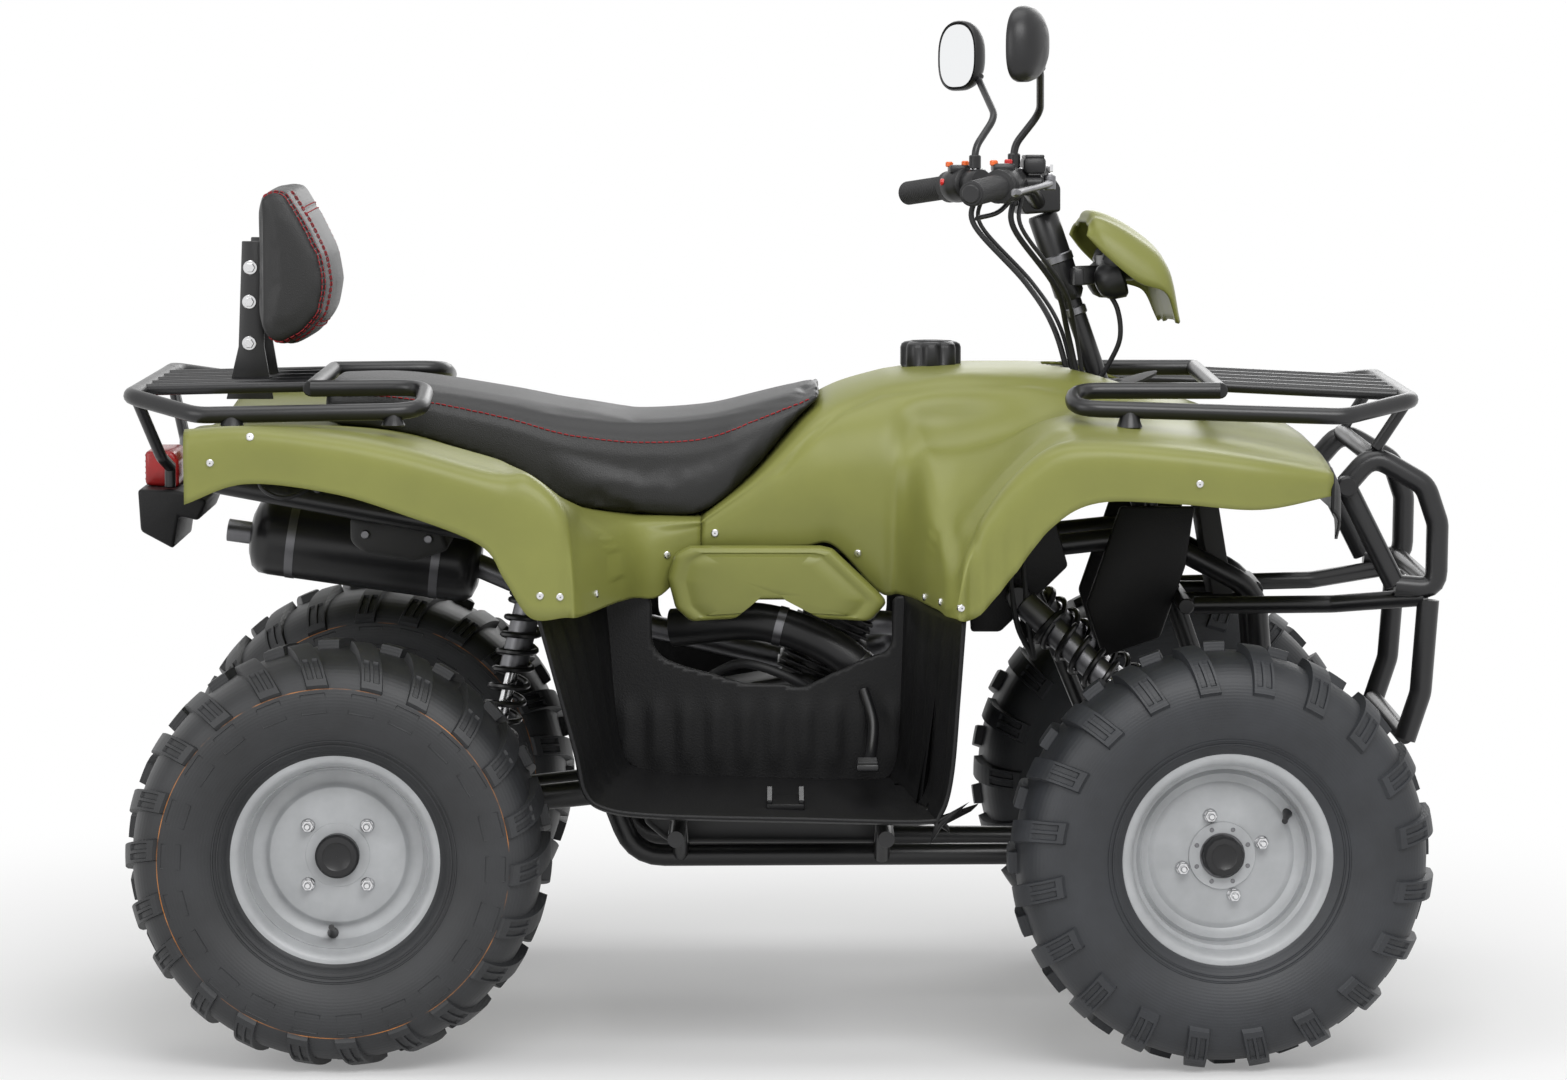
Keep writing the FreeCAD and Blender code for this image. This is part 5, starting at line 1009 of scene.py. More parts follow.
build_skin("front_moulding", FRONT_BODY_SHARES, front_relief, "front_body", hole=column_hole)
build_skin("rear_moulding", REAR_BODY_SHARES, rear_relief, "rear_body")
NOSE_SHARES = [
    (0.6145, [(0.96, 0.82), (0.956, 0.873), (0.8, 0.88), (0.6, 0.886), (0.42, 0.888), (0.3, 0.889),
    (0.17, 0.89), (0.0, 0.891)]),
    (0.626, [(0.88, 0.8), (0.87, 0.84), (0.76, 0.85), (0.6, 0.855), (0.42, 0.858), (0.3, 0.86),
    (0.17, 0.86), (0.0, 0.86)]),
    (0.634, [(0.6, 0.76), (0.6, 0.78), (0.56, 0.795), (0.5, 0.8), (0.4, 0.8), (0.3, 0.8), (0.17, 0.8),
    (0.0, 0.8)])]
build_skin("nose_fascia", NOSE_SHARES, lambda p: 0.0, "nose_panel", "black_plastic", "black_plastic")


# Tube work

RACK_TUBE, RACK_SLAT, RACK_LOOP_TUBE, RACK_BEND = 0.011, 0.008, 0.0112, 0.045
BUMPER_TUBE, BUMPER_STAY_TUBE, BUMPER_BEND = 0.015, 0.012, 0.035
RAIL, BRACE, FRAME_BEND, BRACE_BEND = 0.015, 0.011, 0.06, 0.03
BALL_JOINT, PIVOT_BUSH, ARM_TUBE, SHOCK_EYE = 0.0158, 0.0168, 0.012, 0.0168
RACK_SLAT_SHARES = (-0.3, -0.15, 0.0, 0.15, 0.3)
REAR_LOOP = [
    (-0.764, 0.44, 0.97), (-0.764, 0.56, 0.97), (-0.68, 0.714, 0.948), (-0.424, 0.714, 0.954),
    (-0.424, 0.41, 0.978), (-0.56, 0.41, 0.976)]
FRONT_LOOP = [
    (0.723, 0.4, 0.962), (0.723, 0.5, 0.962), (0.64, 0.66, 0.944), (0.326, 0.66, 0.956),
    (0.33, 0.5, 0.976), (0.5, 0.5, 0.976)]


def build_rear_rack():
    stock = Stock("black_paint")
    for y in RACK_SLAT_SHARES:
        stock.rod(at(-0.56, y, 0.976), at(-0.764, y, 0.97), RACK_SLAT)
    stock.across(-0.56, 0.41, 0.976, RACK_TUBE)
    stock.across(-0.764, 0.45, 0.97, RACK_TUBE)
    stock.both(bent_tube(route(REAR_LOOP), RACK_LOOP_TUBE, RACK_BEND))
    for x in (-0.455, -0.64):
        stock.both(rod_form(at(x, 0.714, 0.951), at(x, 0.714, 0.932), 0.009, end_radius=0.016))
    stock.both(
        bent_tube([at(-0.764, 0.46, 0.97), at(-0.74, 0.32, 0.87), at(-0.735, 0.2, 0.85)], RACK_SLAT,
        0.02))
    stock.both(rod_form(at(-0.735, 0.2, 0.856), at(-0.735, 0.2, 0.818), 0.0075))
    stock.piece("rear_carrier", "chassis", ["rear_rack"], "black_paint")


def build_front_rack():
    stock = Stock("black_paint")
    for y in RACK_SLAT_SHARES:
        stock.rod(at(0.5, y, 0.976), at(0.723, y, 0.962), RACK_SLAT)
    stock.across(0.5, 0.5, 0.976, RACK_TUBE)
    stock.across(0.723, 0.41, 0.962, RACK_TUBE)
    stock.both(bent_tube(route(FRONT_LOOP), RACK_LOOP_TUBE, RACK_BEND))
    stock.both(rod_form(at(0.391, 0.66, 0.952), at(0.391, 0.66, 0.927), RACK_TUBE, end_radius=0.017))
    stock.both(rod_form(at(0.723, 0.43, 0.962), at(0.684, 0.43, 0.886), RACK_SLAT))
    stock.piece("front_carrier", "chassis", ["front_rack"], "black_paint")


BUMPER_LOOP = [
    (0.65, 0.832), (0.681, 0.878), (0.743, 0.832), (0.758, 0.775), (0.757, 0.676), (0.709, 0.682)]
BUMPER_STAY = [(0.478, 0.3, 0.644), (0.64, 0.33, 0.648), (0.745, 0.43, 0.664)]


def build_bumper():
    stock = Stock("black_paint")
    loop = [at(x, 0.43, z) for x, z in BUMPER_LOOP]
    stock.both(bent_tube(loop, BUMPER_TUBE, BUMPER_BEND, 18))
    stock.both(rod_form(loop[-1], loop[0], 0.0145))
    stock.both(bent_tube(route(BUMPER_STAY), BUMPER_STAY_TUBE, BUMPER_BEND))
    leg = rounded([at(0.748, 0.43, 0.66), at(0.74, 0.43, 0.52), at(0.722, 0.43, 0.45)], 0.05)
    stock.both(tube_form(leg, BUMPER_TUBE, 16))
    for x, z in ((0.681, 0.875), (0.752, 0.68), (0.722, 0.455)):
        stock.across(x, 0.43, z, BUMPER_STAY_TUBE)
    stock.both(
        rod_form(at(0.65, 0.43, 0.832) + AXIS_Y * 0.004,
        at(0.65, 0.43, 0.832) + AXIS_Y * 0.03, 0.0145, 24, 0.003), "smooth_black")
    stock.piece("front_guard", "chassis", ["front_bumper"], "black_paint")


build_rear_rack()
build_front_rack()
build_bumper()


def wishbone_pivots(side, level):
    if level < 0:
        return (at(0.555, side * 0.24, 0.262), at(0.395, side * 0.24, 0.262))
    return (at(0.54, side * 0.26, 0.395), at(0.4, side * 0.26, 0.395))


def ball_joint(side, level):
    return kingpin(side) + kingpin_axis * (level * 0.072)


def build_wishbones():
    stock = Stock("black_paint")
    for side in (RIGHT, LEFT):
        for level in (-1, 1):
            ball = ball_joint(side, level)
            stock.rod(
                ball - kingpin_axis * BALL_JOINT, ball + kingpin_axis * BALL_JOINT, BALL_JOINT, 20, 0.003)
            middle = []
            for pivot in wishbone_pivots(side, level):
                stock.rod(pivot, ball, ARM_TUBE)
                stock.rod(
                    pivot - AXIS_X * PIVOT_BUSH, pivot + AXIS_X * PIVOT_BUSH, PIVOT_BUSH,
                    20, 0.002, look_name="smooth_black")
                middle.append(pivot.lerp(ball, 0.45))
            stock.rod(middle[0], middle[1], 0.0096)
    stock.piece("suspension_arms", "chassis", ["wishbones"], "black_paint")


def coil_form(start, end, radius, wire, turns, sides=8):
    axis = (end - start).normalized()
    across = axis.cross(AXIS_X).normalized()
    up = axis.cross(across)
    path = []
    count = int(turns * 20)
    for k in range(count + 1):
        angle = 2 * math.pi * turns * k / count
        path.append(
            start.lerp(end, k / count) + across * (radius * math.cos(angle))
            + up * (radius * math.sin(angle)))
    return tube_form(path, wire, sides)


def shock_forms(stock, top, bottom):
    """A damper with its coil spring, seats and eyes."""
    axis = (bottom - top).normalized()
    length = (bottom - top).length
    stock.add(rod_form(top + axis * 0.012, top + axis * (length * 0.52), 0.019, 24), "dark_steel")
    stock.add(rod_form(top + axis * (length * 0.5), bottom - axis * 0.012, 0.009, 18), "steel")
    stock.add(
        rod_form(top + axis * (length * 0.17), top + axis * (length * 0.2), 0.0295, 28, 0.002),
        "black_paint")
    stock.add(
        rod_form(top + axis * (length * 0.83), top + axis * (length * 0.86), 0.0295, 28, 0.002),
        "black_paint")
    stock.add(
        coil_form(top + axis * (length * 0.2), top + axis * (length * 0.83), 0.0252, 0.0043, 8),
        "black_paint")
    for end in (top, bottom):
        reach = AXIS_Y * 0.0165
        stock.add(rod_form(end - reach, end + reach, 0.0165, 20, 0.002), "smooth_black")


def build_shocks():
    stock = Stock()
    for side in (RIGHT, LEFT):
        ball = ball_joint(side, 1)
        arm = [pivot + (ball - pivot) * 0.45 for pivot in wishbone_pivots(side, 1)]
        rest = ARM_TUBE * 0.8 + SEAT_GAP + SHOCK_EYE
        shock_forms(stock, at(0.27, side * 0.27, 0.655), (arm[0] + arm[1]) / 2 + AXIS_Z * rest)
    stock.piece("front_dampers", "chassis", ["front_shocks"], "damper_steel")
    rear = Stock()
    axle = Vector((REAR_AXLE_X, 0, TYRE_RADIUS))
    cross = (at(-0.212, 0, 0.35) + axle) / 2
    rest = SHOCK_EYE + SEAT_GAP
    shock_forms(
        rear, at(-0.3, 0, 0.735) - AXIS_Z * (0.011 + rest), cross + AXIS_Z * (0.015 + rest))
    rear.piece("rear_damper", "chassis", ["rear_shock"], "damper_steel")


build_wishbones()
build_shocks()


def build_frame():
    stock = Stock("black_paint")
    lower = [
        (0.575, 0.14, 0.4), (0.585, 0.14, 0.255), (-0.185, 0.2, 0.255), (-0.235, 0.2, 0.42),
        (-0.29, 0.2, 0.735)]
    upper = [
        (0.575, 0.14, 0.36), (0.555, 0.16, 0.66), (0.43, 0.18, 0.745), (0.1, 0.2, 0.7),
        (-0.3, 0.2, 0.735), (-0.7, 0.2, 0.83)]
    inner = [(0.575, 0.14, 0.413), (0.38, 0.14, 0.413), (0.355, 0.15, 0.255)]
    stock.both(bent_tube(route(lower), RAIL, FRAME_BEND, 16))
    stock.both(bent_tube(route(upper), RAIL, FRAME_BEND, 16))
    stock.both(bent_tube(route(inner), BRACE, BRACE_BEND))
    stock.both(rod_form(at(0.42, 0.14, 0.262), at(0.27, 0.18, 0.72), BRACE))
    for x in (0.11, -0.13):
        peg = [(x, 0.2, 0.255), (x, 0.32, 0.3), (x, 0.42, 0.337), (x, 0.92, 0.337)]
        stock.both(bent_tube(route(peg), BRACE, BRACE_BEND))
    for x, y, z in (
            (0.56, 0.14, 0.262), (0.395, 0.14, 0.255), (0.11, 0.18, 0.255), (-0.13, 0.19, 0.255),
            (0.555, 0.16, 0.66), (0.43, 0.18, 0.745), (-0.3, 0.2, 0.735), (-0.56, 0.2, 0.797),
            (-0.69, 0.2, 0.828)):
        stock.across(x, y, z, BRACE)
    stock.rod(on_column(0.4 * DH), on_column(0.43 * DH), 0.028, 24, 0.002)
    stock.rod(on_column(0.73 * DH), on_column(0.76 * DH), 0.028, 24, 0.002)
    stay = on_column(0.415 * DH)
    stock.rod(stay - AXIS_Y * 0.075, stay + AXIS_Y * 0.075, BRACE)
    back = Vector((0.0119, 0, 0))
    stock.rod(at(0.478, -0.33, 0.644) - back, at(0.478, 0.33, 0.644) - back, BRACE)
    stock.both(rod_form(at(0.556, 0.157, 0.644), at(0.478, 0.157, 0.644) - back, BRACE))
    inboard = Vector((0, 0.0171, 0))
    stock.rod(at(0.27, -0.27, 0.655) + inboard, at(0.27, 0.27, 0.655) - inboard, BRACE)
    for x, y, z, top in (
            (0.43, 0.18, 0.745, 0.925), (0.1, 0.2, 0.7, 0.965), (-0.3, 0.2, 0.735, 0.816),
            (-0.56, 0.2, 0.797, 0.902)):
        stock.both(rod_form(at(x, y, z), at(x, y, top), 0.0088))
    for level in (-1, 1):
        for pivot in wishbone_pivots(LEFT, level):
            for start in (pivot.x + 0.0173, pivot.x - 0.0233):
                outer = pivot.y + 0.0017
                plate = [
                    (start, 0.07, pivot.z - 0.017), (start, outer, pivot.z - 0.012),
                    (start, outer, pivot.z + 0.012), (start, 0.07, pivot.z + 0.017)]
                stock.both(slab_form(plate, (0.006, 0, 0), 0.001, 1))
    stock.piece("main_frame", "chassis", ["frame"], "black_paint")


build_frame()


# Steering: everything below is drawn with the bars straight ahead and turned with the column

BAR_SHARES = [(0.178, 0.74, 1.26), (0.228, 0.5, 1.272), (0.272, 0.25, 1.268), (0.292, 0.09, 1.245)]
CLAMP_SHARES = [
    (0.262, 1.262), (0.262, 1.296), (0.3, 1.302), (0.318, 1.27), (0.318, 1.232), (0.275, 1.228)]
GRIP_LENGTH = 0.12
GRIP_RADIUS = 0.017


def grip_span(side):
    end, inner = (at(x, side * y, z) for x, y, z in BAR_SHARES[:2])
    return (end, (inner - end).normalized())


def perch_centre(side):
    end, inward = grip_span(side)
    return end + inward * (GRIP_LENGTH * 1.47)


def build_handlebar():
    stock = Stock("black_paint", STEERED)
    right = [at(x, -y, z) for x, y, z in BAR_SHARES]
    left = [at(x, y, z) for x, y, z in BAR_SHARES[::-1]]
    stock.tube(rounded(right + left, 0.07, 8), 0.011, 20)
    stock.piece("handlebar_tube", "steering", ["handlebar"], "black_paint")
    clamp = Stock("smooth_black", STEERED)
    clamp.side(CLAMP_SHARES, -0.055, 0.055, 0.004, 3)
    for x in (0.272, 0.306):
        for y in (-0.04, 0.04):
            foot = at(x, 0, 1.297) + Vector((0, y, -0.004))
            clamp.nut(foot, AXIS_Z, 0.0055, 0.01, look_name="steel")
    clamp.piece("stem_clamp", "steering", ["bar_clamp"], "black_plastic")


def build_grips():
    stock = Stock("grip", STEERED)
    for side in (RIGHT, LEFT):
        end, inward = grip_span(side)
        start = end - inward * 0.0055
        path, radii = [start, start + inward * 0.0012], [0.01, 0.015]
        length = GRIP_LENGTH * 0.93
        ribs = 24
        for k in range(ribs):
            for share, radius in ((0.1, 0.0156), (0.3, 0.017), (0.7, 0.017), (0.9, 0.0156)):
                path.append(start + inward * (0.003 + (k + share) * (length - 0.003) / ribs))
                radii.append(radius)
        path += [
            start + inward * length, start + inward * (length + 0.002),
            end + inward * (GRIP_LENGTH - 0.002), end + inward * GRIP_LENGTH]
        radii += [0.0165, 0.0225, 0.0228, 0.0205]
        stock.tube(path, GRIP_RADIUS, 28, radii=radii)
        stock.rod(start - inward * 0.002, start + inward * 0.003, 0.0125, 20, look_name="smooth_black")
    stock.piece("bar_grips", "steering", ["grips"], "grip_rubber")


def build_switchgear():
    stock = Stock("smooth_black", STEERED)
    for side in (RIGHT, LEFT):
        end, inward = grip_span(side)
        start = end + inward * (GRIP_LENGTH + 0.0003)
        along = inward * GRIP_LENGTH
        pod = [
            (0, 0.0215), (0.02, 0.0255), (0.1, 0.0265), (0.17, 0.0262), (0.18, 0.0258), (0.3, 0.0262),
            (0.34, 0.0245), (0.355, 0.02)]
        stock.turned(start, along, pod, 24, flatten=0.92)
        middle = start + along * 0.18
        stock.box(middle + Vector((-0.004, 0, 0.0225)), (0.03, 0.03, 0.012), 0.004)
        for shift, look_name in ((0.007, "red" if side == RIGHT else "orange"), (-0.008, "orange")):
            spot = middle + along * (0.06 if shift > 0 else -0.06) + Vector((shift - 0.006, 0, 0.026))
            stock.rod(spot, spot + AXIS_Z * 0.0075, 0.0055, 18, look_name=look_name)
        spot = middle + Vector((-0.024, 0, 0.004))
        stock.rod(spot, spot - AXIS_X * 0.007, 0.005, 16, look_name="orange" if side == RIGHT else "red")
        perch = [(0.36, 0.0172), (0.38, 0.0187), (0.6, 0.0187), (0.62, 0.0172)]
        stock.turned(start, along, perch, 24)
        centre = start + along * 0.47
        stock.rod(centre, centre + AXIS_X * 0.0374, 0.0102, 20)
        stock.nut(perch_centre(side) + AXIS_Z * 0.0185, AXIS_Z, 0.008, 0.006, look_name="steel")
        for shift in (-0.008, 0.008):
            spot = centre + inward * shift + AXIS_X * 0.008 + AXIS_Z * 0.0165
            stock.rod(spot, spot + AXIS_Z * 0.003, 0.0032, 12, look_name="steel")
        if side == RIGHT:
            thumb = [
                middle + Vector((0.012, 0, -0.014)), middle + Vector((-0.01, 0, -0.036)),
                middle - along * 0.22 + Vector((-0.03, 0, -0.042))]
            stock.tube(smoothed(thumb, 6), 0.0055, 12, flatten=0.6)
            tank = centre + inward * 0.012 + Vector((0.022, 0, 0.022))
            stock.box(tank, (0.03, 0.044, 0.022), 0.005)
            stock.box(tank + AXIS_Z * 0.012, (0.026, 0.04, 0.005), 0.002, look_name="black_paint")
    stock.piece("switch_pods", "steering", ["switchgear"], "black_plastic")


def build_levers():
    stock = Stock("dark_steel", STEERED)
    for side in (RIGHT, LEFT):
        end, inward = grip_span(side)
        pivot = perch_centre(side) + AXIS_X * (GRIP_RADIUS * 2.8 + 0.0003)
        bend_point = pivot - inward * (GRIP_LENGTH * 0.35) + AXIS_X * 0.006
        tip = end + AXIS_X * (GRIP_RADIUS * 3.2)
        path = smoothed(
            [pivot, pivot.lerp(bend_point, 0.5), bend_point, bend_point.lerp(tip, 0.5), tip], 7)
        count = len(path)
        radii = [0.0072 - 0.0022 * min(1, 2 * k / count) for k in range(count)]
        radii[-3:] = [0.006, 0.0072, 0.003]
        stock.tube(path, 0.006, 14, radii=radii, flatten=0.8)
        stock.rod(pivot - AXIS_Z * 0.01, pivot + AXIS_Z * 0.01, 0.0085, 20)
        stock.rod(pivot + AXIS_Z * 0.01, pivot + AXIS_Z * 0.0125, 0.005, 14, look_name="steel")
    stock.piece("hand_levers", "steering", ["brake_levers"], "black_paint")


MIRROR_TURN = math.radians(34)


def mirror_place(side):
    centre = at(0.236, side * 0.69, 1.478)
    return STEERED @ Matrix.Translation(centre) @ Matrix.Rotation(side * MIRROR_TURN, 4, "Z")


def build_mirrors():
    shells, glasses = Stock("smooth_black"), Stock("mirror")
    for side in (RIGHT, LEFT):
        matrix = mirror_place(side)
        rows = []
        for depth, share in (
                (0.0035, 0.9), (0.001, 0.93), (-0.001, 0.97), (0.002, 1.0), (0.008, 1.0), (0.016, 0.94),
                (0.024, 0.8), (0.031, 0.56), (0.034, 0.26), (0.0345, 0.02)):
            row = []
            for k in range(48):
                angle = 2 * math.pi * k / 48
                c, s = math.cos(angle), math.sin(angle)
                y = 0.042 * share * math.copysign(abs(c) ** 0.78, c)
                z = 0.05 * share * math.copysign(abs(s) ** 0.78, s) - 0.004 * (c * side > 0) * abs(c)
                row.append(Vector((depth, y, z)))
            rows.append(row)
        shells.grid(rows, closed=True, capped=True, place=matrix)
        face = [Vector((-0.0006, p.y * 0.955, p.z * 0.955)) for p in rows[1]]
        back = [Vector((0.003, p.y * 0.955, p.z * 0.955)) for p in rows[1]]
        glasses.grid([face, back], closed=True, capped=True, place=matrix)
        foot = perch_centre(side) + AXIS_Z * 0.0193
        socket_point = at(0.236, side * 0.69, 1.478) + AXIS_X * 0.02 - AXIS_Z * 0.006
        path = rounded(
            [foot, foot + AXIS_Z * 0.03, at(0.272, side * 0.47, 1.38), at(0.262, side * 0.64, 1.435),
            socket_point], 0.04, 6)
        shells.tube(path, 0.0052, 16, look_name="black_paint", place=STEERED)
        shells.rod(foot, foot + AXIS_Z * 0.02, 0.0085, 20, place=STEERED)
        ball = path[-3]
        shells.rod(ball, path[-1], 0.0085, 18, 0.003, place=STEERED)
    shells.piece("mirror_shells", "steering", ["mirrors"], "black_plastic")
    glasses.piece("mirror_faces", "steering", ["mirror_glass"], "mirror_face")


HEADLIGHT_TOP = [
    (0.35, 1.218, 0.78), (0.361, 1.234, 0.92), (0.404, 1.209, 1.0), (0.443, 1.16, 0.97),
    (0.4605, 1.068, 0.8)]
HEADLIGHT_LOW = [(0.345, 1.196), (0.366, 1.166), (0.404, 1.126), (0.44, 1.108), (0.4555, 1.062)]


def build_headlight():
    tops = smoothed([Vector((x, w, z)) for x, z, w in HEADLIGHT_TOP], 8)
    lows = smoothed([Vector((x, 0, z)) for x, z in HEADLIGHT_LOW], 8)
    rows = []
    for top, low in zip(tops, lows):
        row = []
        for k in range(33):
            angle = math.radians(-90 + 180 * k / 32)
            drop = (1 - math.cos(angle)) ** 1.6
            crease = 0.004 * bell(abs(math.degrees(angle)), 38, 7)
            point = Vector((top.x, 0, top.z)).lerp(low, drop)
            row.append(Vector((point.x * WB, 0.1095 * top.y * math.sin(angle), point.z * DH - crease)))
        rows.append(row)
    stock = Stock("olive", STEERED)
    stock.grid(rows)
    pod = stock.piece("lamp_cowl", "steering", ["headlight_pod"], "olive_plastic", sharp=55)
    outward(pod.data, lambda c: STEERED @ at(0.4, 0, 1.12))
    solid_skin(pod, 0.0045)
    lens_axis = Vector((math.cos(COLUMN_LEAN), 0, math.sin(COLUMN_LEAN)))
    lamp = Stock("smooth_black", STEERED)
    seat = at(0.372, 0, 1.148)
    for y in (-0.042, 0.042):
        body = [(0, 0.012), (0.008, 0.022), (0.03, 0.03), (0.048, 0.031), (0.052, 0.029)]
        lamp.turned(seat + AXIS_Y * y, lens_axis, body, 32)
        glass = seat + AXIS_Y * y + lens_axis * 0.0515
        lamp.turned(
            glass, lens_axis, [(0, 0.0265), (0.003, 0.022), (0.005, 0.004)], 32, look_name="lens")
    lamp.box(seat + lens_axis * 0.004, (0.01, 0.09, 0.03), 0.003)
    tail_start = at(0.362, 0, 1.12)
    bowl = [(0.0, 0.006), (0.003, 0.016), (0.01, 0.023), (0.02, 0.027), (0.034, 0.029), (0.038, 0.0255)]
    for y in (-0.042, 0.042):
        lamp.turned(tail_start + AXIS_Y * y, lens_axis, bowl, 32)
    lamp.piece("twin_lamp", "steering", ["headlight_lens"], "lamp_lens")
    arm = Stock("black_paint", STEERED)
    arm.side([(0.322, 1.148), (0.322, 1.117), (0.378, 1.122), (0.378, 1.15)], -0.015, 0.015, 0.003, 2)
    arm.side([(0.3335, 1.146), (0.3335, 1.12), (0.345, 1.12), (0.345, 1.146)], -0.06, 0.06, 0.002, 2)
    arm.piece("lamp_bracket", "steering", ["headlight_bracket"], "black_paint")


def build_column():
    stock = Stock("black_paint", STEERED)
    foot = on_column(0.372 * DH)
    top = on_column(1.228 * DH)
    step = on_column(1.097 * DH)
    stock.rod(foot - column_axis * 0.01, top, 0.0136, 24)
    stock.tube(
        [step, step + column_axis * 0.01, top - column_axis * 0.004, top], 0.0208, 28,
        radii=[0.015, 0.0208, 0.0208, 0.019])
    for height in (1.08, 1.16):
        spot = on_column(height * DH)
        stock.rod(
            spot - column_axis * 0.006, spot + column_axis * 0.006, 0.0225 if height > 1.1 else 0.0165,
            24, look_name="dark_steel")
    back = Vector((-math.cos(COLUMN_LEAN), 0, -math.sin(COLUMN_LEAN)))
    pins = [foot + back * STEERING_ARM + AXIS_Y * (s * 0.026) for s in (RIGHT, LEFT)]
    outline = [
        foot - AXIS_Y * 0.014, pins[0] - AXIS_Y * 0.01 + back * 0.008,
        pins[1] + AXIS_Y * 0.01 + back * 0.008, foot + AXIS_Y * 0.014]
    stock.slab([p - column_axis * 0.005 for p in outline], column_axis * 0.01, 0.002)
    stock.piece("steering_stem", "steering", ["steering_column"], "black_paint")


def build_cables():
    stock = Stock("grip", STEERED)
    for side in (RIGHT, LEFT):
        start = perch_centre(side) - AXIS_Z * 0.019
        for shift, radius in ((0.0, 0.004), (0.01, 0.003)):
            away = Vector((shift, side * shift * 0.6, 0))
            points = [
                start + AXIS_X * shift, start - AXIS_Z * 0.042 + away,
                at(0.3, side * 0.3, 1.12) + away, at(0.325, side * 0.13, 1.05) + away,
                at(0.345, side * 0.085, 0.95) + away * 0.5]
            stock.tube(smoothed(points, 10), radius, 12)
        stock.rod(start, start - AXIS_Z * 0.012, 0.0058, 16, look_name="smooth_black")
    lamp_lead = [
        at(0.372, -0.07, 1.118), at(0.388, -0.075, 1.085), at(0.392, -0.07, 1.04), at(0.38, -0.05, 1.0),
        at(0.366, -0.035, 0.97)]
    stock.tube(smoothed(lamp_lead, 10), 0.0035, 12)
    stock.piece("bar_cables", "steering", ["control_cables"], "grip_rubber")


build_handlebar()
build_grips()
build_switchgear()
build_levers()
build_mirrors()
build_headlight()
build_column()
build_cables()


# Knuckles, tie rods, hubs and axle

def wheel_turn(side):
    return about(kingpin(side), kingpin_axis, REST_STEER)


def arm_tip(side):
    back = Vector((-math.cos(CASTER), 0, -math.sin(CASTER)))
    return kingpin(side) + back * STEERING_ARM + AXIS_Y * (-side * 0.016)


def build_front_ends():
    hub_face = KINGPIN_INSET + FRONT_DISC_Y - DISC_BACK - SEAT_GAP
    for side, side_name in SIDES:
        turn = wheel_turn(side)
        middle = kingpin(side)
        stock = Stock("black_paint")
        low = ball_joint(side, -1) + kingpin_axis * 0.0163
        high = ball_joint(side, 1) - kingpin_axis * 0.0163
        stock.tube(
            [low, low.lerp(high, 0.12), low.lerp(high, 0.5), low.lerp(high, 0.88), high], 0.015, 20,
            radii=[0.0155, 0.0125, 0.016, 0.0125, 0.0155], place=turn)
        stock.rod(
            middle, middle + AXIS_Y * (side * (hub_face - 0.0006)), 0.0115, 20, look_name="steel",
            place=turn)
        stock.tube(
            [middle, middle + AXIS_Y * (side * 0.02), middle + AXIS_Y * (side * (hub_face - 0.0603))],
            0.022, 24, radii=[0.02, 0.0235, 0.0238], place=turn)
        tip = arm_tip(side)
        outline = [
            middle - AXIS_Y * 0.01, tip - AXIS_Y * 0.009, tip + AXIS_Y * 0.009, middle + AXIS_Y * 0.01]
        stock.slab([p - kingpin_axis * 0.005 for p in outline], kingpin_axis * 0.01, 0.002, place=turn)
        stock.rod(tip - kingpin_axis * 0.005, tip + kingpin_axis * 0.005, 0.012, 24, place=turn)
        stock.piece(
            "steering_knuckle_" + side_name, "upright_" + side_name, ["knuckle_" + side_name],
            "black_paint")
        rod = Stock("dark_steel")
        back = Vector((-math.cos(COLUMN_LEAN), 0, -math.sin(COLUMN_LEAN)))
        pin = on_column(0.372 * DH) + back * STEERING_ARM + AXIS_Y * (side * 0.026)
        inner = STEERED @ pin + column_axis * 0.0053
        outer = turn @ tip + kingpin_axis * 0.008
        for foot, axis in ((inner, column_axis), (outer, kingpin_axis)):
            rod.rod(foot, foot + axis * 0.02, 0.0118, 22, 0.003)
        start, end = inner + column_axis * 0.012, outer + kingpin_axis * 0.012
        rod.rod(start, end, 0.0068, 16, look_name="black_paint")
        for share in (0.1, 0.9):
            spot = start.lerp(end, share)
            along = (end - start).normalized()
            rod.rod(spot - along * 0.008, spot + along * 0.008, 0.009, 6)
        rod.piece("track_rod_" + side_name, "rod_" + side_name, ["tie_rod_" + side_name], "black_paint")
        hub = Stock("dark_steel")
        face = FRONT_DISC_Y - DISC_BACK - SEAT_GAP
        profile = [
            (0.0125, face - 0.06), (0.03, face - 0.06), (0.034, face - 0.056), (0.034, face - 0.034),
            (0.0455, face - 0.028), (0.0458, face - 0.002), (0.044, face), (0.031, face),
            (0.031, face + 0.012), (0.0125, face + 0.012)]
        hub.lathe(profile, 40, closed=True)
        hub.piece(
            "front_wheel_hub_" + side_name, "front_wheel_" + side_name, ["front_hub_" + side_name],
            "hub_steel", front_wheel_place(side))


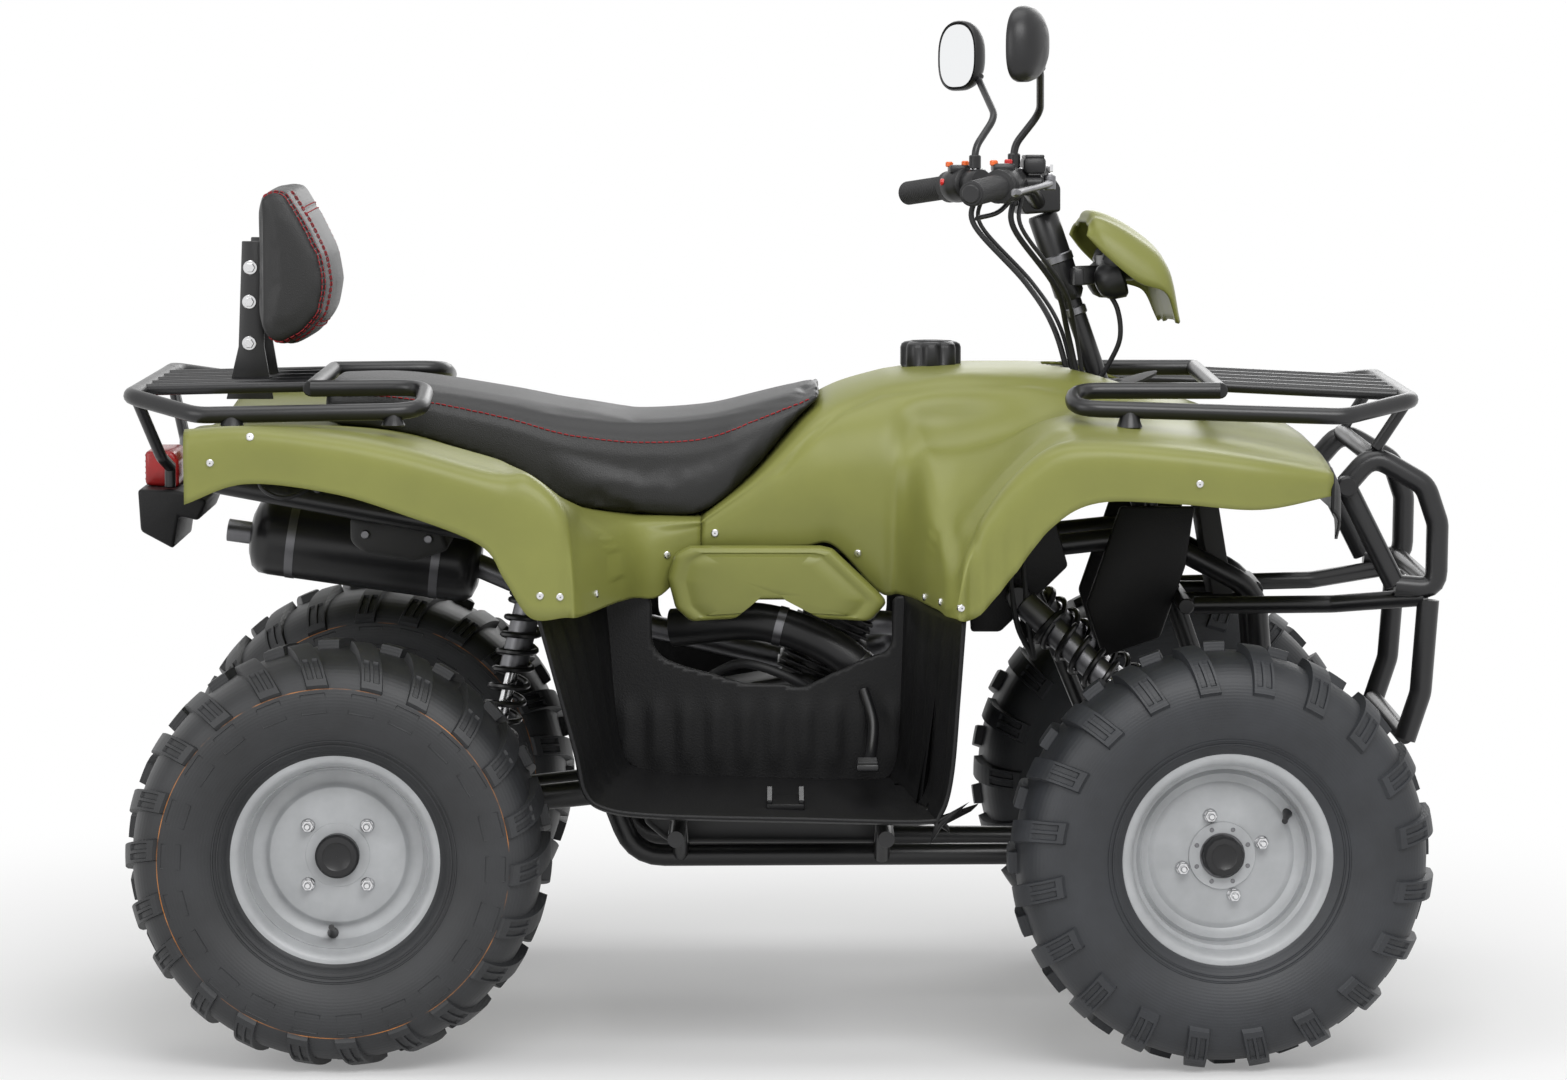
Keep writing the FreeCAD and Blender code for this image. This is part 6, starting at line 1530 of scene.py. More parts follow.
def build_rear_axle():
    stock = Stock("dark_steel")
    reach = REAR_HALF_TRACK + REAR_DISC_Y - DISC_BACK - SEAT_GAP
    profile = [(0.0002, -reach - 0.012), (0.03, -reach - 0.01), (0.03, -reach)]
    profile += [
        (0.0458, -reach + 0.001), (0.0458, -reach + 0.02), (0.03, -reach + 0.03), (0.028, -reach + 0.06),
        (0.0176, -reach + 0.061)]
    full = profile + [(r, -y) for r, y in profile[::-1]]
    stock.lathe(full, 40)
    clear = SWINGARM_HALF + 0.06
    disc = [
        (0.017, -clear - 0.0025), (0.05, -clear - 0.0025), (0.052, -clear - 0.0018),
        (0.104, -clear - 0.0018), (0.105, -clear - 0.001), (0.105, -clear + 0.003),
        (0.052, -clear + 0.0034), (0.05, -clear + 0.005), (0.017, -clear + 0.005)]
    stock.lathe(disc, 72, closed=True, look_name="steel")
    teeth = 38
    rows = []
    for y in (clear - 0.0065, clear - 0.0005):
        row = []
        for k in range(teeth * 6):
            angle = 2 * math.pi * k / (teeth * 6)
            reach_out = 0.0885 + 0.006 * (0.5 + 0.5 * math.cos(angle * teeth)) ** 0.7
            row.append(on_ring(reach_out, y, angle))
        rows.append(row)
    inner = [[Vector((p.x * 0.2, p.y, p.z * 0.2)) for p in row] for row in rows]
    stock.grid([inner[0], rows[0], rows[1], inner[1]], closed=True)
    stock.piece(
        "axle_shaft", "rear_wheels", ["rear_axle"], "hub_steel",
        Matrix.Translation((REAR_AXLE_X, 0, TYRE_RADIUS)))


def build_swingarm():
    stock = Stock("black_paint")
    pivot = at(-0.212, 0, 0.35)
    axle = Vector((REAR_AXLE_X, 0, TYRE_RADIUS))
    half = SWINGARM_HALF
    stock.lathe(
        [(0.0185, -half), (0.04, -half), (0.042, -half + 0.002), (0.042, half - 0.002), (0.04, half),
        (0.0185, half)], 40, closed=True, place=Matrix.Translation(axle))
    for side in (RIGHT, LEFT):
        y = side * half * 0.62
        stock.rod(Vector((pivot.x, y, pivot.z)), Vector((axle.x + 0.03, y, axle.z)), 0.018, 20)
        for k in range(4):
            angle = math.pi / 4 + k * math.pi / 2
            spot = axle + Vector((0.033 * math.cos(angle), side * half, 0.033 * math.sin(angle)))
            stock.nut(spot, (0, side, 0), 0.0052, 0.005, look_name="steel")
    stock.rod(Vector((pivot.x, -0.0838, pivot.z)), Vector((pivot.x, 0.0838, pivot.z)), 0.0195, 24)
    cross = (pivot + axle) / 2
    stock.rod(cross - AXIS_Y * (half * 0.62), cross + AXIS_Y * (half * 0.62), 0.0148, 20)
    stock.piece("rear_swing_arm", "chassis", ["swingarm"], "black_paint")


build_front_ends()
build_rear_axle()
build_swingarm()


# Footwells and side covers

FOOTWELL_OUTER = [
    (-0.297, 0.666), (-0.283, 0.6), (-0.255, 0.47), (-0.243, 0.405), (-0.215, 0.374), (-0.147, 0.362),
    (0.011, 0.357), (0.158, 0.354), (0.181, 0.372), (0.195, 0.43), (0.203, 0.547), (0.209, 0.666)]
FOOTWELL_INNER = [
    (-0.225, 0.666), (-0.22, 0.6), (-0.212, 0.48), (-0.2, 0.415), (-0.18, 0.395), (-0.13, 0.385),
    (0.011, 0.378), (0.11, 0.378), (0.128, 0.395), (0.136, 0.44), (0.14, 0.547), (0.143, 0.666)]
WINDOW = [
    (-0.164, 0.7), (-0.164, 0.598), (-0.147, 0.568), (-0.058, 0.534), (0.018, 0.528), (0.07, 0.56),
    (0.117, 0.582), (0.121, 0.7)]


def inside_outline(x, z, outline):
    hit = False
    for (x0, z0), (x1, z1) in zip(outline, outline[1:] + outline[:1]):
        if (z0 > z) != (z1 > z) and x < (x1 - x0) * (z - z0) / (z1 - z0) + x0:
            hit = not hit
    return hit


def build_footwell(side, side_name):
    """A moulded tray with fluted walls, a ribbed floor and a windowed inner wall."""
    outer = smoothed([Vector((x * WB, 0, z * DH)) for x, z in FOOTWELL_OUTER], 8)
    inner = smoothed([Vector((x * WB, 0, z * DH)) for x, z in FOOTWELL_INNER], 8)
    count = len(outer)
    rows = []
    depth_steps = 44
    for k in range(depth_steps + 1):
        v = k / depth_steps
        y = side * (0.5 - v * (0.3 - 0.006))
        row = []
        for index in range(count):
            point = outer[index].lerp(inner[index], v)
            before = outer[max(index - 1, 0)].lerp(inner[max(index - 1, 0)], v)
            after = outer[min(index + 1, count - 1)].lerp(inner[min(index + 1, count - 1)], v)
            run = (after - before).normalized()
            inward = Vector((-run.z, 0, run.x))
            u = index / (count - 1)
            wall_share = max(bell(u, 0.17, 0.13, 4), bell(u, 0.87, 0.1, 4))
            flute = 0.0055 * wall_share * (
                0.5 - 0.5 * math.cos(2 * math.pi * v * 5)) * bell(v, 0.48, 0.44, 6)
            floor_share = bell(u, 0.56, 0.13, 6)
            rib = 0.003 * floor_share * (
                0.5 + 0.5 * math.cos(2 * math.pi * point.x / 0.026)) ** 2 * bell(v, 0.5, 0.42, 8)
            lip = 0.007 * bell(v, 0.0, 0.035)
            moved = point + inward * (0.0055 + flute + rib + lip)
            row.append(Vector((moved.x, y, moved.z)))
        rows.append(row)
    stock = Stock("black_plastic")
    stock.grid(rows)
    tray = stock.piece(
        "foot_tray_" + side_name, "chassis", ["footwell_" + side_name], "black_plastic", sharp=50)
    outward(tray.data, lambda c: Vector((-0.02, c.y, 0.56)))
    solid_skin(tray, 0.0045)
    wall = Stock("black_plastic")
    x_low, x_high = -0.225, 0.143
    z_low, z_high = 0.376, 0.666
    columns, heights = 64, 52
    grid, keep = [], {}
    for i in range(columns + 1):
        for j in range(heights + 1):
            x = x_low + (x_high - x_low) * i / columns
            z = z_low + (z_high - z_low) * j / heights
            keep[i, j] = len(grid)
            flute = 0.004 * (0.5 - 0.5 * math.cos(2 * math.pi * x * WB / 0.04)) * bell(z, 0.455, 0.05, 4)
            grid.append(Vector((x * WB, side * (0.2062 + flute), z * DH)))
    faces = []
    for i in range(columns):
        for j in range(heights):
            x = x_low + (x_high - x_low) * (i + 0.5) / columns
            z = z_low + (z_high - z_low) * (j + 0.5) / heights
            if inside_outline(x, z, FOOTWELL_INNER) and (not inside_outline(x, z, WINDOW)):
                faces.append((keep[i, j], keep[i + 1, j], keep[i + 1, j + 1], keep[i, j + 1]))
    used = sorted({corner for face in faces for corner in face})
    order = {old: new for new, old in enumerate(used)}
    wall.add(([grid[old] for old in used], [tuple(order[c] for c in face) for face in faces]))
    thing = wall.piece("foot_wall_" + side_name, "chassis", (), "black_plastic", sharp=50)
    smooth_edges(thing, 6)
    outward(thing.data, lambda c: Vector((c.x, 0, c.z)))
    solid_skin(thing, 0.005)


def smooth_edges(thing, rounds):
    """Straightens the stepped border of a cut grid."""
    shell = bmesh.new()
    shell.from_mesh(thing.data)
    border = [v for v in shell.verts if any(len(e.link_faces) == 1 for e in v.link_edges)]
    for _ in range(rounds):
        moved = {}
        for v in border:
            near = [e.other_vert(v) for e in v.link_edges if len(e.link_faces) == 1]
            if len(near) == 2:
                moved[v] = v.co * 0.5 + (near[0].co + near[1].co) * 0.25
        for v, place in moved.items():
            v.co = place
    shell.to_mesh(thing.data)
    shell.free()
    thing.data.update()


SIDE_COVER = [
    (-0.135, 0.728), (-0.117, 0.74), (0.036, 0.74), (0.05, 0.736), (0.106, 0.668), (0.114, 0.656),
    (0.095, 0.628), (0.036, 0.632), (0.012, 0.661), (-0.041, 0.661), (-0.064, 0.632), (-0.117, 0.628),
    (-0.134, 0.648), (-0.143, 0.693)]


def build_side_cover(side, side_name):
    outline = rounded([Vector((x * WB, 0, z * DH)) for x, z in SIDE_COVER + SIDE_COVER[:2]], 0.016, 4)[5:]
    shares = []
    for p in outline:
        if not shares or (
                Vector((shares[-1][0] * WB, 0, shares[-1][1] * DH))
                - Vector((p.x, 0, p.z))).length > 0.0012:
            shares.append((p.x / WB, p.z / DH))
    first = Vector((shares[0][0] * WB, shares[0][1] * DH))
    while (Vector((shares[-1][0] * WB, shares[-1][1] * DH)) - first).length < 0.0025:
        shares.pop()
    centre_x = sum(x for x, _ in shares) / len(shares)
    centre_z = sum(z for _, z in shares) / len(shares) + 0.004
    rows = []
    for scale, y in (
            (1.0, 0.199), (1.0, 0.214), (0.992, 0.221), (0.975, 0.2255), (0.94, 0.2275), (0.88, 0.2285),
            (0.845, 0.2262), (0.81, 0.2262), (0.775, 0.229), (0.6, 0.23), (0.35, 0.2302)):
        rows.append(
            [Vector(((centre_x + (x - centre_x) * scale) * WB, side * y,
            (centre_z + (z - centre_z) * scale) * DH)) for x, z in shares])
    stock = Stock("olive")
    stock.grid(rows, closed=True, capped=True)
    stock.piece(
        "engine_cover_" + side_name, "chassis", ["side_cover_" + side_name], "olive_plastic", sharp=45)


for side, side_name in SIDES:
    build_footwell(side, side_name)
    build_side_cover(side, side_name)


def build_foot_controls():
    stock = Stock("black_paint")
    for side in (RIGHT, LEFT):
        base = at(-0.005, side * 0.74, 0.378)
        stock.box(base, (0.05, 0.098, 0.009), 0.002, look_name="black_plastic")
        for x in (-0.021, 0.021):
            stock.box(
                base + Vector((x, 0, 0.0062)), (0.006, 0.096, 0.006), 0.0015, look_name="black_plastic")
            for k in range(7):
                y = -0.042 + 0.014 * k
                tooth = [
                    Vector((x - 0.003, y - 0.004, 0.008)), Vector((x - 0.003, y + 0.004, 0.008)),
                    Vector((x - 0.003, y, 0.0155))]
                stock.slab([base + p for p in tooth], (0.006, 0, 0), 0)
    pedal = [
        Vector((0.1, -0.215, 0.47)), Vector((0.112, -0.25, 0.43)), Vector((0.108, -0.3, 0.392)),
        Vector((0.104, -0.345, 0.386))]
    stock.tube(smoothed(pedal, 8), 0.0075, 14)
    stock.box((0.103, -0.36, 0.388), (0.03, 0.058, 0.01), 0.003)
    for k in range(5):
        stock.box((0.103, -0.382 + 0.011 * k, 0.394), (0.026, 0.004, 0.004), 0.001)
    stock.piece("pegs_and_pedal", "chassis", ["foot_controls"], "black_paint")


build_foot_controls()


# Engine, exhaust, tail and small covers

def build_engine():
    stock = Stock("engine")
    case = [
        (-0.175, 0.3), (-0.175, 0.43), (-0.12, 0.5), (0.02, 0.53), (0.1, 0.48), (0.13, 0.32),
        (0.12, 0.268), (-0.145, 0.268)]
    stock.side(case, -0.07, 0.07, 0.01, 3)
    cover = at(-0.05, 0, 0.4)
    for side in (RIGHT, LEFT):
        steps = [
            (0.06, 0.0785), (0.078, 0.0785), (0.08, 0.077), (0.092, 0.074), (0.099, 0.066), (0.103, 0.05),
            (0.1045, 0.03), (0.1048, 0.004)]
        stock.turned(cover, AXIS_Y * side, steps, 48)
        for k in range(9):
            angle = 2 * math.pi * k / 9
            spot = cover + Vector((0.0735 * math.cos(angle), side * 0.08, 0.0735 * math.sin(angle)))
            stock.nut(spot, (0, side, 0), 0.005, 0.006, look_name="dark_steel")
        small = [(0.066, 0.044), (0.086, 0.044), (0.091, 0.039), (0.093, 0.006)]
        stock.turned(at(0.065, 0, 0.375), AXIS_Y * side, small, 36)
    foot, head = at(0.02, 0, 0.5), at(0.075, 0, 0.66)
    axis = (head - foot).normalized()
    across = axis.cross(AXIS_Y)
    turn = Matrix((across, AXIS_Y, axis)).transposed().to_4x4()
    for k in range(11):
        spot = foot + axis * (0.02 + 0.0098 * k)
        wide = 0.104 if k < 8 else 0.096
        stock.box(spot, (wide, wide, 0.0035), 0.001, turn)
    stock.rod(foot, head - axis * 0.01, 0.042, 24)
    stock.box(head - axis * 0.022, (0.092, 0.092, 0.03), 0.006, turn)
    duct = [
        Vector((-0.16, -0.11, 0.545)), Vector((-0.04, -0.14, 0.556)), Vector((0.06, -0.148, 0.52)),
        Vector((0.115, -0.15, 0.462)), Vector((0.1, -0.13, 0.4))]
    stock.tube(smoothed(duct, 10), 0.026, 28, look_name="smooth_black")
    for share in (0.3, 0.62):
        path = smoothed(duct, 10)
        index = int(share * (len(path) - 1))
        stock.tube([path[index], path[index + 1]], 0.0275, 28, look_name="dark_steel")
    hose = [
        Vector((-0.12, -0.08, 0.47)), Vector((-0.06, -0.15, 0.5)), Vector((0.02, -0.155, 0.47)),
        Vector((0.06, -0.11, 0.42))]
    stock.tube(smoothed(hose, 8), 0.0065, 12, look_name="grip")
    stock.piece("engine_block", "chassis", ["engine"], "engine_metal")


def build_exhaust():
    stock = Stock("dark_steel")
    path = [
        (0.05, 0, 0.6), (0.13, 0.02, 0.6), (0.14, 0.29, 0.56), (0.02, 0.3, 0.52), (-0.25, 0.31, 0.6),
        (-0.4, 0.34, 0.68)]
    stock.add(bent_tube(route(path), 0.0168, 0.06, 18))
    front, back = at(-0.38, 0.34, 0.67), at(-0.66, 0.36, 0.72)
    axis = (back - front).normalized()
    length = (back - front).length
    rows = [
        (0.0, 0.03), (0.006, 0.046), (0.016, 0.0535), (0.03, 0.0548), (length - 0.03, 0.0548),
        (length - 0.016, 0.0535), (length - 0.006, 0.046), (length, 0.03)]
    stock.turned(front, axis, rows, 40, look_name="black_paint")
    for d in (0.06, length - 0.06):
        stock.tube([front + axis * (d - 0.006), front + axis * (d + 0.006)], 0.0556, 40)
    stock.turned(back, axis, [(-0.002, 0.0158), (0.0345, 0.016), (0.035, 0.015)], 24)
    stock.tube([back + axis * 0.034, back + axis * 0.0352], 0.0125, 24, look_name="smooth_black")
    stock.piece("silencer", "chassis", ["exhaust"], "black_paint")


AIRBOX = [
    (-0.523, 0.772), (-0.495, 0.766), (-0.417, 0.766), (-0.405, 0.721), (-0.447, 0.703), (-0.507, 0.716),
    (-0.523, 0.733)]
MUDGUARD = [
    (-0.772, 0.817), (-0.724, 0.815), (-0.69, 0.8), (-0.7, 0.769), (-0.724, 0.776), (-0.73, 0.726),
    (-0.769, 0.753)]
TAIL_LIGHT = [(-0.768, 0.87), (-0.735, 0.87), (-0.728, 0.855), (-0.728, 0.815), (-0.768, 0.818)]


def build_tail():
    box = Stock("boot")
    box.side(AIRBOX, -0.084, 0.084, 0.008, 3)
    box.side(
        [(-0.5, 0.776), (-0.435, 0.776), (-0.435, 0.764), (-0.5, 0.764)], -0.07, 0.07, 0.003,
        look_name="smooth_black")
    for y in (-0.0835, 0.0835):
        for x, z in ((-0.505, 0.745), (-0.43, 0.738)):
            spot = at(x, 0, z) + AXIS_Y * y
            box.rod(spot, spot + AXIS_Y * math.copysign(0.004, y), 0.006, 14, look_name="dark_steel")
    box.piece("intake_box", "chassis", ["airbox"], "black_plastic")
    guard = Stock("black_plastic")
    guard.side(MUDGUARD, -0.12, 0.12, 0.005, 3)
    guard.piece("tail_guard", "chassis", ["rear_mudguard"], "black_plastic")
    lamp = Stock("tail")
    lamp.side(TAIL_LIGHT, -0.0645, 0.0645, 0.005, 3)
    for k in range(5):
        z = 0.826 + 0.009 * k
        lamp.side(
            [(-0.7685, z), (-0.7685, z + 0.003), (-0.76, z + 0.003), (-0.76, z)], -0.06, 0.06, 0.0006, 1)
    lamp.piece("tail_lamp", "chassis", ["tail_light"], "tail_lens")


FUEL_CAP_PLACE = at(0.169, 0, 0.996)


def build_fuel_cap():
    """A black cap with eight finger lobes and a raised cross grip."""
    stock = Stock("smooth_black")
    base = FUEL_CAP_PLACE - AXIS_Z * 0.01
    rows = []
    for rise, radius, lobe in (
            (0.0, 0.036, 0.0), (0.008, 0.036, 0.0), (0.01, 0.0405, 0.2), (0.013, 0.0418, 1.0),
            (0.036, 0.0418, 1.0), (0.041, 0.04, 1.0), (0.0435, 0.036, 0.7), (0.0445, 0.03, 0.0),
            (0.0425, 0.028, 0.0), (0.0425, 0.002, 0.0)):
        row = []
        for k in range(128):
            angle = 2 * math.pi * k / 128
            cut = 0.0052 * lobe * (0.5 - 0.5 * math.cos(8 * angle)) ** 2.2
            reach = radius - cut
            row.append(base + Vector((reach * math.cos(angle), reach * math.sin(angle), rise)))
        rows.append(row)
    stock.grid(rows, closed=True, capped=True)
    stock.box(base + AXIS_Z * 0.0435, (0.05, 0.012, 0.004), 0.0015)
    stock.piece("tank_cap", "chassis", ["fuel_cap"], "black_plastic")


BRACKET = [(-0.65, 1.19), (-0.6245, 1.19), (-0.6245, 1.03), (-0.614, 0.95), (-0.67, 0.95), (-0.655, 1.03)]
BOLT_SHARES = ((-0.64, 1.15), (-0.6415, 1.098), (-0.642, 1.035))


def build_backrest_bracket():
    stock = Stock("steel")
    for side in (RIGHT, LEFT):
        outer = side * 0.0655
        low, high = sorted((outer, outer + side * 0.006))
        stock.side(BRACKET, low, high, 0.0012, 2, look_name="black_paint")
        for x, z in BOLT_SHARES:
            spot = at(x, 0, z) + AXIS_Y * (outer + side * 0.006)
            stock.rod(spot, spot + AXIS_Y * (side * 0.0025), 0.0098, 24)
            stock.nut(spot + AXIS_Y * (side * 0.0025), (0, side, 0), 0.0068, 0.005)
    stock.piece("backrest_carrier", "chassis", ["backrest_bracket"], "black_paint")


build_engine()
build_exhaust()
build_tail()
build_fuel_cap()
build_backrest_bracket()


def build_inner_shields():
    """Dark splash shields inside the front arches and the boots and hoses that hang there."""
    stock = Stock("black_plastic")
    shield = [(0.392, 0.79), (0.48, 0.79), (0.47, 0.7), (0.44, 0.59), (0.372, 0.56), (0.352, 0.64)]
    stock.both(side_slab(shield, 0.098, 0.112, 0.004, 2))
    stock.both(
        side_slab([(0.205, 0.8), (0.3, 0.84), (0.33, 0.7), (0.25, 0.6), (0.215, 0.6)], 0.105, 0.12, 0.004,
        2))
    radiator = [(0.48, 0.83), (0.505, 0.83), (0.53, 0.64), (0.505, 0.64)]
    stock.side(radiator, -0.085, 0.085, 0.003, 2, look_name="boot")
    for side in (RIGHT, LEFT):
        for shift in (0.0, 0.014):
            hose = [
                at(0.285, side * 0.22, 0.8), at(0.262 + shift, side * 0.28, 0.72),
                at(0.268 + shift, side * 0.3, 0.62), at(0.29, side * 0.24, 0.56)]
            stock.tube(smoothed(hose, 8), 0.004, 10, look_name="grip")
    loop = [
        at(-0.614, -0.62, 0.862), at(-0.608, -0.66, 0.838), at(-0.585, -0.68, 0.825),
        at(-0.56, -0.66, 0.834), at(-0.545, -0.6, 0.856)]
    stock.tube(smoothed(loop, 10), 0.0032, 12, look_name="grip")
    stock.box(at(-0.5, -0.5, 0.832), (0.022, 0.03, 0.012), 0.003, look_name="orange")
    gaiter = on_column(0.955 * DH)
    rows = [
        (0.0, 0.078), (0.004, 0.08), (0.006, 0.06), (0.01, 0.052), (0.006, 0.046), (0.011, 0.04),
        (0.006, 0.034), (0.012, 0.028), (0.009, 0.024), (0.004, 0.024)]
    stock.turned(gaiter, column_axis, rows, 40, capped=False, look_name="boot")
    stock.piece("inner_shields", "chassis", (), "black_plastic")


build_inner_shields()


# Soft pieces: the saddle and the backrest, inflated as cloth over their foam

def inflate(thing, pressure, cap, frames=20):
    """Puffs a closed mesh up a little as sewn cloth, each point moving no further than the cap."""
    start = [v.co.copy() for v in thing.data.vertices]
    cloth = thing.modifiers.new("cloth", "CLOTH")
    settings = cloth.settings
    settings.quality = 5
    settings.mass = 0.4
    settings.tension_stiffness = 60
    settings.compression_stiffness = 60
    settings.shear_stiffness = 30
    settings.bending_stiffness = 4
    settings.use_pressure = True
    settings.uniform_pressure_force = pressure
    settings.effector_weights.gravity = 0
    cloth.point_cache.frame_start = 1
    cloth.point_cache.frame_end = frames
    scene = bpy.context.scene
    for number in range(1, frames + 1):
        scene.frame_set(number)
    graph = bpy.context.evaluated_depsgraph_get()
    made = thing.evaluated_get(graph).to_mesh()
    ends = [v.co.copy() for v in made.vertices]
    thing.evaluated_get(graph).to_mesh_clear()
    thing.modifiers.clear()
    scene.frame_set(1)
    for vertex, before, after in zip(thing.data.vertices, start, ends):
        step = after - before
        if step.length > cap:
            step *= cap / step.length
        vertex.co = before + step
    thing.data.update()


def remesh(thing, voxel, rounds):
    """An even, softly rounded mesh of the same form."""
    modifier = thing.modifiers.new("even", "REMESH")
    modifier.mode = "VOXEL"
    modifier.voxel_size = voxel
    soften = thing.modifiers.new("soften", "SMOOTH")
    soften.iterations = rounds
    soften.factor = 0.5
    apply_modifiers(thing)


def crease(thing, lines, reach, depth):
    """Presses seams into a cushion along lines of points."""
    tree = kd_tree([p for line in lines for p in line])
    for vertex in thing.data.vertices:
        _, _, distance = tree.find(vertex.co)
        if distance < reach:
            vertex.co -= vertex.normal * (depth * (1 - distance / reach) ** 2)
    thing.data.update()


def kd_tree(points):
    tree = KDTree(len(points))
    for index, point in enumerate(points):
        tree.insert(point, index)
    tree.balance()
    return tree


def surface_finder(thing):
    mesh = thing.data
    return BVHTree.FromPolygons([v.co for v in mesh.vertices], [tuple(p.vertices) for p in mesh.polygons])


def evenly(path, step):
    """Points along a path at equal distances."""
    made = [path[0]]
    left = step
    for a, b in zip(path, path[1:]):
        length = (b - a).length
        while length > left:
            a = a + (b - a) * (left / length)
            length -= left
            made.append(a)
            left = step
        left -= length
    return made


def stitches(stock, finder, path, thread=0.0007, length=0.0055, step=0.0085):
    """Short red stitches that lie on a cushion along a path."""
    spots = []
    for point in evenly(path, step):
        found, normal, _, _ = finder.find_nearest(point)
        spots.append((found, normal))
    for (here, normal), (after, _) in zip(spots, spots[1:]):
        along = after - here
        if along.length < 1e-05:
            continue
        along.normalize()
        lift = normal * (thread * 0.7)
        a, b = here + lift, here + along * length + lift
        middle = (a + b) / 2 + normal * (thread * 0.8)
        stock.add(
            tube_form([a - normal * thread, a, middle, b, b - normal * thread], thread, 6), "thread")


SEAT_SHARES = [
    (-0.547, 0.916, 0.972), (-0.458, 0.904, 0.972), (-0.341, 0.858, 0.95), (-0.274, 0.808, 0.934),
    (-0.235, 0.791, 0.928), (-0.178, 0.783, 0.922), (-0.104, 0.784, 0.928), (-0.047, 0.844, 0.942),
    (0.012, 0.93, 0.958), (0.035, 0.956, 0.972)]
SEAT_HALF = 0.17


def seat_rows(inset=0.0):
    stations = smoothed([Vector((x, low, high)) for x, low, high in SEAT_SHARES], 6)
    rows = []
    for p in stations:
        ahead = min(1.0, max(0.0, (0.035 - p.x) / 0.1))
        half = (SEAT_HALF - inset) * (0.74 + 0.26 * ahead ** 0.6)
        low, high = p.y * DH + 0.001 + inset, p.z * DH - inset
        rise = high - low
        flank = [(1.0, 0.0), (1.01, 0.3), (1.0, 0.66), (0.955, 0.88), (0.86, 1.0)]
        right = [Vector((p.x * WB, -half * y, low + rise * z)) for y, z in flank]
        dip = 0.005 * bell(p.x, -0.13, 0.1, 4)
        top = []
        for y in (0.62, 0.4, 0.2):
            top.append(Vector((p.x * WB, -half * y, high + 0.009 * math.sqrt(1 - (y / 0.9) ** 2) - dip)))
        middle = [Vector((p.x * WB, 0, high + 0.009 - dip))]
        left = [Vector((q.x, -q.y, q.z)) for q in (right + top)[::-1]]
        rows.append(right + top + middle + left)
    return rows


def build_seat():
    rows = seat_rows(0.002)
    stock = Stock("vinyl")
    stock.grid(rows, closed=True, capped=True)
    seat = stock.piece("saddle", "chassis", ["seat"], "seat_vinyl", sharp=0)
    remesh(seat, 0.006, 4)
    inflate(seat, 4.0, 0.003)
    edge = {side: [] for side in (RIGHT, LEFT)}
    for row in seat_rows():
        edge[RIGHT].append(row[2].lerp(row[3], 0.4))
        edge[LEFT].append(row[-3].lerp(row[-4], 0.4))
    seams = [evenly(smoothed(line, 2), 0.004) for line in edge.values()]
    crease(seat, seams, 0.008, 0.0022)
    for polygon in seat.data.polygons:
        polygon.use_smooth = True
    finder = surface_finder(seat)
    thread = Stock()
    for line in seams:
        stitches(thread, finder, [point + AXIS_Z * 0.0055 for point in line[6:-4]], 0.0009)
    thread.piece("saddle_stitching", "chassis", (), "seat_vinyl", sharp=0)


BACKREST = [
    (-0.624, 1.264), (-0.612, 1.274), (-0.585, 1.271), (-0.564, 1.227), (-0.543, 1.173), (-0.537, 1.128),
    (-0.544, 1.081), (-0.565, 1.051), (-0.593, 1.032), (-0.618, 1.043), (-0.624, 1.06)]


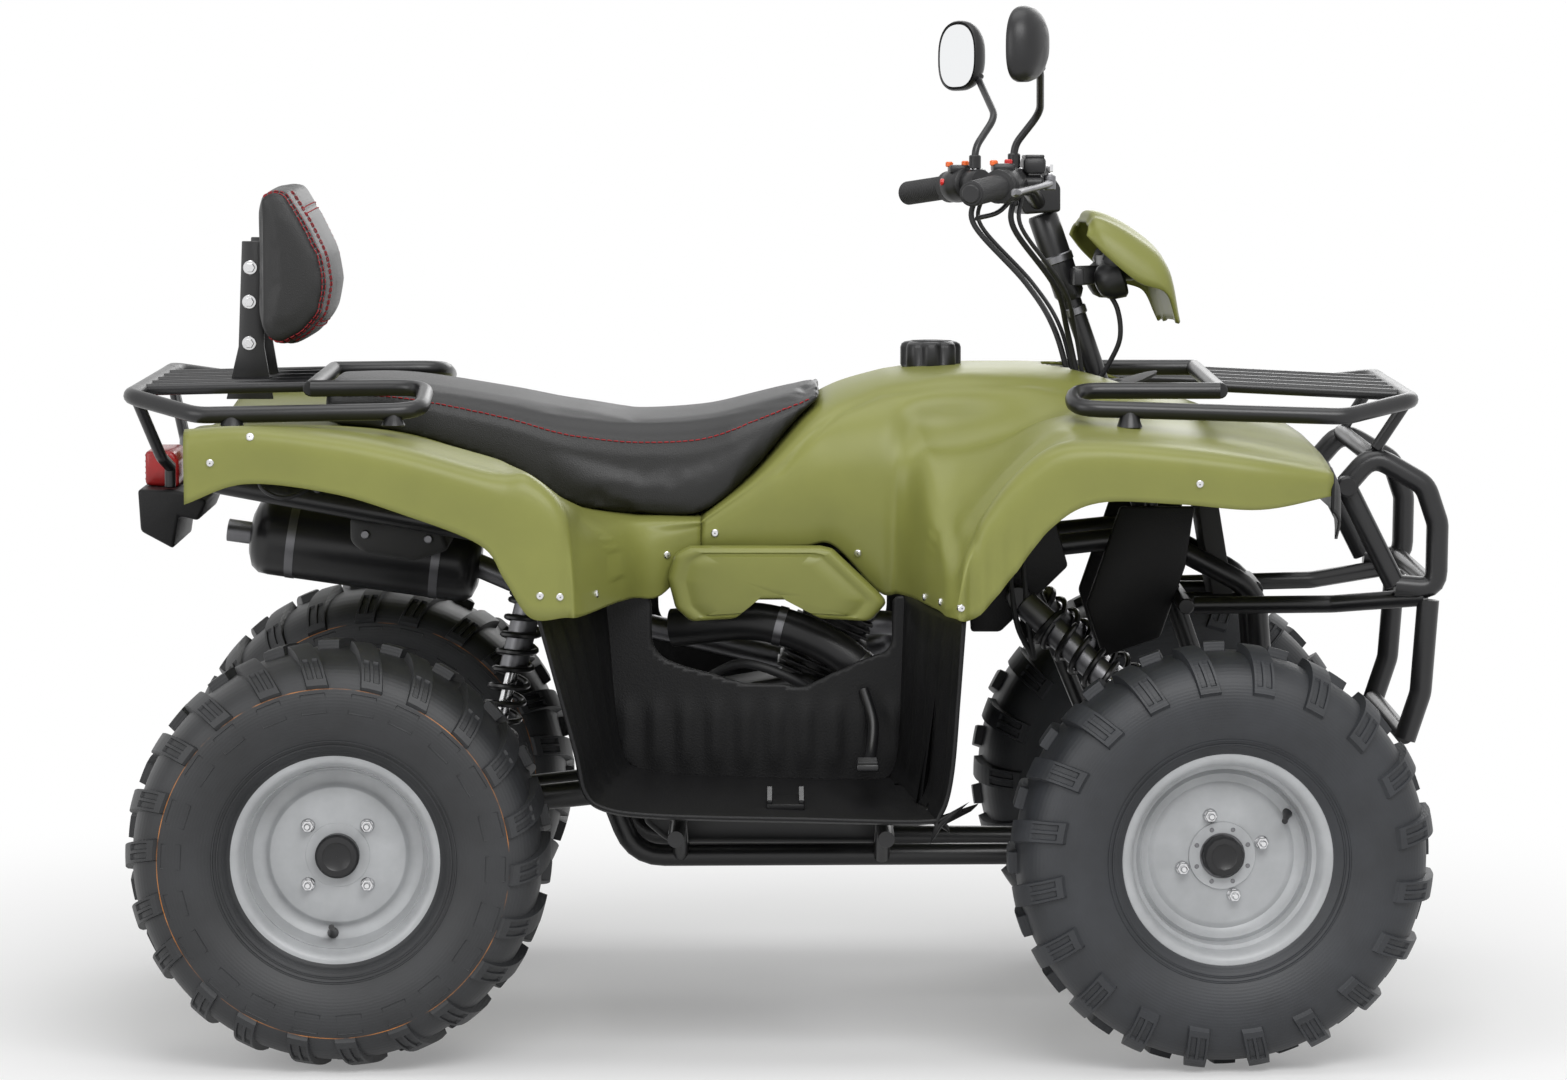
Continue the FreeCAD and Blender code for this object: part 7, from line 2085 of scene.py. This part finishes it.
def build_backrest():
    half = 0.143
    centre_x, centre_z = -0.59, 1.15
    stations = []
    for k in range(21):
        angle = math.pi * (k / 20 - 0.5)
        y = half * math.sin(angle)
        stations.append(
            (y, max(math.cos(angle), 0.0) ** 0.28 if abs(angle) < math.pi / 2 - 1e-06 else 0.0))
    rows = []
    for y, share in stations:
        scale = 0.86 + 0.14 * share
        pull = 0.012 * (abs(y) / half) ** 2
        row = []
        for x, z in BACKREST:
            row.append(
                Vector(((centre_x + (x - centre_x) * scale) * WB - pull * (x > -0.6), y,
                (centre_z + (z - centre_z) * scale) * DH)))
        rows.append(row)
    stock = Stock("vinyl")
    stock.grid(rows, closed=True, capped=True)
    pad = stock.piece("backrest_cushion", "chassis", ["backrest_pad"], "seat_vinyl", sharp=0)
    remesh(pad, 0.005, 5)
    inflate(pad, 4.0, 0.003)
    finder = surface_finder(pad)
    lines = []
    front = BACKREST[2:9]
    for y in (-0.102, 0.102):
        lines.append(evenly(smoothed([Vector((x * WB, y, z * DH)) for x, z in front], 8), 0.004))
    for x, z in ((-0.575, 1.235), (-0.56, 1.07)):
        lines.append([Vector((x * WB, -0.102 + 0.004 * k, z * DH)) for k in range(52)])
    rim_line = []
    for y in (-0.133, 0.133):
        rim_line.append(
            evenly(smoothed([Vector((x * WB - 0.02, y, z * DH)) for x, z in BACKREST[1:10]], 6), 0.004))
    on_surface = []
    for line in lines + rim_line:
        on_surface.append([finder.find_nearest(p)[0] for p in line])
    crease(pad, on_surface, 0.009, 0.003)
    for polygon in pad.data.polygons:
        polygon.use_smooth = True
    finder = surface_finder(pad)
    thread = Stock()
    for line in on_surface:
        for shift in (-0.005, 0.005):
            if abs(line[0].y - line[-1].y) > 0.1:
                moved = [p + AXIS_Z * shift for p in line]
            else:
                moved = [p + AXIS_Y * shift for p in line]
            stitches(thread, finder, moved)
    thread.piece("backrest_stitching", "chassis", (), "seat_vinyl", sharp=0)


build_seat()
build_backrest()


# Screws on the bodywork, placed by where the photograph shows them

SCREW_PIXELS = [
    (540, 596), (560, 597), (596, 594), (667, 555), (715, 533), (858, 553), (925, 597), (941, 602),
    (961, 608), (1200, 484), (210, 463), (250, 437)]


def pixel_ray(px, py):
    direction = Vector(
        ((px - PHOTO_WIDTH / 2) / FOCAL_PIXELS, -(py - PHOTO_HEIGHT / 2) / FOCAL_PIXELS, -1)).normalized()
    turn = Matrix.Rotation(CAMERA_PITCH, 3, "X")
    return (Vector(CAMERA_PLACE), turn @ direction)


def build_screws():
    targets = [
        bpy.data.objects[name] for name in ("front_moulding", "rear_moulding", "engine_cover_right",
        "foot_tray_right")]
    finders = [surface_finder(thing) for thing in targets]
    stock = Stock("steel")
    for px, py in SCREW_PIXELS:
        origin, heading = pixel_ray(px, py)
        best = None
        for finder in finders:
            found, normal, _, distance = finder.ray_cast(origin, heading)
            if found and (best is None or distance < best[2]):
                best = (found, normal if normal.dot(heading) < 0 else -normal, distance)
        if not best:
            continue
        spot, normal, _ = best
        head = tube_form(
            [spot - normal * 0.002, spot + normal * 0.0016, spot + normal * 0.003,
            spot + normal * 0.0032], 0.006, 18, radii=[0.0052, 0.0052, 0.004, 0.001])
        stock.both(head)
        stock.both(tube_form([spot + normal * 0.0026, spot + normal * 0.0034], 0.0012, 6), "dark_steel")
    stock.piece("panel_screws", "chassis", (), "damper_steel")


build_screws()
